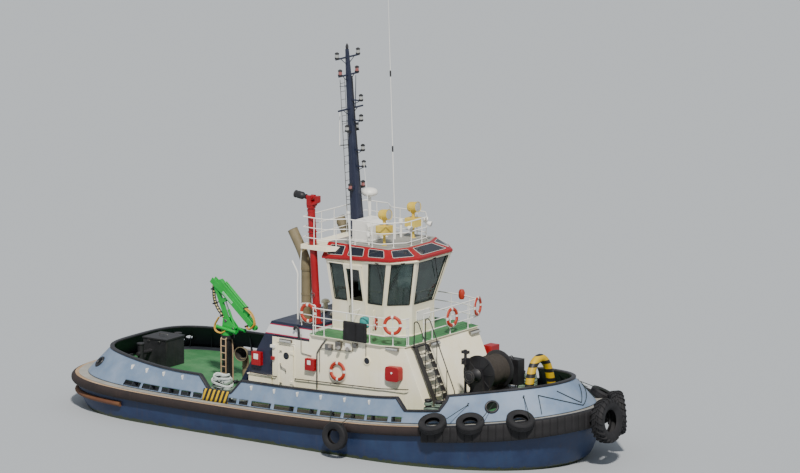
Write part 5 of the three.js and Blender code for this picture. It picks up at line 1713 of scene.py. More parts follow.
@dataclass
class Casing:
    """The engine casing with louvres on its slope and pipes on top, and the two exhausts."""

    stack: tuple = ((-1.0, CASING_TOP), (-1.0, 5.2), (-1.0, 6.1), (-1.06, 6.45), (-1.24, 6.85),
                    (-1.62, 7.5))
    offset: float = 1.45
    radius: float = 0.19
    flanges: tuple = ((CASING_TOP, 0.07, 0.05), (5.15, 0.012, 0.05), (6.08, 0.03, 0.035), (6.12, 0.03, 0.035))
    louvres: tuple = ((-1.9, -0.5), (0.5, 1.9))
    mushrooms: tuple = ((-1.5, 0.4, 0.16), (-1.55, -0.5, 0.13), (-0.5, 0.9, 0.12))
    pipes: tuple = (
        (((-1.32, -1.55, CASING_TOP), (-1.34, -1.55, 5.6), (-1.34, -1.5, 5.9), (-1.62, -1.5, 6.35)),
         0.15, 0.032, 14),
        (((-0.9, -1.95, CASING_TOP), (-0.9, -1.95, 6.4), (-0.88, -1.9, 7.0)), 0.2, 0.016, 10),
    )

    def build_stacks(self, yard: Yard) -> None:
        """A thin pipe along a bend with an open mouth, clamp rings and a foot flange.

        Args:
            yard: Takes the pieces.
        """
        path = curve([(-1.0, 0, 6.1), *[(x, 0, z) for x, z in self.stack[3:]]], 10)
        path = np.concatenate([[(-1.0, 0, 4.21), (-1.0, 0, 5.2), (-1.0, 0, 5.9)], path])
        for name, hand in (("starboard", -1), ("port", 1)):
            shape = Shape()
            shift = np.array([0, hand * self.offset, 0])
            shape.hollow(path + shift, self.radius, 0.014, 12, 36)
            for height, grow, tall in self.flanges:
                rows = flat_ring(self.radius - 0.02, self.radius + grow, 0, tall)
                shape.lathe(rows, (-1.0, shift[1], height), sides=40, loop=True)
            for a in around(12):
                spot = (-1.0 + 0.235 * np.cos(a), shift[1] + 0.235 * np.sin(a))
                shape.rod((*spot, 4.24), (*spot, 4.275), 0.012, sides=6)
            mouth = path[-1] + shift
            shape.bar(mouth, mouth + [-0.01, 0, 0.018], self.radius + 0.006, 36)
            soot = Shape()
            soot.lathe(flat_ring(0, self.radius - 0.012, 0, 0.01),
                       mouth + [0, 0, 0.022], (-0.505, 0, 0.863), 32)
            yard.stand_in(f"exhaust_{name}", shape, (Look.STACK,), "exhaust_paint")
            yard.piece(f"exhaust_{name}_soot", soot, (Look.SOOT,), "exhaust_paint")

    def build_trim(self, yard: Yard) -> None:
        """Louvre slats in two frames on the aft slope, hatches, mushroom vents and slim pipes.

        Args:
            yard: Takes the pieces.
        """
        shape = Shape()
        slope = unit([1.7, 0, 2.92])
        out = np.array([-slope[2], 0, slope[0]])
        foot = np.array([-3.65, 0, 1.28])
        for y0, y1 in self.louvres:
            for k in range(9):
                near = foot + slope * (1.5 + 0.11 * k) + out * 0.004
                far = near + slope * 0.07 + out * 0.035
                corners = np.array([near + [0, y0, 0], near + [0, y1, 0],
                                    far + [0, y1, 0], far + [0, y0, 0]])
                shape.plate(corners, 0.006)
            loop = np.array([foot + slope * a + np.array([0, y, 0]) for a, y in
                             ((1.4, y0 - 0.05), (1.4, y1 + 0.05), (2.6, y1 + 0.05), (2.6, y0 - 0.05))])
            shape.tube(rounded(loop, 0.04, loop=True), (0.03, 0.025), 10, 0, True)
        yard.piece("casing_louvres", shape, (Look.MAST,), "casing_paint")
        top = Shape()
        for x, y, size in self.mushrooms:
            rows = [(0, 0), (size * 0.55, 0), (size * 0.55, 0.26), (size, 0.27), (size * 1.05, 0.31),
                    (size * 0.8, 0.38), (size * 0.4, 0.41), (0, 0.42)]
            top.lathe(rows, (x, y, CASING_TOP), sides=28)
        top.block((-0.75, -0.25), (-0.35, 0.35), (CASING_TOP, 4.3))
        top.block((-1.75, -1.25), (-0.15, 0.15), (CASING_TOP, 4.27))
        yard.piece("casing_vents", top, (Look.CREAM,), "house_paint", bevel=0.01)
        pipe = Shape()
        for path, bend, radius, sides in self.pipes:
            pipe.tube(rounded(path, bend), radius, sides)
        yard.piece("casing_pipes", pipe, (Look.WHITE,), "white_paint")

    def build(self, yard: Yard) -> None:
        """Casing, exhausts and trim.

        Args:
            yard: Takes the pieces.
        """
        yard.refined("engine_casing", (Look.NAVY,), "casing_paint", 0.02)
        self.build_stacks(yard)
        self.build_trim(yard)


HOUSE_FOOT = np.array([(0.15, -1.4), (2.5, -1.4), (3.25, -0.7), (3.25, 0.7), (2.5, 1.4), (0.15, 1.4)])
HOUSE_BROW = np.array([(0.1, -1.75), (2.95, -1.75), (3.7, -1.05), (3.7, 1.05), (2.95, 1.75), (0.1, 1.75)])
SILL, BROW, BROW_RISE = 5.05, 6.7, 0.065
ROOF_RIM = np.array([(0.0, -1.85), (3.05, -1.85), (3.85, -1.02), (3.85, 1.02), (3.05, 1.85), (0.0, 1.85)])
ROOF_CROWN = np.array([(0.05, -1.5), (2.75, -1.5), (3.08, -0.67), (3.08, 0.67), (2.75, 1.5), (0.05, 1.5)])


def panel(low: Array, high: Array, face: int, u: tuple, v: tuple) -> Array:
    """Four corners on the face between two outlines, each a blend of the face's own corners.

    Args:
        low: Corners of the lower outline.
        high: Corners of the upper outline.
        face: The face's number.
        u: Two shares along the face.
        v: Two shares up it.

    Returns:
        The four corners.
    """
    after = (face + 1) % len(low)
    share_u = np.array([u[0], u[1], u[1], u[0]])[:, None]
    share_v = np.array([v[0], v[0], v[1], v[1]])[:, None]
    bottom = low[face] + (low[after] - low[face]) * share_u
    top = high[face] + (high[after] - high[face]) * share_u
    return bottom + (top - bottom) * share_v


@dataclass
class Wheelhouse:
    """The wheelhouse with gaskets, wipers, gutter and door handles, and what is inside it."""

    panes: tuple = (
        (0, (0.05, 0.29)), (0, (0.68, 0.96)), (1, (0.09, 0.91)), (2, (0.07, 0.93)), (3, (0.09, 0.91)),
        (4, (0.04, 0.32)), (4, (0.71, 0.95)), (5, (0.08, 0.46)), (5, (0.54, 0.92)),
    )
    rise: tuple = (0.05, 0.93)

    def pane(self, face: int, u: tuple) -> Array:
        """Corners of a window opening on the wall's outer face.

        Args:
            face: The wall's number.
            u: Two shares along the wall.

        Returns:
            The four corners.
        """
        low = np.column_stack([HOUSE_FOOT, np.full(6, SILL)])
        high = np.column_stack([HOUSE_BROW, np.full(6, BROW)])
        corners = panel(low, high, face, u, self.rise)
        whole = (corners[[2, 3]] - corners[[1, 0]]) / (self.rise[1] - self.rise[0])
        corners[2:] += whole * BROW_RISE * corners[2:, :1] / (BROW - SILL)
        return corners

    def deck_marks(self, spots: Array, ways: Array) -> Array:
        """The bridge deck's top is green, its edges and underside are cream."""
        return (ways[:, 2] < 0.9).astype(int)

    def build_gaskets(self, shape: Shape) -> None:
        """A rubber cord set in each opening, just inside the wall's face.

        Args:
            shape: Takes the surfaces.
        """
        for face, u in self.panes:
            corners = self.pane(face, u)
            out = unit(np.cross(corners[1] - corners[0], corners[3] - corners[0]))
            middle = corners.mean(0)
            drawn = middle + (corners - middle) * 0.985 - out * 0.012
            shape.tube(rounded(drawn, 0.07, 6, True), (0.022, 0.014), 10, 0, True, out)

    def build_wipers(self, shape: Shape) -> None:
        """A motor box over each forward pane, an arm down the glass and a blade on it.

        Args:
            shape: Takes the surfaces.
        """
        for (face, u), swing in zip(self.panes[1:5], (0.2, -0.25, 0.3, -0.2)):
            corners = self.pane(face, u)
            out = unit(np.cross(corners[1] - corners[0], corners[3] - corners[0]))
            along = unit(corners[1] - corners[0])
            up = unit(corners[3] - corners[0])
            head = (corners[2] + corners[3]) / 2 + up * 0.06
            tip = head - up * 0.72 + along * swing
            lift = out * 0.03
            shape.bar(head - along * 0.07 + out * 0.02, head + along * 0.07 + out * 0.02, (0.035, 0.03), 10,
                      0, up=out, square=0.5)
            shape.tube(np.stack([head + lift, (head + tip) / 2 + lift * 1.2, tip + lift * 0.8]), 0.009, 8)
            blade = unit(tip - head) * 0.3
            shape.bar(tip + blade + out * 0.012, tip - blade + out * 0.012, (0.012, 0.01), 8, 0, up=out)

    def build_trim(self, shape: Shape) -> None:
        """A rain gutter under the roof's rim, a foot moulding and a grab bar each side.

        Args:
            shape: Takes the surfaces.
        """
        middle = np.array([1.7, 0])
        height = 6.655 + BROW_RISE * HOUSE_BROW[:, :1]
        grown = HOUSE_FOOT + (HOUSE_BROW - HOUSE_FOOT) * (height - SILL) / (BROW - SILL)
        for loop, level, radius, push in ((grown, height, (0.03, 0.022), 1.012),
                                          (HOUSE_FOOT, np.full((6, 1), 4.0), (0.02, 0.03), 1.008)):
            path = np.hstack([middle + (loop - middle) * push, level])[::-1]
            shape.tube(rounded(path, 0.05), radius, 10, up=(0, 0, 1))
        for hand in (-1, 1):
            bar = [(2.05, hand * 1.4, 4.2), (2.05, hand * 1.46, 4.24), (2.05, hand * 1.46, 4.9),
                   (2.05, hand * 1.4, 4.94)]
            shape.tube(rounded(bar, 0.03), 0.014, 10)

    def build_board(self, yard: Yard) -> None:
        """A pale blank plate on the front, on four bolts.

        Args:
            yard: Takes the pieces.
        """
        shape = Shape()
        shape.block((3.25, 3.268), (-0.42, 0.42), (4.5, 4.86), 0)
        for y in (-0.38, 0.38):
            for z in (4.54, 4.82):
                shape.rod((3.26, y, z), (3.28, y, z), 0.014, 1, 8)
        yard.piece("front_plate", shape, (Look.WHITE, Look.STEEL), "white_paint", bevel=0.004)

    def build_inside(self, yard: Yard) -> None:
        """Three screens and two levers on the helm desk, and a seat's cushions.

        Args:
            yard: Takes the pieces.
        """
        shape = Shape()
        for y in (-0.42, 0.0, 0.42):
            corners = np.array([(2.47, y - 0.17, 4.9), (2.47, y + 0.17, 4.9), (2.62, y + 0.17, 5.16),
                                (2.62, y - 0.17, 5.16)])
            shape.plate(corners, 0.03, 0)
            face = corners + (corners.mean(0) - corners) * 0.12
            shape.plate(face[::-1], 0.006, 1)
        for y in (-0.22, 0.22):
            shape.rod((2.42, y, 4.86), (2.38, y, 5.06), 0.014, 2, 10)
            shape.lathe([(0, -0.03), (0.03, -0.02), (0.035, 0.0), (0.03, 0.02), (0, 0.03)],
                        (2.375, y, 5.08), (0, 0, 1), 16, 0)
        shape.block((1.36, 1.84), (-0.24, 0.24), (4.6, 4.68), 0)
        shape.block((1.405, 1.47), (-0.23, 0.23), (4.75, 5.28), 0)
        yard.piece("helm_details", shape, (Look.GASKET, Look.SKY, Look.STEEL), "console_plastic",
                   bevel=0.01)

    def build(self, yard: Yard) -> None:
        """Walls, glass, doors and trim.

        Args:
            yard: Takes the pieces.
        """
        yard.refined("wheelhouse", (Look.CREAM,), "house_paint", 0.012)
        yard.refined("helm_station", (Look.GREY,), "console_plastic", 0.015)
        yard.refined("bridge_deck", (Look.DECK, Look.CREAM), "deck_paint", 0.008, self.deck_marks)
        for node in ("glazing_front", "glazing_aft"):
            yard.refined(node, (Look.GLASS,), "window_glass", 0.0)
        rubber = Shape()
        self.build_gaskets(rubber)
        self.build_wipers(rubber)
        yard.piece("window_gaskets", rubber, (Look.GASKET,), "black_paint")
        trim = Shape()
        self.build_trim(trim)
        yard.piece("wheelhouse_trim", trim, (Look.CREAM,), "house_paint")
        for name, hand in (("starboard", -1), ("port", 1)):
            node = f"wheelhouse_door_{name}"
            yard.refined(node, (Look.CREAM,), "house_paint", 0.006)
            grip = Shape()
            y = hand * 1.448
            bar = [(0.99, y, 4.72), (0.99, y + hand * 0.05, 4.74), (0.99, y + hand * 0.05, 4.96),
                   (0.99, y, 4.98)]
            grip.tube(rounded(bar, 0.02), 0.012, 10)
            yard.piece(f"{node}_grip", grip, (Look.STEEL,), "house_paint", body=node)
        self.build_board(yard)
        self.build_inside(yard)


@dataclass
class Roof:
    """The red roof with its sky windows, platform, lamp stands, locker and small gear."""

    sky: tuple = (
        (0, (0.07, 0.3)), (0, (0.38, 0.61)), (0, (0.69, 0.93)), (1, (0.14, 0.86)), (2, (0.1, 0.9)),
        (3, (0.14, 0.86)), (4, (0.07, 0.31)), (4, (0.39, 0.62)), (4, (0.7, 0.93)),
    )
    low: float = 6.7003
    edge: float = 6.78
    crown: float = ROOF_TOP
    platform: tuple = (6.99, PLATFORM_TOP)
    pass_hole: tuple = (-0.47, -1.75, 0.2)
    shelf: tuple = ((-0.85, -2.0), (0.3, -2.0), (0.75, -1.5), (0.75, 1.5), (0.3, 2.0), (-0.85, 2.0))
    locker: tuple = ((0.58, 7.271), (1.32, 7.271), (1.32, 7.84), (1.16, 7.998), (0.58, 7.998))
    floods: tuple = ((3.02, 0.75, 0.3), (2.95, -0.4, -0.1), (2.4, 1.36, 0.9))

    def build_brow(self, shape: Shape) -> None:
        """Rim and slopes: straight lines from the tilted rim to the level crown, on a fine grid.

        Args:
            shape: Takes the surfaces.
        """
        t = np.linspace(0, 1, 13)[:-1, None]
        rim, crown = [np.concatenate([a + (b - a) * t for a, b in zip(loop, np.roll(loop, -1, 0))])
                      for loop in (ROOF_RIM, ROOF_CROWN)]
        tilt = BROW_RISE * rim[:, :1]
        low, edge = np.hstack([rim, self.low + tilt]), np.hstack([rim, self.edge + tilt])
        top = np.column_stack([crown, np.full(len(crown), self.crown)])
        shape.skin(np.stack([low, *(edge + (top - edge) * share for share in np.linspace(0, 1, 7))]))
        middle = ROOF_CROWN.mean(0)
        # The crown's top takes the roof grey, darkened as painted shade.
        shape.slab("xy", middle + (ROOF_CROWN - middle) * 0.985, self.crown - 0.01, self.crown + 0.003, 2)

    def build_platform(self, shape: Shape) -> None:
        """The pale shelf aft: its edge and the riser's hole are cut at the same angles round the hole.

        Args:
            shape: Takes the surfaces.
        """
        outline = np.array(self.shelf)
        x, y, radius = self.pass_hole
        after = np.roll(outline, -1, 0)
        t = np.linspace(0, 1, 17)[:-1, None]
        edge = np.concatenate([a + (b - a) * t for a, b in zip(outline, after)])
        hole = np.array([x, y]) + radius * unit(edge - [x, y])
        low, high = self.platform
        rings = [(edge, low), (edge, high), (hole, high), (hole, low)]
        shape.skin(np.stack([np.column_stack([loop, np.full(len(loop), z)]) for loop, z in rings]), 1,
                   loop=True)

    def build_stands(self, shape: Shape) -> None:
        """A post and a yellow battery box under each searchlight.

        Args:
            shape: Takes the surfaces.
        """
        for y in (-LIGHT_SIDE, LIGHT_SIDE):
            shape.rod((LIGHT_X, y, self.crown), (LIGHT_X, y, 7.75), 0.05, 3)
            shape.lathe([(0, 0), (0.1, 0), (0.1, 0.012), (0.05, 0.02), (0, 0.02)], (LIGHT_X, y, self.crown),
                        sides=28, finish=3)
            shape.block((1.92, 2.38), (y - 0.23, y + 0.23), (7.7, 8.0197), 3)

    def build_sky(self, yard: Yard) -> None:
        """Dark panes in slim pale frames on the slopes of the roof.

        Args:
            yard: Takes the pieces.
        """
        low = np.hstack([ROOF_RIM, self.edge + BROW_RISE * ROOF_RIM[:, :1]])
        high = np.column_stack([ROOF_CROWN, np.full(6, self.crown)])
        glass, frames = Shape(), Shape()
        for face, u in self.sky:
            corners = panel(low, high, face, u, (0.16, 0.84))
            out = unit(np.cross(corners[1] - corners[0], corners[3] - corners[0]))
            glass.plate(corners, 0.012, 0, 0.006)
            frames.tube(rounded(corners + out * 0.014, 0.05, 5, True), (0.008, 0.01), 10, 0, True, out)
        yard.piece("sky_windows", glass, (Look.SKY,), "window_glass")
        yard.piece("sky_frames", frames, (Look.RING_BAND,), "white_plastic")

    def build_gear(self, yard: Yard) -> None:
        """A slanted locker, two small domes on posts, a ball-topped aerial and floodlights.

        Args:
            yard: Takes the pieces.
        """
        shape = Shape()
        shape.slab("xz", self.locker, -0.75, 0.42)
        shape.block((0.56, 1.34), (-0.77, 0.44), (7.271, 7.31))
        for y in (-0.5, 0.15):
            shape.block((1.3, 1.335), (y - 0.02, y + 0.02), (7.62, 7.72))
        made = yard.stand_in("roof_locker", shape, (Look.WHITE,), "white_paint", bevel=0.012)
        made.modifiers["edges"].segments = 3
        small = Shape()
        dome = [(0, 0), (0.05, 0), (0.05, 0.5), (0.09, 0.52), (0.1, 0.6), (0.07, 0.68), (0, 0.71)]
        small.lathe(dome, (1.7, 0.75, ROOF_TOP), sides=28)
        small.lathe([(0, 0), (0.04, 0), (0.04, 0.3), (0.11, 0.32), (0.12, 0.42), (0.08, 0.5), (0, 0.53)],
                    (1.6, -1.1, ROOF_TOP), sides=28)
        small.tube(rounded([(1.5, -1.95, 3.98), (1.44, -1.95, 6.2), (1.3, -1.95, 8.5)], 0.5), 0.03, 14)
        small.lathe([(0, -0.06), (0.05, -0.04), (0.06, 0), (0.05, 0.04), (0, 0.06)], (1.296, -1.95, 8.56),
                    sides=20)
        for z in (4.9, 7.45):
            small.bar((1.44, -1.95, z), (1.44, -1.5 if z > 6 else -1.41, z), 0.014, 8)
        yard.piece("roof_aerials", small, (Look.WHITE,), "white_plastic")
        flood = Shape()
        for x, y, turn in self.floods:
            way = unit((1.0, turn, -0.25))
            flood.lathe([(0, -0.1), (0.06, -0.1), (0.1, 0.02), (0.1, 0.05), (0, 0.05)],
                        (x, y, 7.92), way, 24)
            flood.lathe([(0, 0.05), (0.085, 0.05), (0.08, 0.062), (0, 0.065)], (x, y, 7.92), way, 24, 1)
        yard.piece("flood_lamps", flood, (Look.WHITE, Look.LAMP_CLEAR), "white_plastic")

    def build(self, yard: Yard) -> None:
        """Roof, sky windows and gear.

        Args:
            yard: Takes the pieces.
        """
        shell = Shape()
        self.build_brow(shell)
        self.build_platform(shell)
        self.build_stands(shell)
        looks = (Look.RED, Look.CREAM, Look.ROOF, Look.YELLOW)
        yard.stand_in("wheelhouse_roof", shell, looks, "roof_paint", bevel=0.01)
        self.build_sky(yard)
        self.build_gear(yard)


@dataclass
class Railings:
    """Round rails with posts, standing where the CAD rails stand."""

    rail: float = 0.021
    post: float = 0.017
    roof_rails: tuple = (8.18, 7.8, 7.42)
    bridge_rails: tuple = (4.97, 4.64, 4.31)
    half: tuple = ((-0.8, -1.95), (0.25, -1.95), (0.8, -1.4), (2.35, -1.4), (2.95, -0.65))
    starboard: tuple = ((0.1, -2.55), (3.2, -2.55), (4.06, -2.26), (4.06, -2.0))
    port: tuple = ((4.06, -1.12), (4.06, 2.26), (3.2, 2.55), (0.1, 2.55))

    def roof_feet(self, x: float, y: float) -> float:
        """Height of the roof or of its platform under a post."""
        return PLATFORM_TOP if x < 0.5 or abs(y) > 1.5 else ROOF_TOP

    def bridge_feet(self, x: float, y: float) -> float:
        """Height of the level bridge deck, the same under every post."""
        return BRIDGE_TOP

    def run(self, shape: Shape, points: Rows, heights: tuple, every: float, feet: Callable,
            loop: bool) -> None:
        """Rails at each height and a post every so often.

        Args:
            shape: Takes the surfaces.
            points: The run's corners in plan.
            heights: Heights of the rails, top first.
            every: Wanted spacing of the posts.
            feet: Height of a post's foot for its X and Y.
            loop: Whether the run joins up with itself.
        """
        flat = np.array(points, float)
        for k, height in enumerate(heights):
            path = np.column_stack([flat, np.full(len(flat), height)])
            shape.tube(rounded(path, 0.09, 5, loop), self.rail if k == 0 else self.post, 12, 0, loop,
                       (0, 0, 1))
        legs = [(flat[i], flat[(i + 1) % len(flat)]) for i in range(len(flat) if loop else len(flat) - 1)]
        for k, (start, end) in enumerate(legs):
            length = float(np.linalg.norm(end - start))
            count = max(1, round(length / every))
            runs = [length * (i + 0.5) / count for i in range(count)]
            runs += [0.03] if not loop and k == 0 else []
            runs += [length - 0.03] if not loop and k == len(legs) - 1 else []
            for along in runs:
                x, y = start + (end - start) * along / length
                foot = feet(x, y)
                shape.bar((x, y, foot), (x, y, heights[0]), self.post, 12, up=(1, 0, 0))
                shape.lathe([(0.017, 0), (0.045, 0), (0.045, 0.008), (0.017, 0.012)], (x, y, foot),
                            sides=16)

    def build(self, yard: Yard) -> None:
        """The roof rail with its whip, and the two bridge rails.

        Args:
            yard: Takes the pieces.
        """
        ring = [*self.half, *[(x, -y) for x, y in reversed(self.half)]]
        roof = Shape()
        self.run(roof, ring, self.roof_rails, 0.8, self.roof_feet, True)
        roof.rod((1.95, -1.41, 7.7), (1.62, -1.45, 10.4), 0.018, 0, 10, 0.007)
        yard.stand_in("roof_railing", roof, (Look.WHITE,), "white_paint")
        for name, points in (("starboard", self.starboard), ("port", self.port)):
            shape = Shape()
            self.run(shape, points, self.bridge_rails, 1.1, self.bridge_feet, False)
            yard.stand_in(f"bridge_railing_{name}", shape, (Look.WHITE,), "white_paint")
        self.build_hung(yard)

    def build_hung(self, yard: Yard) -> None:
        """What hangs on the rails: a black cover board, a teal drum and a small orange float.

        Args:
            yard: Takes the pieces.
        """
        shape = Shape()
        shape.bar((1.58, -2.63, 4.33), (2.58, -2.63, 4.33), (0.055, 0.36), 24, 0, up=(0, 0, 1), square=0.3)
        for x, wide in ((2.14, 0.03), (1.66, 0.02), (2.5, 0.02)):
            shape.bar((x, -2.685, 4.0), (x, -2.685, 4.66), (wide, 0.014), 10, 0, up=(1, 0, 0), square=0.5)
        shape.lathe([(0, 0), (0.15, 0.01), (0.19, 0.06), (0.195, 0.3), (0.16, 0.38), (0.06, 0.42),
                     (0, 0.43)],
                    (2.28, -2.3, 4.45), sides=32, finish=1)
        shape.lathe([(0, -0.2), (0.08, -0.18), (0.12, -0.08), (0.12, 0.08), (0.08, 0.18), (0, 0.2)],
                    (3.2, 2.5, 5.0), (0, 0, 1), 24, 2)
        yard.piece("rail_gear", shape, (Look.TYRE, Look.TEAL, Look.RING), "white_plastic")


@dataclass
class Stairs:
    """Steep stairs from the foredeck to the bridge deck."""

    near: float = -1.95
    far: float = -1.2
    stringer: tuple = ((4.2, 3.93), (4.38, 3.93), (5.66, 1.31), (5.62, 1.25), (5.44, 1.25))
    treads: int = 8
    first_tread: float = 3.66
    step: float = 0.28

    def build(self, yard: Yard) -> None:
        """Channel stringers, folded treads with pale nosings, and round handrails.

        Args:
            yard: Takes the pieces.
        """
        shape = Shape()
        for y in (self.near, self.far - 0.05):
            shape.slab("xz", self.stringer, y, y + 0.012)
            for shift in (0.0, 0.165):
                edge = np.array([(4.205 + shift, y + 0.025, 3.92), (5.455 + shift, y + 0.025, 1.27)])
                shape.tube(edge, (0.025, 0.008), 8, 0, up=(0, 1, 0), square=0.5)
        for k in range(self.treads):
            height = self.first_tread - k * self.step
            x = 4.24 + (3.93 - height) * 0.45
            shape.block((x, x + 0.17), (self.near + 0.014, self.far - 0.014), (height - 0.008, height))
            shape.block((x + 0.16, x + 0.17), (self.near + 0.014, self.far - 0.014),
                        (height - 0.04, height), 1)
            for rib in (0.03, 0.07, 0.11):
                shape.block((x + rib, x + rib + 0.012), (self.near + 0.03, self.far - 0.03),
                            (height, height + 0.004), 1)
        shape.block((4.12, 4.3), (self.near, self.far), (3.88, 3.93))
        yard.stand_in("bridge_stairs", shape, (Look.BLACK, Look.CREAM), "black_paint", bevel=0.003)
        rails = Shape()
        for y in (self.near + 0.025, self.far - 0.025):
            path = [(4.24, y, 3.9), (4.24, y, 4.86), (4.42, y, 4.86), (5.55, y, 2.3), (5.55, y, 1.3)]
            rails.tube(rounded(path, 0.1, 8), 0.02, 12, up=(0, 1, 0))
            for x, low, high in ((4.75, 2.85, 4.1), (5.2, 1.95, 3.1)):
                rails.bar((x, y, low), (x, y, high), 0.014, 10, up=(0, 1, 0))
        yard.piece("stair_handrails", rails, (Look.BLACK,), "black_paint")


# Masts, lights and gear


@dataclass
class Mast:
    """The tapered mast with its yards, lamps, ladder and cables."""

    trunk: tuple = ((0.3, ROOF_TOP, 0.19), (0.139, 9.5, 0.15), (0.031, 11.0, 0.11), (-0.128, 13.2, 0.08),
                    (-0.2, 14.2, 0.05))
    yards: tuple = ((13.9, 0.72, 0.65), (13.25, 0.6, 0.52), (12.0, 0.75, 0.0))
    arms: tuple = ((12.35, 0.55, 0.5), (11.6, 0.5, 0.45), (10.5, 0.5, 0.45), (9.9, 0.55, 0.45))

    def at(self, height: float) -> float:
        """X of the trunk's middle at a height."""
        return float(np.interp(height, [z for _, z, _ in self.trunk], [x for x, _, _ in self.trunk]))

    def lamp(self, shape: Shape, x: float, y: float, z: float, lens: int) -> None:
        """A lantern: flanged foot, ribbed lens and domed cap.

        Args:
            shape: Takes the surfaces.
            x: How far forward it stands.
            y: How far to port.
            z: Height of its foot.
            lens: The lens's finish number.
        """
        shape.lathe([(0, -0.02), (0.075, -0.02), (0.085, 0.0), (0.085, 0.04), (0, 0.04)], (x, y, z),
                    sides=24)
        ribs = [(0.066 + 0.006 * (k % 2), 0.04 + 0.016 * k) for k in range(9)]
        shape.lathe([(0, 0.04), *ribs, (0, 0.168)], (x, y, z), sides=24, finish=lens)
        shape.lathe([(0, 0.168), (0.085, 0.168), (0.08, 0.2), (0.04, 0.23), (0, 0.24)], (x, y, z), sides=24)

    def build_frame(self, shape: Shape) -> None:
        """The trunk as a rounded square tube, with round yards, arms and struts.

        Args:
            shape: Takes the surfaces.
        """
        path = np.array([(x, 0, z) for x, z, _ in self.trunk])
        half = np.array([h for _, _, h in self.trunk]) * 1.12
        shape.tube(path, (half, half), 24, 0, up=(1, 0, 0.1), square=0.42)
        shape.block((0.06, 0.56), (-0.26, 0.26), (ROOF_TOP, 7.3))
        for height, reach, _ in self.yards:
            x = self.at(height)
            shape.bar((x, -reach, height), (x, reach, height), 0.034, 14, up=(0, 0, 1))
            for hand in (-1, 1):
                shape.bar((x, hand * reach * 0.62, height), (x, 0, height - 0.3), 0.014, 8, up=(1, 0, 0))
        for height, reach, _ in self.arms:
            x = self.at(height)
            shape.block((x, x + reach), (-0.05, 0.05), (height - 0.035, height))
            shape.bar((x + reach * 0.8, 0, height - 0.03), (x + 0.1, 0, height - 0.22), 0.014, 8,
                      up=(0, 1, 0))
        shape.rod((self.at(12.0), 0.3, 12.0), (self.at(12.0) + 0.02, 0.3, 13.2), 0.018, end_radius=0.012)

    def build_ladder(self, shape: Shape) -> None:
        """Rungs held off the aft face between two slim stiles.

        Args:
            shape: Takes the surfaces.
        """
        heights = np.linspace(8.4, 12.9, 16)
        for hand in (-0.14, 0.14):
            path = [(self.at(z) - 0.34 + 0.008 * (z - 8), hand, z) for z in (8.2, 10.5, 13.05)]
            shape.tube(path, 0.012, 8, 1)
        for z in heights:
            x = self.at(z) - 0.34 + 0.008 * (z - 8)
            shape.bar((x, -0.15, z), (x, 0.15, z), 0.01, 8, 1, up=(0, 0, 1))
        for z in (8.6, 10.0, 11.5, 12.8):
            x = self.at(z)
            for hand in (-0.14, 0.14):
                shape.bar((x - 0.34, hand, z), (x - 0.05, hand * 0.4, z), 0.01, 8, 0, up=(0, 0, 1))

    def build(self, yard: Yard) -> None:
        """Trunk, ladder, lanterns and halyards.

        Args:
            yard: Takes the pieces.
        """
        shape = Shape()
        self.build_frame(shape)
        self.build_ladder(shape)
        yard.stand_in("mast", shape, (Look.MAST, Look.STEEL), "casing_paint", bevel=0.004)
        lamps = Shape()
        for height, _, reach in self.arms:
            self.lamp(lamps, self.at(height) + reach, 0, height, 2)
        for height, _, out in self.yards[:2]:
            for hand in (-1, 1):
                self.lamp(lamps, self.at(height), hand * out, height + 0.03, 1 if height < 13.5 else 2)
        for hand in (-1, 1):
            self.lamp(lamps, self.at(9.05) + 0.06, hand * 0.4, 9.05, 1)
            self.lamp(lamps, self.at(11.2), hand * 0.3, 11.2, 2)
            for height, reach in ((9.05, 0.44), (11.2, 0.34)):
                bar = np.array([(self.at(height), 0, height - 0.03),
                                (self.at(height) + 0.06, hand * reach, height - 0.03)])
                lamps.tube(bar, (0.05, 0.018), 10, 0, up=(0, 0, 1), square=0.5)
        lamps.lathe([(0, 0), (0.05, 0), (0.06, 0.1), (0.02, 0.2), (0, 0.21)], (-0.2, 0, 14.2), sides=20)
        yard.piece("mast_lamps", lamps, (Look.BLACK, Look.LAMP_RED, Look.LAMP_CLEAR), "casing_paint")
        lines = Shape()
        for y in (0.06, 0.1):
            lines.tube(np.array([(self.at(7.4) + 0.2, y, 7.3), (self.at(9.5) + 0.16, y, 9.5),
                                 (self.at(11) + 0.12, y, 11.0), (self.at(13.2) + 0.09, y, 13.2)]), 0.016, 10)
        foot, stick = (self.at(10.7), 0, 10.66), (self.at(10.7) - 0.28, -0.42, 10.66)
        lines.bar(foot, stick, 0.018, 10, up=(0, 0, 1))
        lines.rod(stick, (*stick[:2], 11.95), 0.022, 1, 14, 0.014)
        yard.piece("mast_lines", lines, (Look.BLACK, Look.WHITE), "black_paint")


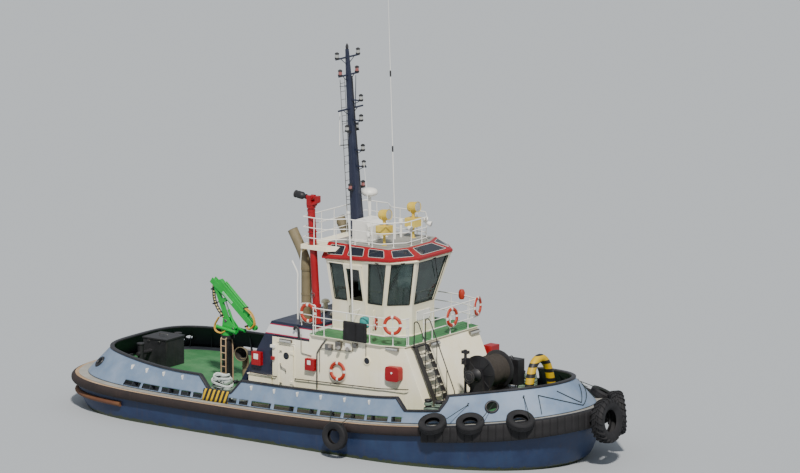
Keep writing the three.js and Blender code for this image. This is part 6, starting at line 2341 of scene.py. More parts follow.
@dataclass
class Aerials:
    """The radar dome on its post and the tall whip with its black joints."""

    post: tuple = (0.46, 0.5)
    dome_foot: float = 8.72
    whip: tuple = (1.75, 0.3)
    whip_foot: float = 7.85
    whip_tall: float = 8.45
    whip_lean: float = -0.3

    def build(self, yard: Yard) -> None:
        """Dome with a seam, and a tapering whip of three parts.

        Args:
            yard: Takes the pieces.
        """
        dome = Shape()
        dome.rod((*self.post, ROOF_TOP), (*self.post, 8.73), 0.06, sides=28)
        dome.lathe([(0.05, 0), (0.13, 0), (0.13, 0.02), (0.05, 0.03)], (*self.post, ROOF_TOP), sides=28,
                   loop=True)
        cup = [(0, 0), (0.2, 0), (0.27, 0.05), (0.3, 0.1), (0.3, 0.13), (0.292, 0.135), (0.3, 0.14),
               (0.285, 0.2),
               (0.23, 0.25), (0.13, 0.285), (0, 0.3)]
        dome.lathe(cup, (*self.post, self.dome_foot), sides=48)
        yard.stand_in("radar_dome", dome, (Look.WHITE,), "white_plastic")
        whip = Shape()
        whip.rod((*self.whip, ROOF_TOP), (*self.whip, 7.9), 0.035, sides=24)
        foot = np.array([*self.whip, self.whip_foot])
        way = np.array([self.whip_lean, 0, self.whip_tall])
        path = foot + way * np.linspace(0, 1, 14)[:, None]
        radius = np.linspace(0.022, 0.008, 14)
        whip.tube(path, radius, 12, 0, up=(0, 1, 0))
        for t in (0.33, 0.66):
            whip.lathe([(0.01, -0.12), (0.03, -0.11), (0.032, 0.08), (0.01, 0.12)], foot + way * t, way,
                       14, 1, True)
        yard.stand_in("tall_whip", whip, (Look.WHITE, Look.BLACK), "white_plastic")


@dataclass(frozen=True)
class Searchlight:
    """A drum searchlight on a turning foot, with a domed back, glass and cooling slots."""

    name: str
    hand: int
    foot: tuple = ((0, 0.0004), (0.06, 0.0004), (0.06, 0.17), (0.09, 0.19), (0.09, 0.3), (0.05, 0.33),
                   (0, 0.33))
    body: tuple = ((0, -0.22), (0.1, -0.21), (0.17, -0.17), (0.19, -0.11), (0.19, 0.19), (0.2, 0.195),
                   (0.2, 0.22), (0.187, 0.22), (0.182, 0.205), (0, 0.205))

    def build(self, yard: Yard) -> None:
        """The foot, fork, drum and lens in one piece.

        Args:
            yard: Takes the pieces.
        """
        shape = Shape()
        at = np.array([LIGHT_X, LIGHT_SIDE * self.hand, LIGHT_BASE])
        shape.lathe(self.foot, at, sides=32)
        way = unit((1, 0, 0.12))
        drum = at + np.array([0, 0, 0.4])
        shape.lathe(self.body, drum, way, 40)
        shape.lathe([(0, 0.206), (0.18, 0.206), (0.13, 0.217), (0, 0.221)], drum, way, 40, 1)
        for along in (-0.06, -0.02, 0.02, 0.06):
            rim = [(0.188 + 0.006 * np.cos(a), along + 0.006 * np.sin(a)) for a in np.arange(0, 6.2, 0.9)]
            shape.lathe(rim, drum, way, 32, 0, True)
        for side in (-1, 1):
            arm = [at + [0, 0, 0.25], at + [0, 0.17 * side, 0.26], at + [0, 0.192 * side, 0.4]]
            shape.tube(curve(arm, 6), (0.012, 0.03), 10, 0, up=(0, side, 0.3))
            shape.lathe(flat_ring(0, 0.03, 0, 0.02), at + [0, 0.19 * side, 0.4], (0, side, 0), 16)
        yard.stand_in(self.name, shape, (Look.YELLOW, Look.LAMP_CLEAR), "light_paint", body=self.name,
                      bevel=0.002)


@dataclass
class Monitor:
    """The red fire monitor: riser, turning head with two elbows, and a ribbed barrel."""

    base: tuple = (-0.28, -1.75, 4.2)
    crown: tuple = (-0.55, -1.75, 8.45)
    pivot: tuple = (-0.55, -1.75, 8.87)
    aim: tuple = (-0.75, 0, 0.08)
    rings: tuple = ((0.0, 0.045, 0.19), (0.62, 0.04, 0.18), (0.665, 0.04, 0.18), (3.4, 0.03, 0.175))
    root: tuple = ((0, -0.095), (0.045, -0.095), (0.07, -0.06), (0.078, 0), (0.074, 0.2), (0, 0.2))
    hub: tuple = ((0, -0.122), (0.1, -0.122), (0.11, -0.112), (0.11, 0.112), (0.1, 0.122), (0, 0.122))
    nozzle: tuple = (
        (0, 0.22), (0.095, 0.22), (0.095, 0.25), (0.08, 0.26), (0.085, 0.32), (0.125, 0.36), (0.14, 0.4),
        (0.14, 0.58), (0.125, 0.62), (0.125, 0.66), (0.14, 0.67), (0.14, 0.72), (0.12, 0.72), (0.11, 0.66),
        (0.05, 0.6), (0, 0.6),
    )

    def build_riser(self, yard: Yard) -> None:
        """A pipe with flanges and their bolts, a collar at its crown and a handwheel.

        Args:
            yard: Takes the pieces.
        """
        shape = Shape()
        base, crown = np.array(self.base), np.array(self.crown)
        way = unit(crown - base)
        shape.rod(base + way * 0.01, crown - way * 0.02, 0.14, sides=40)
        for along, tall, radius in self.rings:
            spot = base + way * (along + 0.001)
            shape.lathe(flat_ring(0.13, radius, 0, tall), spot, way, 40, loop=True)
        side = unit(np.cross([0.0, 1, 0], way))
        for a in around(12):
            spoke = np.cos(a) * side + np.sin(a) * np.array([0.0, 1, 0])
            start = base + way * 0.61 + spoke * 0.162
            shape.rod(start, start + way * 0.105, 0.009, 1, 6)
        shape.rod((-0.55, -1.75, 8.36), (-0.55, -1.75, 8.4497), 0.152, sides=40)
        wheel = base + way * 1.1
        shape.bar(wheel, wheel + [0.0, -0.22, 0], 0.018, 10, 1, up=(0, 0, 1))
        angle = around(24)[:, None]
        rim = wheel + [0, -0.21, 0] + 0.1 * (np.cos(angle) * [1.0, 0, 0] + np.sin(angle) * [0, 0, 1.0])
        shape.tube(rim, 0.009, 8, 1, True)
        for a in (0.0, 2.09, 4.19):
            spoke = 0.1 * np.array([np.cos(a), 0, np.sin(a)])
            shape.bar(wheel + [0, -0.21, 0], wheel + [0, -0.21, 0] + spoke, 0.006, 6, 1, up=(0, 1, 0))
        yard.stand_in("monitor_riser", shape, (Look.RED, Look.STEEL), "roof_paint", bevel=0.003)

    def build_head(self, yard: Yard) -> None:
        """The CAD head's fork with a worm box, a boss, collars and two arms added to it.

        Args:
            yard: Takes the pieces.
        """
        yard.refined("monitor_head", (Look.RED,), "roof_paint", 0.006)
        shape = Shape()
        x, y, z = self.crown
        shape.lathe(flat_ring(0.125, 0.165, 0.0504, 0.1), (x, y, z), sides=36, loop=True)
        shape.lathe([(0, 0), (0.06, 0), (0.06, 0.1), (0.04, 0.13), (0, 0.13)], (x + 0.12, y, z + 0.2),
                    (1, 0, 0), 24)
        shape.bar((x, y, z + 0.1), (x, y, z + 0.2), (0.15, 0.15), 24, 0, up=(1, 0, 0), square=0.5)
        shape.block((x + 0.225, x + 0.36), (y - 0.1, y + 0.1), (z + 0.28, z + 0.52))
        for side in (-0.15, 0.15):
            arm = [(x, y + side, z + 0.16), (x + 0.3, y + side * 0.5, z + 0.3)]
            shape.tube(arm, (0.05, 0.03), 10, 0, up=(0, 1, 0), square=0.5)
        yard.piece("monitor_head_fittings", shape, (Look.RED,), "roof_paint", body="monitor_head",
                   bevel=0.003)

    def build_barrel(self, yard: Yard) -> None:
        """A tapering barrel with stream straightener rings and a flared nozzle.

        Args:
            yard: Takes the pieces.
        """
        shape = Shape()
        shape.lathe(self.root, self.pivot, self.aim, 32)
        shape.lathe(self.nozzle, self.pivot, self.aim, 32, 1)
        shape.lathe(self.hub, self.pivot, (0, 1, 0), 36)
        yard.stand_in("monitor_barrel", shape, (Look.RED, Look.BLACK), "roof_paint", body="monitor_barrel",
                      bevel=0.002)

    def build(self, yard: Yard) -> None:
        """Riser, head and barrel.

        Args:
            yard: Takes the pieces.
        """
        self.build_riser(yard)
        self.build_head(yard)
        self.build_barrel(yard)


# Deck gear


@dataclass
class Winch:
    """The towing winch: its frame with the gear beside it, and the drum with its rope wound on."""

    axis: tuple = (6.2, 0.0, 2.93)
    flange: float = 0.69
    core: float = 0.42
    layers: float = 0.14
    pitch: float = 0.058
    half: float = 0.565
    warp: tuple = ((0, -1.25), (0.2, -1.25), (0.24, -1.235), (0.2, -1.19), (0.15, -1.1), (0.135, -1.02),
                   (0.15, -0.93), (0.2, -0.85), (0.24, -0.815), (0.22, -0.8), (0, -0.8))
    rims: tuple = ((0.235, -1.238), (0.15, -1.252), (0.235, -0.812))
    bolts: tuple = ((-0.4, -0.9), (0.4, -0.9), (-0.4, 0.9), (0.4, 0.9), (0.0, 0.9))

    def build_rope(self, shape: Shape) -> None:
        """Wound rope: radius = core + layers + half a pitch times |cos| of the place in the pitch.

        Args:
            shape: Takes the surfaces.
        """
        along = np.linspace(-self.half, self.half, 317)
        angle = around(64)
        turn = (along[:, None] - self.pitch * angle[None] / (2 * np.pi)) / self.pitch
        bulge = np.abs(np.cos(np.pi * turn))
        fill = self.core + self.layers + 0.02 * np.cos(along * 9)[:, None]
        radius = fill + 0.5 * self.pitch * bulge**0.8 - self.pitch / 2
        x, y, z = self.axis
        rows = np.stack([x + radius * np.cos(angle), np.broadcast_to(y + along[:, None], radius.shape),
                         z + radius * np.sin(angle)], -1)
        shape.skin(rows, 1)

    def build_drum(self, yard: Yard) -> None:
        """Ribbed flanges, core and shaft, the warping drum with bright rims, and the rope.

        Args:
            yard: Takes the pieces.
        """
        shape = Shape()
        for hand in (-1, 1):
            rows = [(0.1, 0.57), (self.flange - 0.03, 0.57), (self.flange, 0.585),
                    (self.flange, 0.62), (0.1, 0.62)]
            shape.lathe([(r, hand * h) for r, h in rows], self.axis, (0, 1, 0), 72, loop=True)
            for a in around(8):
                spoke = np.array([np.cos(a), 0, np.sin(a)])
                middle = np.array(self.axis) + [0, hand * 0.628, 0]
                shape.bar(middle + spoke * 0.16, middle + spoke * 0.63, (0.02, 0.012), 8, 0, up=(0, 1, 0),
                          square=0.5)
        shape.lathe(flat_ring(0, self.core, -0.6, 0.6), self.axis, (0, 1, 0), 40)
        shape.lathe(self.warp, self.axis, (0, 1, 0), 48)
        for r, h in self.rims:
            rim = flat_ring(r - 0.012, r, h - 0.01, h + 0.01)
            shape.lathe(rim, self.axis, (0, 1, 0), 48, 2, True)
        shape.lathe(flat_ring(0, 0.09, -0.8, 0.64), self.axis, (0, 1, 0), 28)
        self.build_rope(shape)
        looks = (Look.BLACK, Look.TOWLINE, Look.STEEL)
        yard.stand_in("winch_drum", shape, looks, "black_paint", body="winch_drum", bevel=0.003)

    def build_trim(self, yard: Yard) -> None:
        """Motor fins, hoses and bolts on the frame, a gear box and a valve post beside it.

        Args:
            yard: Takes the pieces.
        """
        shape = Shape()
        x, _, z = self.axis
        for k in range(9):
            y = 0.84 + 0.036 * k
            rim = [(0.255, y), (0.285, y + 0.004), (0.285, y + 0.012), (0.255, y + 0.016)]
            shape.lathe(rim, (x, 0, z), (0, 1, 0), 40, 0, True)
        for dx, dy in self.bolts:
            shape.rod((x + dx, dy, 2.2), (x + dx, dy, 2.24), 0.03, 1, 6)
        for y0 in (0.95, 1.08):
            hose = [(x + 0.1, y0, z + 0.27), (x + 0.3, y0, z + 0.4), (x + 0.5, y0 + 0.05, z - 0.1),
                    (x + 0.45, y0 + 0.08, 2.0), (x + 0.4, y0 + 0.08, 1.7)]
            shape.tube(curve(hose, 8), 0.02, 12)
        shape.lathe([(0, 0), (0.05, 0.01), (0.06, 0.04), (0.05, 0.07), (0, 0.08)], (5.8, -0.9, 3.48),
                    sides=20)
        shape.block((5.7, 5.9), (-1.02, -0.78), (3.3, 3.52), 0)
        shape.block((6.3, 6.85), (0.95, 1.35), (2.3, 3.25), 0)
        shape.rod((5.8, -1.02, 3.42), (5.8, -1.06, 3.46), 0.02, 1, 12)
        shape.rod((5.8, -0.9, 3.5), (5.8, -0.9, 3.84), 0.055, 0, 20)
        shape.block((5.66, 5.94), (-0.97, -0.83), (3.7, 3.8), 0)
        shape.rod((5.64, -0.9, 3.75), (5.7, -0.9, 3.75), 0.05, 1, 16)
        yard.piece("winch_trim", shape, (Look.BLACK, Look.STEEL), "black_paint", bevel=0.002)

    def build(self, yard: Yard) -> None:
        """Frame, drum and trim.

        Args:
            yard: Takes the pieces.
        """
        yard.refined("winch_frame", (Look.BLACK,), "black_paint", 0.012)
        self.build_drum(yard)
        self.build_trim(yard)


@dataclass
class Foredeck:
    """The towing staple, the bitts with rope belayed on them, and coils on deck.

    A row of bitts has its node, its middle and its kind of rope: nought for a thin green one, one
    for pale rope with green over it. For each kind, a row of belays has turns, both half-widths,
    the lowest height, the rise of a turn and the finish, and a row of draped loops has both
    half-widths, the height, the tilt along and across, and the finish.
    """

    deck_drop: float = 0.03
    deck_plate: float = 0.02
    staple: tuple = ((8.52, -0.85, 1.5), (8.5, -0.74, 2.5), (8.46, -0.46, 3.4), (8.45, 0, 3.7))
    bitts: tuple = (("bitts_fore_starboard", 5.85, -2.95, 0), ("bitts_fore_port", 5.85, 2.95, 0),
                    ("bitts_aft_starboard", -3.7, -3.05, 1), ("bitts_aft_port", -3.7, 3.05, 1))
    thick: tuple = (0.026, 0.03)
    coil_pitch: tuple = (0.036, 0.05)
    belays: tuple = (
        ((5, 0.38, 0.17, 0.08, 0.06, 0),),
        ((5, 0.39, 0.18, 0.08, 0.06, 0), (4, 0.46, 0.24, 0.1, 0.065, 1)),
    )
    draped: tuple = (
        ((0.4, 0.2, 0.42, 0.03, 0.0, 0),),
        ((0.42, 0.22, 0.4, 0.04, 0.05, 0), (0.44, 0.26, 0.52, -0.08, 0.06, 0),
         (0.4, 0.24, 0.6, 0.1, -0.05, 0), (0.36, 0.2, 0.7, -0.05, 0.06, 0),
         (0.43, 0.24, 0.48, 0.12, 0.08, 1), (0.3, 0.18, 0.78, 0.05, -0.03, 0)),
    )

    def build_staple(self, yard: Yard) -> None:
        """An arch of pipe on two box feet.

        Args:
            yard: Takes the pieces.
        """
        points = [*self.staple, *[(x, -y, z) for x, y, z in reversed(self.staple[:-1])]]
        path = curve(points, 10)
        shape = Shape()
        shape.tube(path, 0.16, 36, up=(1, 0, 0))
        for hand in (-1, 1):
            shape.slab("yz", [(hand * 0.65, 1.35), (hand * 1.05, 1.35), (hand * 1.05, 1.8),
                              (hand * 0.98, 1.98), (hand * 0.65, 1.98)], 8.32, 8.72, 1)
            for x in (8.36, 8.68):
                brace = np.array([(x, hand * 1.04, 1.45), (x, hand * 1.04, 1.8), (x, hand * 1.3, 1.45)])
                shape.plate(brace, 0.02, 1)
        yard.stand_in("towing_staple", shape, (Look.BAND, Look.BLACK), "black_paint", bevel=0.01)

    def build_bitts(self, yard: Yard, name: str, x: float, y: float, look: int) -> None:
        """Two domed posts on a plate, joined by a bar.

        Args:
            name: The CAD node the piece stands for.
            x: Middle of the pair.
            y: Its distance to port.
            look: Zero for green rope, one for pale rope.
        """
        deck = float(deck_height(x)) - self.deck_drop + self.deck_plate
        shape = Shape()
        for dx in (-0.24, 0.24):
            rows = [(0, 0.02), (0.13, 0.02), (0.112, 0.06), (0.11, 0.1), (0.11, 0.7), (0.14, 0.71),
                    (0.142, 0.745), (0.13, 0.765), (0, 0.775)]
            shape.lathe(rows, (x + dx, y, deck), sides=40)
        shape.block((x - 0.45, x + 0.45), (y - 0.2, y + 0.2), (deck - 0.02, deck + 0.04))
        shape.rod((x - 0.34, y, deck + 0.45), (x + 0.34, y, deck + 0.45), 0.05, sides=24)
        yard.stand_in(name, shape, (Look.BLACK,), "black_paint", bevel=0.006)
        if y < 0 or x > 0:
            self.build_belay(yard, name, (x, y, deck), look)

    def build_belay(self, yard: Yard, name: str, at: tuple, look: int) -> None:
        """Rope in figures of eight: x = a cos u, y = b sin 2u, rising with every turn.

        Loose loops are draped over it as tilted ovals, round turns lie on each post, and the spare
        rope lies coiled on deck.

        Args:
            name: The pair of bitts it is belayed on.
            yard: Takes the piece.
            at: Middle of the pair, on deck.
            look: Zero for green rope, one for pale rope with a green one over it.
        """
        middle = np.array(at)
        shape = Shape()
        thick = self.thick[look]
        for turns, a, b, low, pitch, finish in self.belays[look]:
            u = np.linspace(0.6, 0.6 + 2 * np.pi * turns, turns * 40)
            rise = low + pitch * (u - u[0]) / (2 * np.pi) + 0.016 * np.sin(u)
            path = middle + np.stack([a * np.cos(u), b * np.sin(2 * u), rise], -1)
            shape.tube(path, thick, 9, finish, up=(0, 0, 1))
        for a, b, high, tilt, cant, finish in self.draped[look]:
            u = np.linspace(0, 2 * np.pi * 2, 90)
            rise = high + tilt * np.cos(u) + cant * np.sin(u) + 0.02 * np.sin(3 * u) + 2.2 * thick * u / 12.6
            path = middle + np.stack([a * np.cos(u), b * np.sin(u), rise], -1)
            shape.tube(path, thick, 9, finish, up=(0, 0, 1))
        for x in (-0.24, 0.24):
            u = np.linspace(0, 2 * np.pi * 2.5, 90)
            rise = 0.53 + 2.1 * thick * u / (2 * np.pi)
            path = middle + np.stack([x + (0.112 + thick) * np.cos(u), (0.112 + thick) * np.sin(u), rise],
                                     -1)
            shape.tube(path, thick, 9, 0, up=(0, 0, 1))
        u = np.linspace(0, 2 * np.pi * 7, 330)
        radius = 0.13 + self.coil_pitch[look] * u / (2 * np.pi)
        rise = thick + 0.004 + 0.012 * np.cos(3 * u)
        away = np.array([0.85, -0.1 * np.sign(middle[1]), 0])
        path = middle + away + np.stack([radius * np.cos(u), radius * np.sin(u), rise], -1)
        shape.tube(path, thick, 9, 0, up=(0, 0, 1))
        looks = (Look.ROPE_PALE, Look.ROPE_GREEN) if look else (Look.ROPE_GREEN,)
        yard.piece(f"{name}_rope", shape, looks, "white_plastic")

    def build(self, yard: Yard) -> None:
        """The staple and every pair of bitts.

        Args:
            yard: Takes the pieces.
        """
        self.build_staple(yard)
        for name, x, y, look in self.bitts:
            self.build_bitts(yard, name, x, y, look)


@dataclass
class SternGear:
    """The stern locker with its bitt posts, the cowl vent and the deck."""

    neck: tuple = ((-3.82, -1.45, 1.2), (-3.82, -1.45, 1.8), (-3.82, -1.45, 2.15), (-3.81, -1.5, 2.43),
                   (-3.77, -1.66, 2.61), (-3.73, -1.87, 2.62))

    def build_vent(self, yard: Yard) -> None:
        """A neck that bends into a wide open bell.

        Args:
            yard: Takes the pieces.
        """
        path = curve(self.neck, 6)
        radius = 0.13 + 0.13 * smooth(0.62, 0.98, np.linspace(0, 1, len(path)))
        shape = Shape()
        outer = rings_along(path, radius, 36, up=(-0.98, -0.2, 0))
        inner = rings_along(path, radius - 0.012, 36, up=(-0.98, -0.2, 0))[-12:][::-1]
        looks = np.repeat([0, 1], [len(outer), len(inner) - 1])
        shape.skin(np.concatenate([outer, inner]), looks[:, None])
        way = unit(path[-1] - path[-2])
        angle = around(10)
        rim = np.stack([0.258 + 0.014 * np.cos(angle), 0.014 * np.sin(angle)], -1)
        shape.lathe(rim, path[-1], way, 44, 0, True)
        for z in (1.32, 2.05):
            shape.lathe(flat_ring(0.12, 0.15, 0, 0.03), (-3.82, -1.45, z), sides=32, loop=True)
        yard.stand_in("cowl_vent", shape, (Look.STACK, Look.SOOT), "exhaust_paint")

    def build_locker_trim(self, yard: Yard) -> None:
        """Clips, hinges and a handle on the stern locker's lid.

        Args:
            yard: Takes the pieces.
        """
        shape = Shape()
        for x in (-9.05, -8.55):
            shape.tube(rounded([(x - 0.05, -0.56, 2.24), (x - 0.05, -0.62, 2.26), (x + 0.05, -0.62, 2.26),
                                (x + 0.05, -0.56, 2.24)], 0.02), 0.01, 8)
            shape.lathe(flat_ring(0, 0.018, -0.06, 0.06), (x, 0.59, 2.3), (1, 0, 0), 12)
        shape.tube(rounded([(-9.0, 0.0, 2.36), (-9.0, 0.0, 2.42), (-8.6, 0.0, 2.42), (-8.6, 0.0, 2.36)],
                           0.04),
                   0.014, 10)
        yard.piece("stern_locker_trim", shape, (Look.STEEL,), "black_paint")

    def build(self, yard: Yard) -> None:
        """Deck, locker and vent.

        Args:
            yard: Takes the pieces.
        """
        yard.refined("main_deck", (Look.DECK,), "deck_paint", 0.0)
        yard.refined("stern_locker", (Look.BLACK,), "black_paint", 0.015)
        self.build_vent(yard)
        self.build_locker_trim(yard)


@dataclass
class Crane:
    """The folding deck crane with its pins, hoses and cylinder."""

    shoulder: tuple = (-5.0, -1.0, 3.6)
    elbow: tuple = (-5.6, -1.0, 5.0)
    tip: tuple = (-3.8, -1.0, 3.44)
    beams: tuple = ((0.05, 1.95, 0.12, 0.31, 0.09), (0.3, 1.7, 0.305, 0.37, 0.06))
    clips: tuple = (2, 12, 22)
    side_pipes: tuple = ((-1.22, 0.0), (-0.78, 0.1))
    stiles: tuple = (-5.11, -4.89)
    rungs: tuple = (1.62, 2.95, 0.26)
    bolts: tuple = ((-5.24, -1.24), (-4.76, -1.24), (-5.24, -0.76), (-4.76, -0.76))

    def build_links(self, yard: Yard) -> None:
        """Each CAD link with rounded edges.

        Args:
            yard: Takes the pieces.
        """
        for node, look, slot, bevel in (
            ("crane_column", Look.GREEN, "crane_paint", 0.008),
            ("crane_main_boom", Look.GREEN, "crane_paint", 0.012),
            ("crane_outer_boom", Look.GREEN, "crane_paint", 0.012),
            ("crane_extension", Look.GREEN, "crane_paint", 0.008),
            ("crane_pedestal", Look.BLACK, "house_paint", 0.012),
            ("crane_cylinder", Look.GREEN, "crane_paint", 0.004),
            ("crane_cylinder_rod", Look.CHROME, "rod_chrome", 0.002),
        ):
            yard.refined(node, (look,), slot, bevel)

    def build_hoses(self, yard: Yard) -> None:
        """The striped hose clipped along the main boom, and what lies on the outer one.

        Args:
            yard: Takes the pieces.
        """
        start, end = np.array(self.shoulder), np.array(self.elbow)
        way = unit(end - start)
        back = np.array([-way[2], 0, way[0]])
        reach = float(np.linalg.norm(end - start))
        shape = Shape()
        t = np.linspace(0.08, 0.92, 25)
        off = 0.12 + 0.19 * np.sin(np.pi * (t - 0.08) / 0.84)
        path = start + way * (t[:, None] * reach) + back * off[:, None]
        shape.tube(path, 0.045, 18)
        for y in (-0.07, 0.07):
            shape.tube(path[2:-2] - back * 0.03 + [0, y, 0], 0.018, 10, 1)
        for k in self.clips:
            shape.bar(path[k] + [0, -0.1, 0], path[k] + [0, 0.1, 0], (0.056, 0.03), 10, 1, up=way,
                      square=0.5)
            shape.bar(path[k], path[k] - back * (off[k] - 0.05), 0.02, 8, 1, up=(0, 1, 0))
        yard.piece("crane_boom_hoses", shape, (Look.HOSE, Look.BLACK), "black_paint",
                   body="crane_main_boom")
        self.build_outer(yard)

    def build_outer(self, yard: Yard) -> None:
        """Two beams on the outer boom, pipes, a pale plate and the yellow hoses at its end.

        Args:
            yard: Takes the pieces.
        """
        start, end = np.array(self.elbow), np.array(self.tip)
        way = unit(end - start)
        over = np.array([-way[2], 0, way[0]])
        shape = Shape()
        side = np.array([0.0, 1, 0])
        for low, high, near, far, half in self.beams:
            outline = [(low, near), (high, near), (high - 0.06, far), (low + 0.1, far)]
            rows = np.array([start + way * a + over * b for a, b in outline])
            shape.skin(np.stack([rows - side * half, rows + side * half]), 0)
        for y in (-0.05, 0.05):
            shape.tube(np.array([start + way * a + over * 0.375 + side * y for a in (0.35, 1.65)]), 0.022,
                       12)
        plate = np.array([start + way * a + over * b - side * 0.126 for a, b in
                          ((0.55, 0.0), (1.15, 0.0), (1.15, 0.1), (0.55, 0.1))])
        shape.plate(plate[::-1], 0.03, 1)
        yard.piece("crane_outer_beam", shape, (Look.GREEN, Look.PALE_GREEN), "crane_paint",
                   body="crane_outer_boom", bevel=0.008)
        tip = Shape()
        for y, drop in ((-0.06, 0.0), (0.04, 0.05)):
            loop = [(1.65, 0.37), (2.0, 0.42), (2.28, 0.34 - drop), (2.38, 0.16), (2.3, -0.1 - drop),
                    (2.12, -0.1)]
            path = np.array([start + way * a + over * b + side * (y - 0.1) for a, b in loop])
            tip.tube(curve(path, 6), 0.026, 10)
        for along, out in ((1.67, 0.37), (2.16, -0.1)):
            spot = start + way * along + over * out
            tip.bar(spot - side * 0.2, spot + side * 0.06, (0.035, 0.03), 10, 1, up=way, square=0.5)
        yard.piece("crane_outer_hoses", tip, (Look.YELLOW_HOSE, Look.BLACK), "black_paint",
                   body="crane_outer_boom")

    def build_pins(self, yard: Yard) -> None:
        """Caps on the pins, hydraulic pipes and hoses on the column, and the pedestal's ladder.

        Args:
            yard: Takes the pieces.
        """
        caps = Shape()
        for hand in (-1, 1):
            for spot, radius in ((self.shoulder, 0.06), ((-4.66, -1, 3.34), 0.045)):
                at = (spot[0], -1 + hand * 0.1295, spot[2])
                caps.lathe([(0, 0), (radius, 0), (radius, 0.012), (radius - 0.01, 0.02), (0, 0.02)], at,
                           (0, hand, 0), 24)
        for y, shift in self.side_pipes:
            run = [(-5.32 + shift, y, 3.36), (-4.46 + shift, y, 3.24)]
            caps.tube(run, 0.06, 18, 1, up=(0, 1, 0))
            for along in (0.0, 0.55, 1.0):
                spot = np.array(run[0]) + (np.array(run[1]) - run[0]) * along
                caps.bar(spot - [0.02, 0, 0], spot + [0.02, 0, 0], 0.075, 18, 1, up=(0, 1, 0))
        for shift in (0.0, 0.06):
            hang = [(-5.26, -1.16 - shift, 3.72), (-5.42, -1.2 - shift, 3.42), (-5.36, -1.22 - shift, 3.2),
                    (-5.12, -1.2 - shift, 3.14), (-4.92, -1.16 - shift, 3.26)]
            caps.tube(curve(hang, 6), 0.024, 10, 2)
        looks = (Look.STEEL, Look.GREEN, Look.YELLOW_HOSE)
        yard.piece("crane_pin_caps", caps, looks, "crane_paint", body="crane_column")
        steps = Shape()
        for x in self.stiles:
            stile = [(x, -1.12, 1.45), (x, -1.27, 1.5), (x, -1.27, 2.95), (x, -1.12, 3.0)]
            steps.tube(rounded(stile, 0.05), 0.024, 12)
        for z in np.arange(*self.rungs):
            steps.bar((self.stiles[0], -1.27, z), (self.stiles[1], -1.27, z), 0.018, 10)
        steps.tube(rounded([(-4.84, -0.9, 1.3), (-4.84, -0.9, 2.6), (-4.84, -0.95, 2.9)], 0.1), 0.025, 12)
        for x, y in self.bolts:
            steps.rod((x, y, 1.27), (x, y, 1.33), 0.022, 1, 6)
        yard.piece("pedestal_steps", steps, (Look.EDGE, Look.STEEL), "house_paint")

    def build(self, yard: Yard) -> None:
        """Links, hoses and pins.

        Args:
            yard: Takes the pieces.
        """
        self.build_links(yard)
        self.build_hoses(yard)
        self.build_pins(yard)


@dataclass
class Drives:
    """The two thrusters below the stern with their propellers."""

    def build(self, yard: Yard) -> None:
        """Pods and blades with rounded edges.

        Args:
            yard: Takes the pieces.
        """
        for side in ("starboard", "port"):
            yard.refined(f"thruster_{side}", (Look.DRIVE,), "drive_paint", 0.006)
            yard.refined(f"propeller_{side}", (Look.BRONZE,), "propeller_bronze", 0.002)


# Stage and view


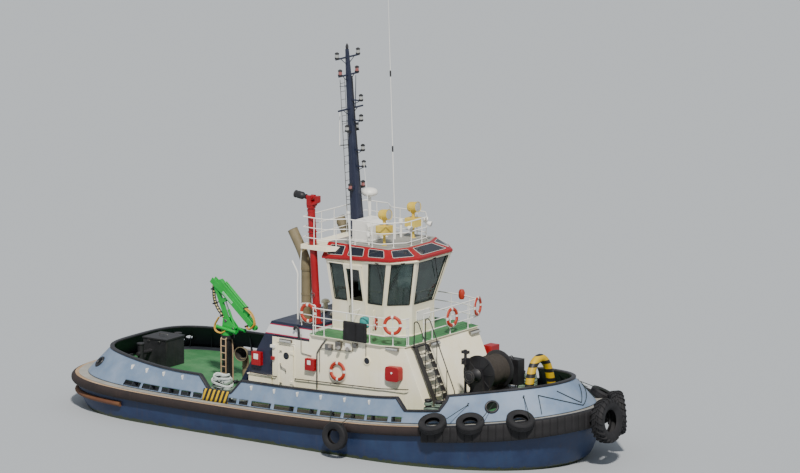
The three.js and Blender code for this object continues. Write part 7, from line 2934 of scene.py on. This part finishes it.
@dataclass(frozen=True)
class Stage:
    """The plain floor at the waterline, soft studio light and the camera of the photo."""

    turn: float = 36.0
    tilt: float = 11.4
    focal: float = 7419.0
    scale: float = 27.0
    origin: tuple = (351.9, 427.2)
    centre: tuple = (400.0, 236.5)
    width: float = 800.0
    sensor: float = 36.0
    floor_half: float = 900.0

    def build_camera(self) -> None:
        """A camera turned about the ship, placed so that the origin falls where the photo has it."""
        a, e = np.radians(self.turn), np.radians(self.tilt)
        back = np.array([np.sin(a) * np.cos(e), -np.cos(a) * np.cos(e), np.sin(e)])
        right = np.array([np.cos(a), np.sin(a), 0])
        up = np.cross(back, right)
        away = self.focal / self.scale
        across = (self.origin[0] - self.centre[0]) / self.scale
        down = (self.origin[1] - self.centre[1]) / self.scale
        spot = back * away - right * across + up * down
        lens = bpy.data.cameras.new("view")
        lens.sensor_width = self.sensor
        lens.lens = self.focal / self.width * self.sensor
        lens.clip_start, lens.clip_end = 10, 5000
        made = bpy.data.objects.new("view", lens)
        bpy.context.scene.collection.objects.link(made)
        made.location = Vector(spot)
        made.rotation_mode = "QUATERNION"
        made.rotation_quaternion = Vector(-back).to_track_quat("-Z", "Y")
        bpy.context.scene.camera = made

    def build_light(self) -> None:
        """One broad sun from ahead and to starboard, with an even pale sky."""
        sun = bpy.data.lights.new("key", "SUN")
        sun.energy, sun.angle = 4.6, np.radians(4)
        sun.color = (1.0, 0.95, 0.88)
        made = bpy.data.objects.new("key", sun)
        bpy.context.scene.collection.objects.link(made)
        way = Vector((-0.42, 0.5, -0.76))
        made.rotation_mode = "QUATERNION"
        made.rotation_quaternion = way.to_track_quat("-Z", "Y")
        world = bpy.data.worlds.new("studio")
        world.use_nodes = True
        sky = world.node_tree.nodes["Background"]
        sky.inputs["Color"].default_value = linear("#dfe6ee")
        sky.inputs["Strength"].default_value = 0.62
        bpy.context.scene.world = world

    def build_floor(self) -> None:
        """A flat pale sheet, wide enough to fill the view."""
        shape = Shape()
        half = self.floor_half
        rows = np.array([[[-half, -half, 0], [half, -half, 0]], [[-half, half, 0], [half, half, 0]]], float)
        shape.sheet(rows, (0, 0, -1))
        mesh = shape.mesh("floor")
        made = bpy.data.objects.new("floor", mesh)
        bpy.context.scene.collection.objects.link(made)
        pale = bpy.data.materials.new("floor")
        pale.use_nodes = True
        shader = pale.node_tree.nodes["Principled BSDF"]
        shader.inputs["Base Color"].default_value = linear("#a9aeb3")
        shader.inputs["Roughness"].default_value = 0.9
        mesh.materials.append(pale)

    def build(self) -> None:
        """The whole stage."""
        self.build_floor()
        self.build_light()
        self.build_camera()


def main() -> None:
    """Builds every sub-assembly in order."""
    logging.basicConfig(level=logging.INFO, format="%(message)s")
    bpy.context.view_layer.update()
    yard = Yard()
    parts = [
        HullShell(), Bulwark(), Fenders(), TyreSet(), Deckhouse(), Casing(), Wheelhouse(), Roof(),
        Railings(),
        Stairs(), RingSet(), Mast(), Aerials(), Searchlight("searchlight_starboard", -1),
        Searchlight("searchlight_port", 1), Monitor(), Winch(), Foredeck(), SternGear(), Crane(), Drives(),
    ]
    for part in parts:
        part.build(yard)
    Stage().build()


if __name__ == "__main__":
    main()
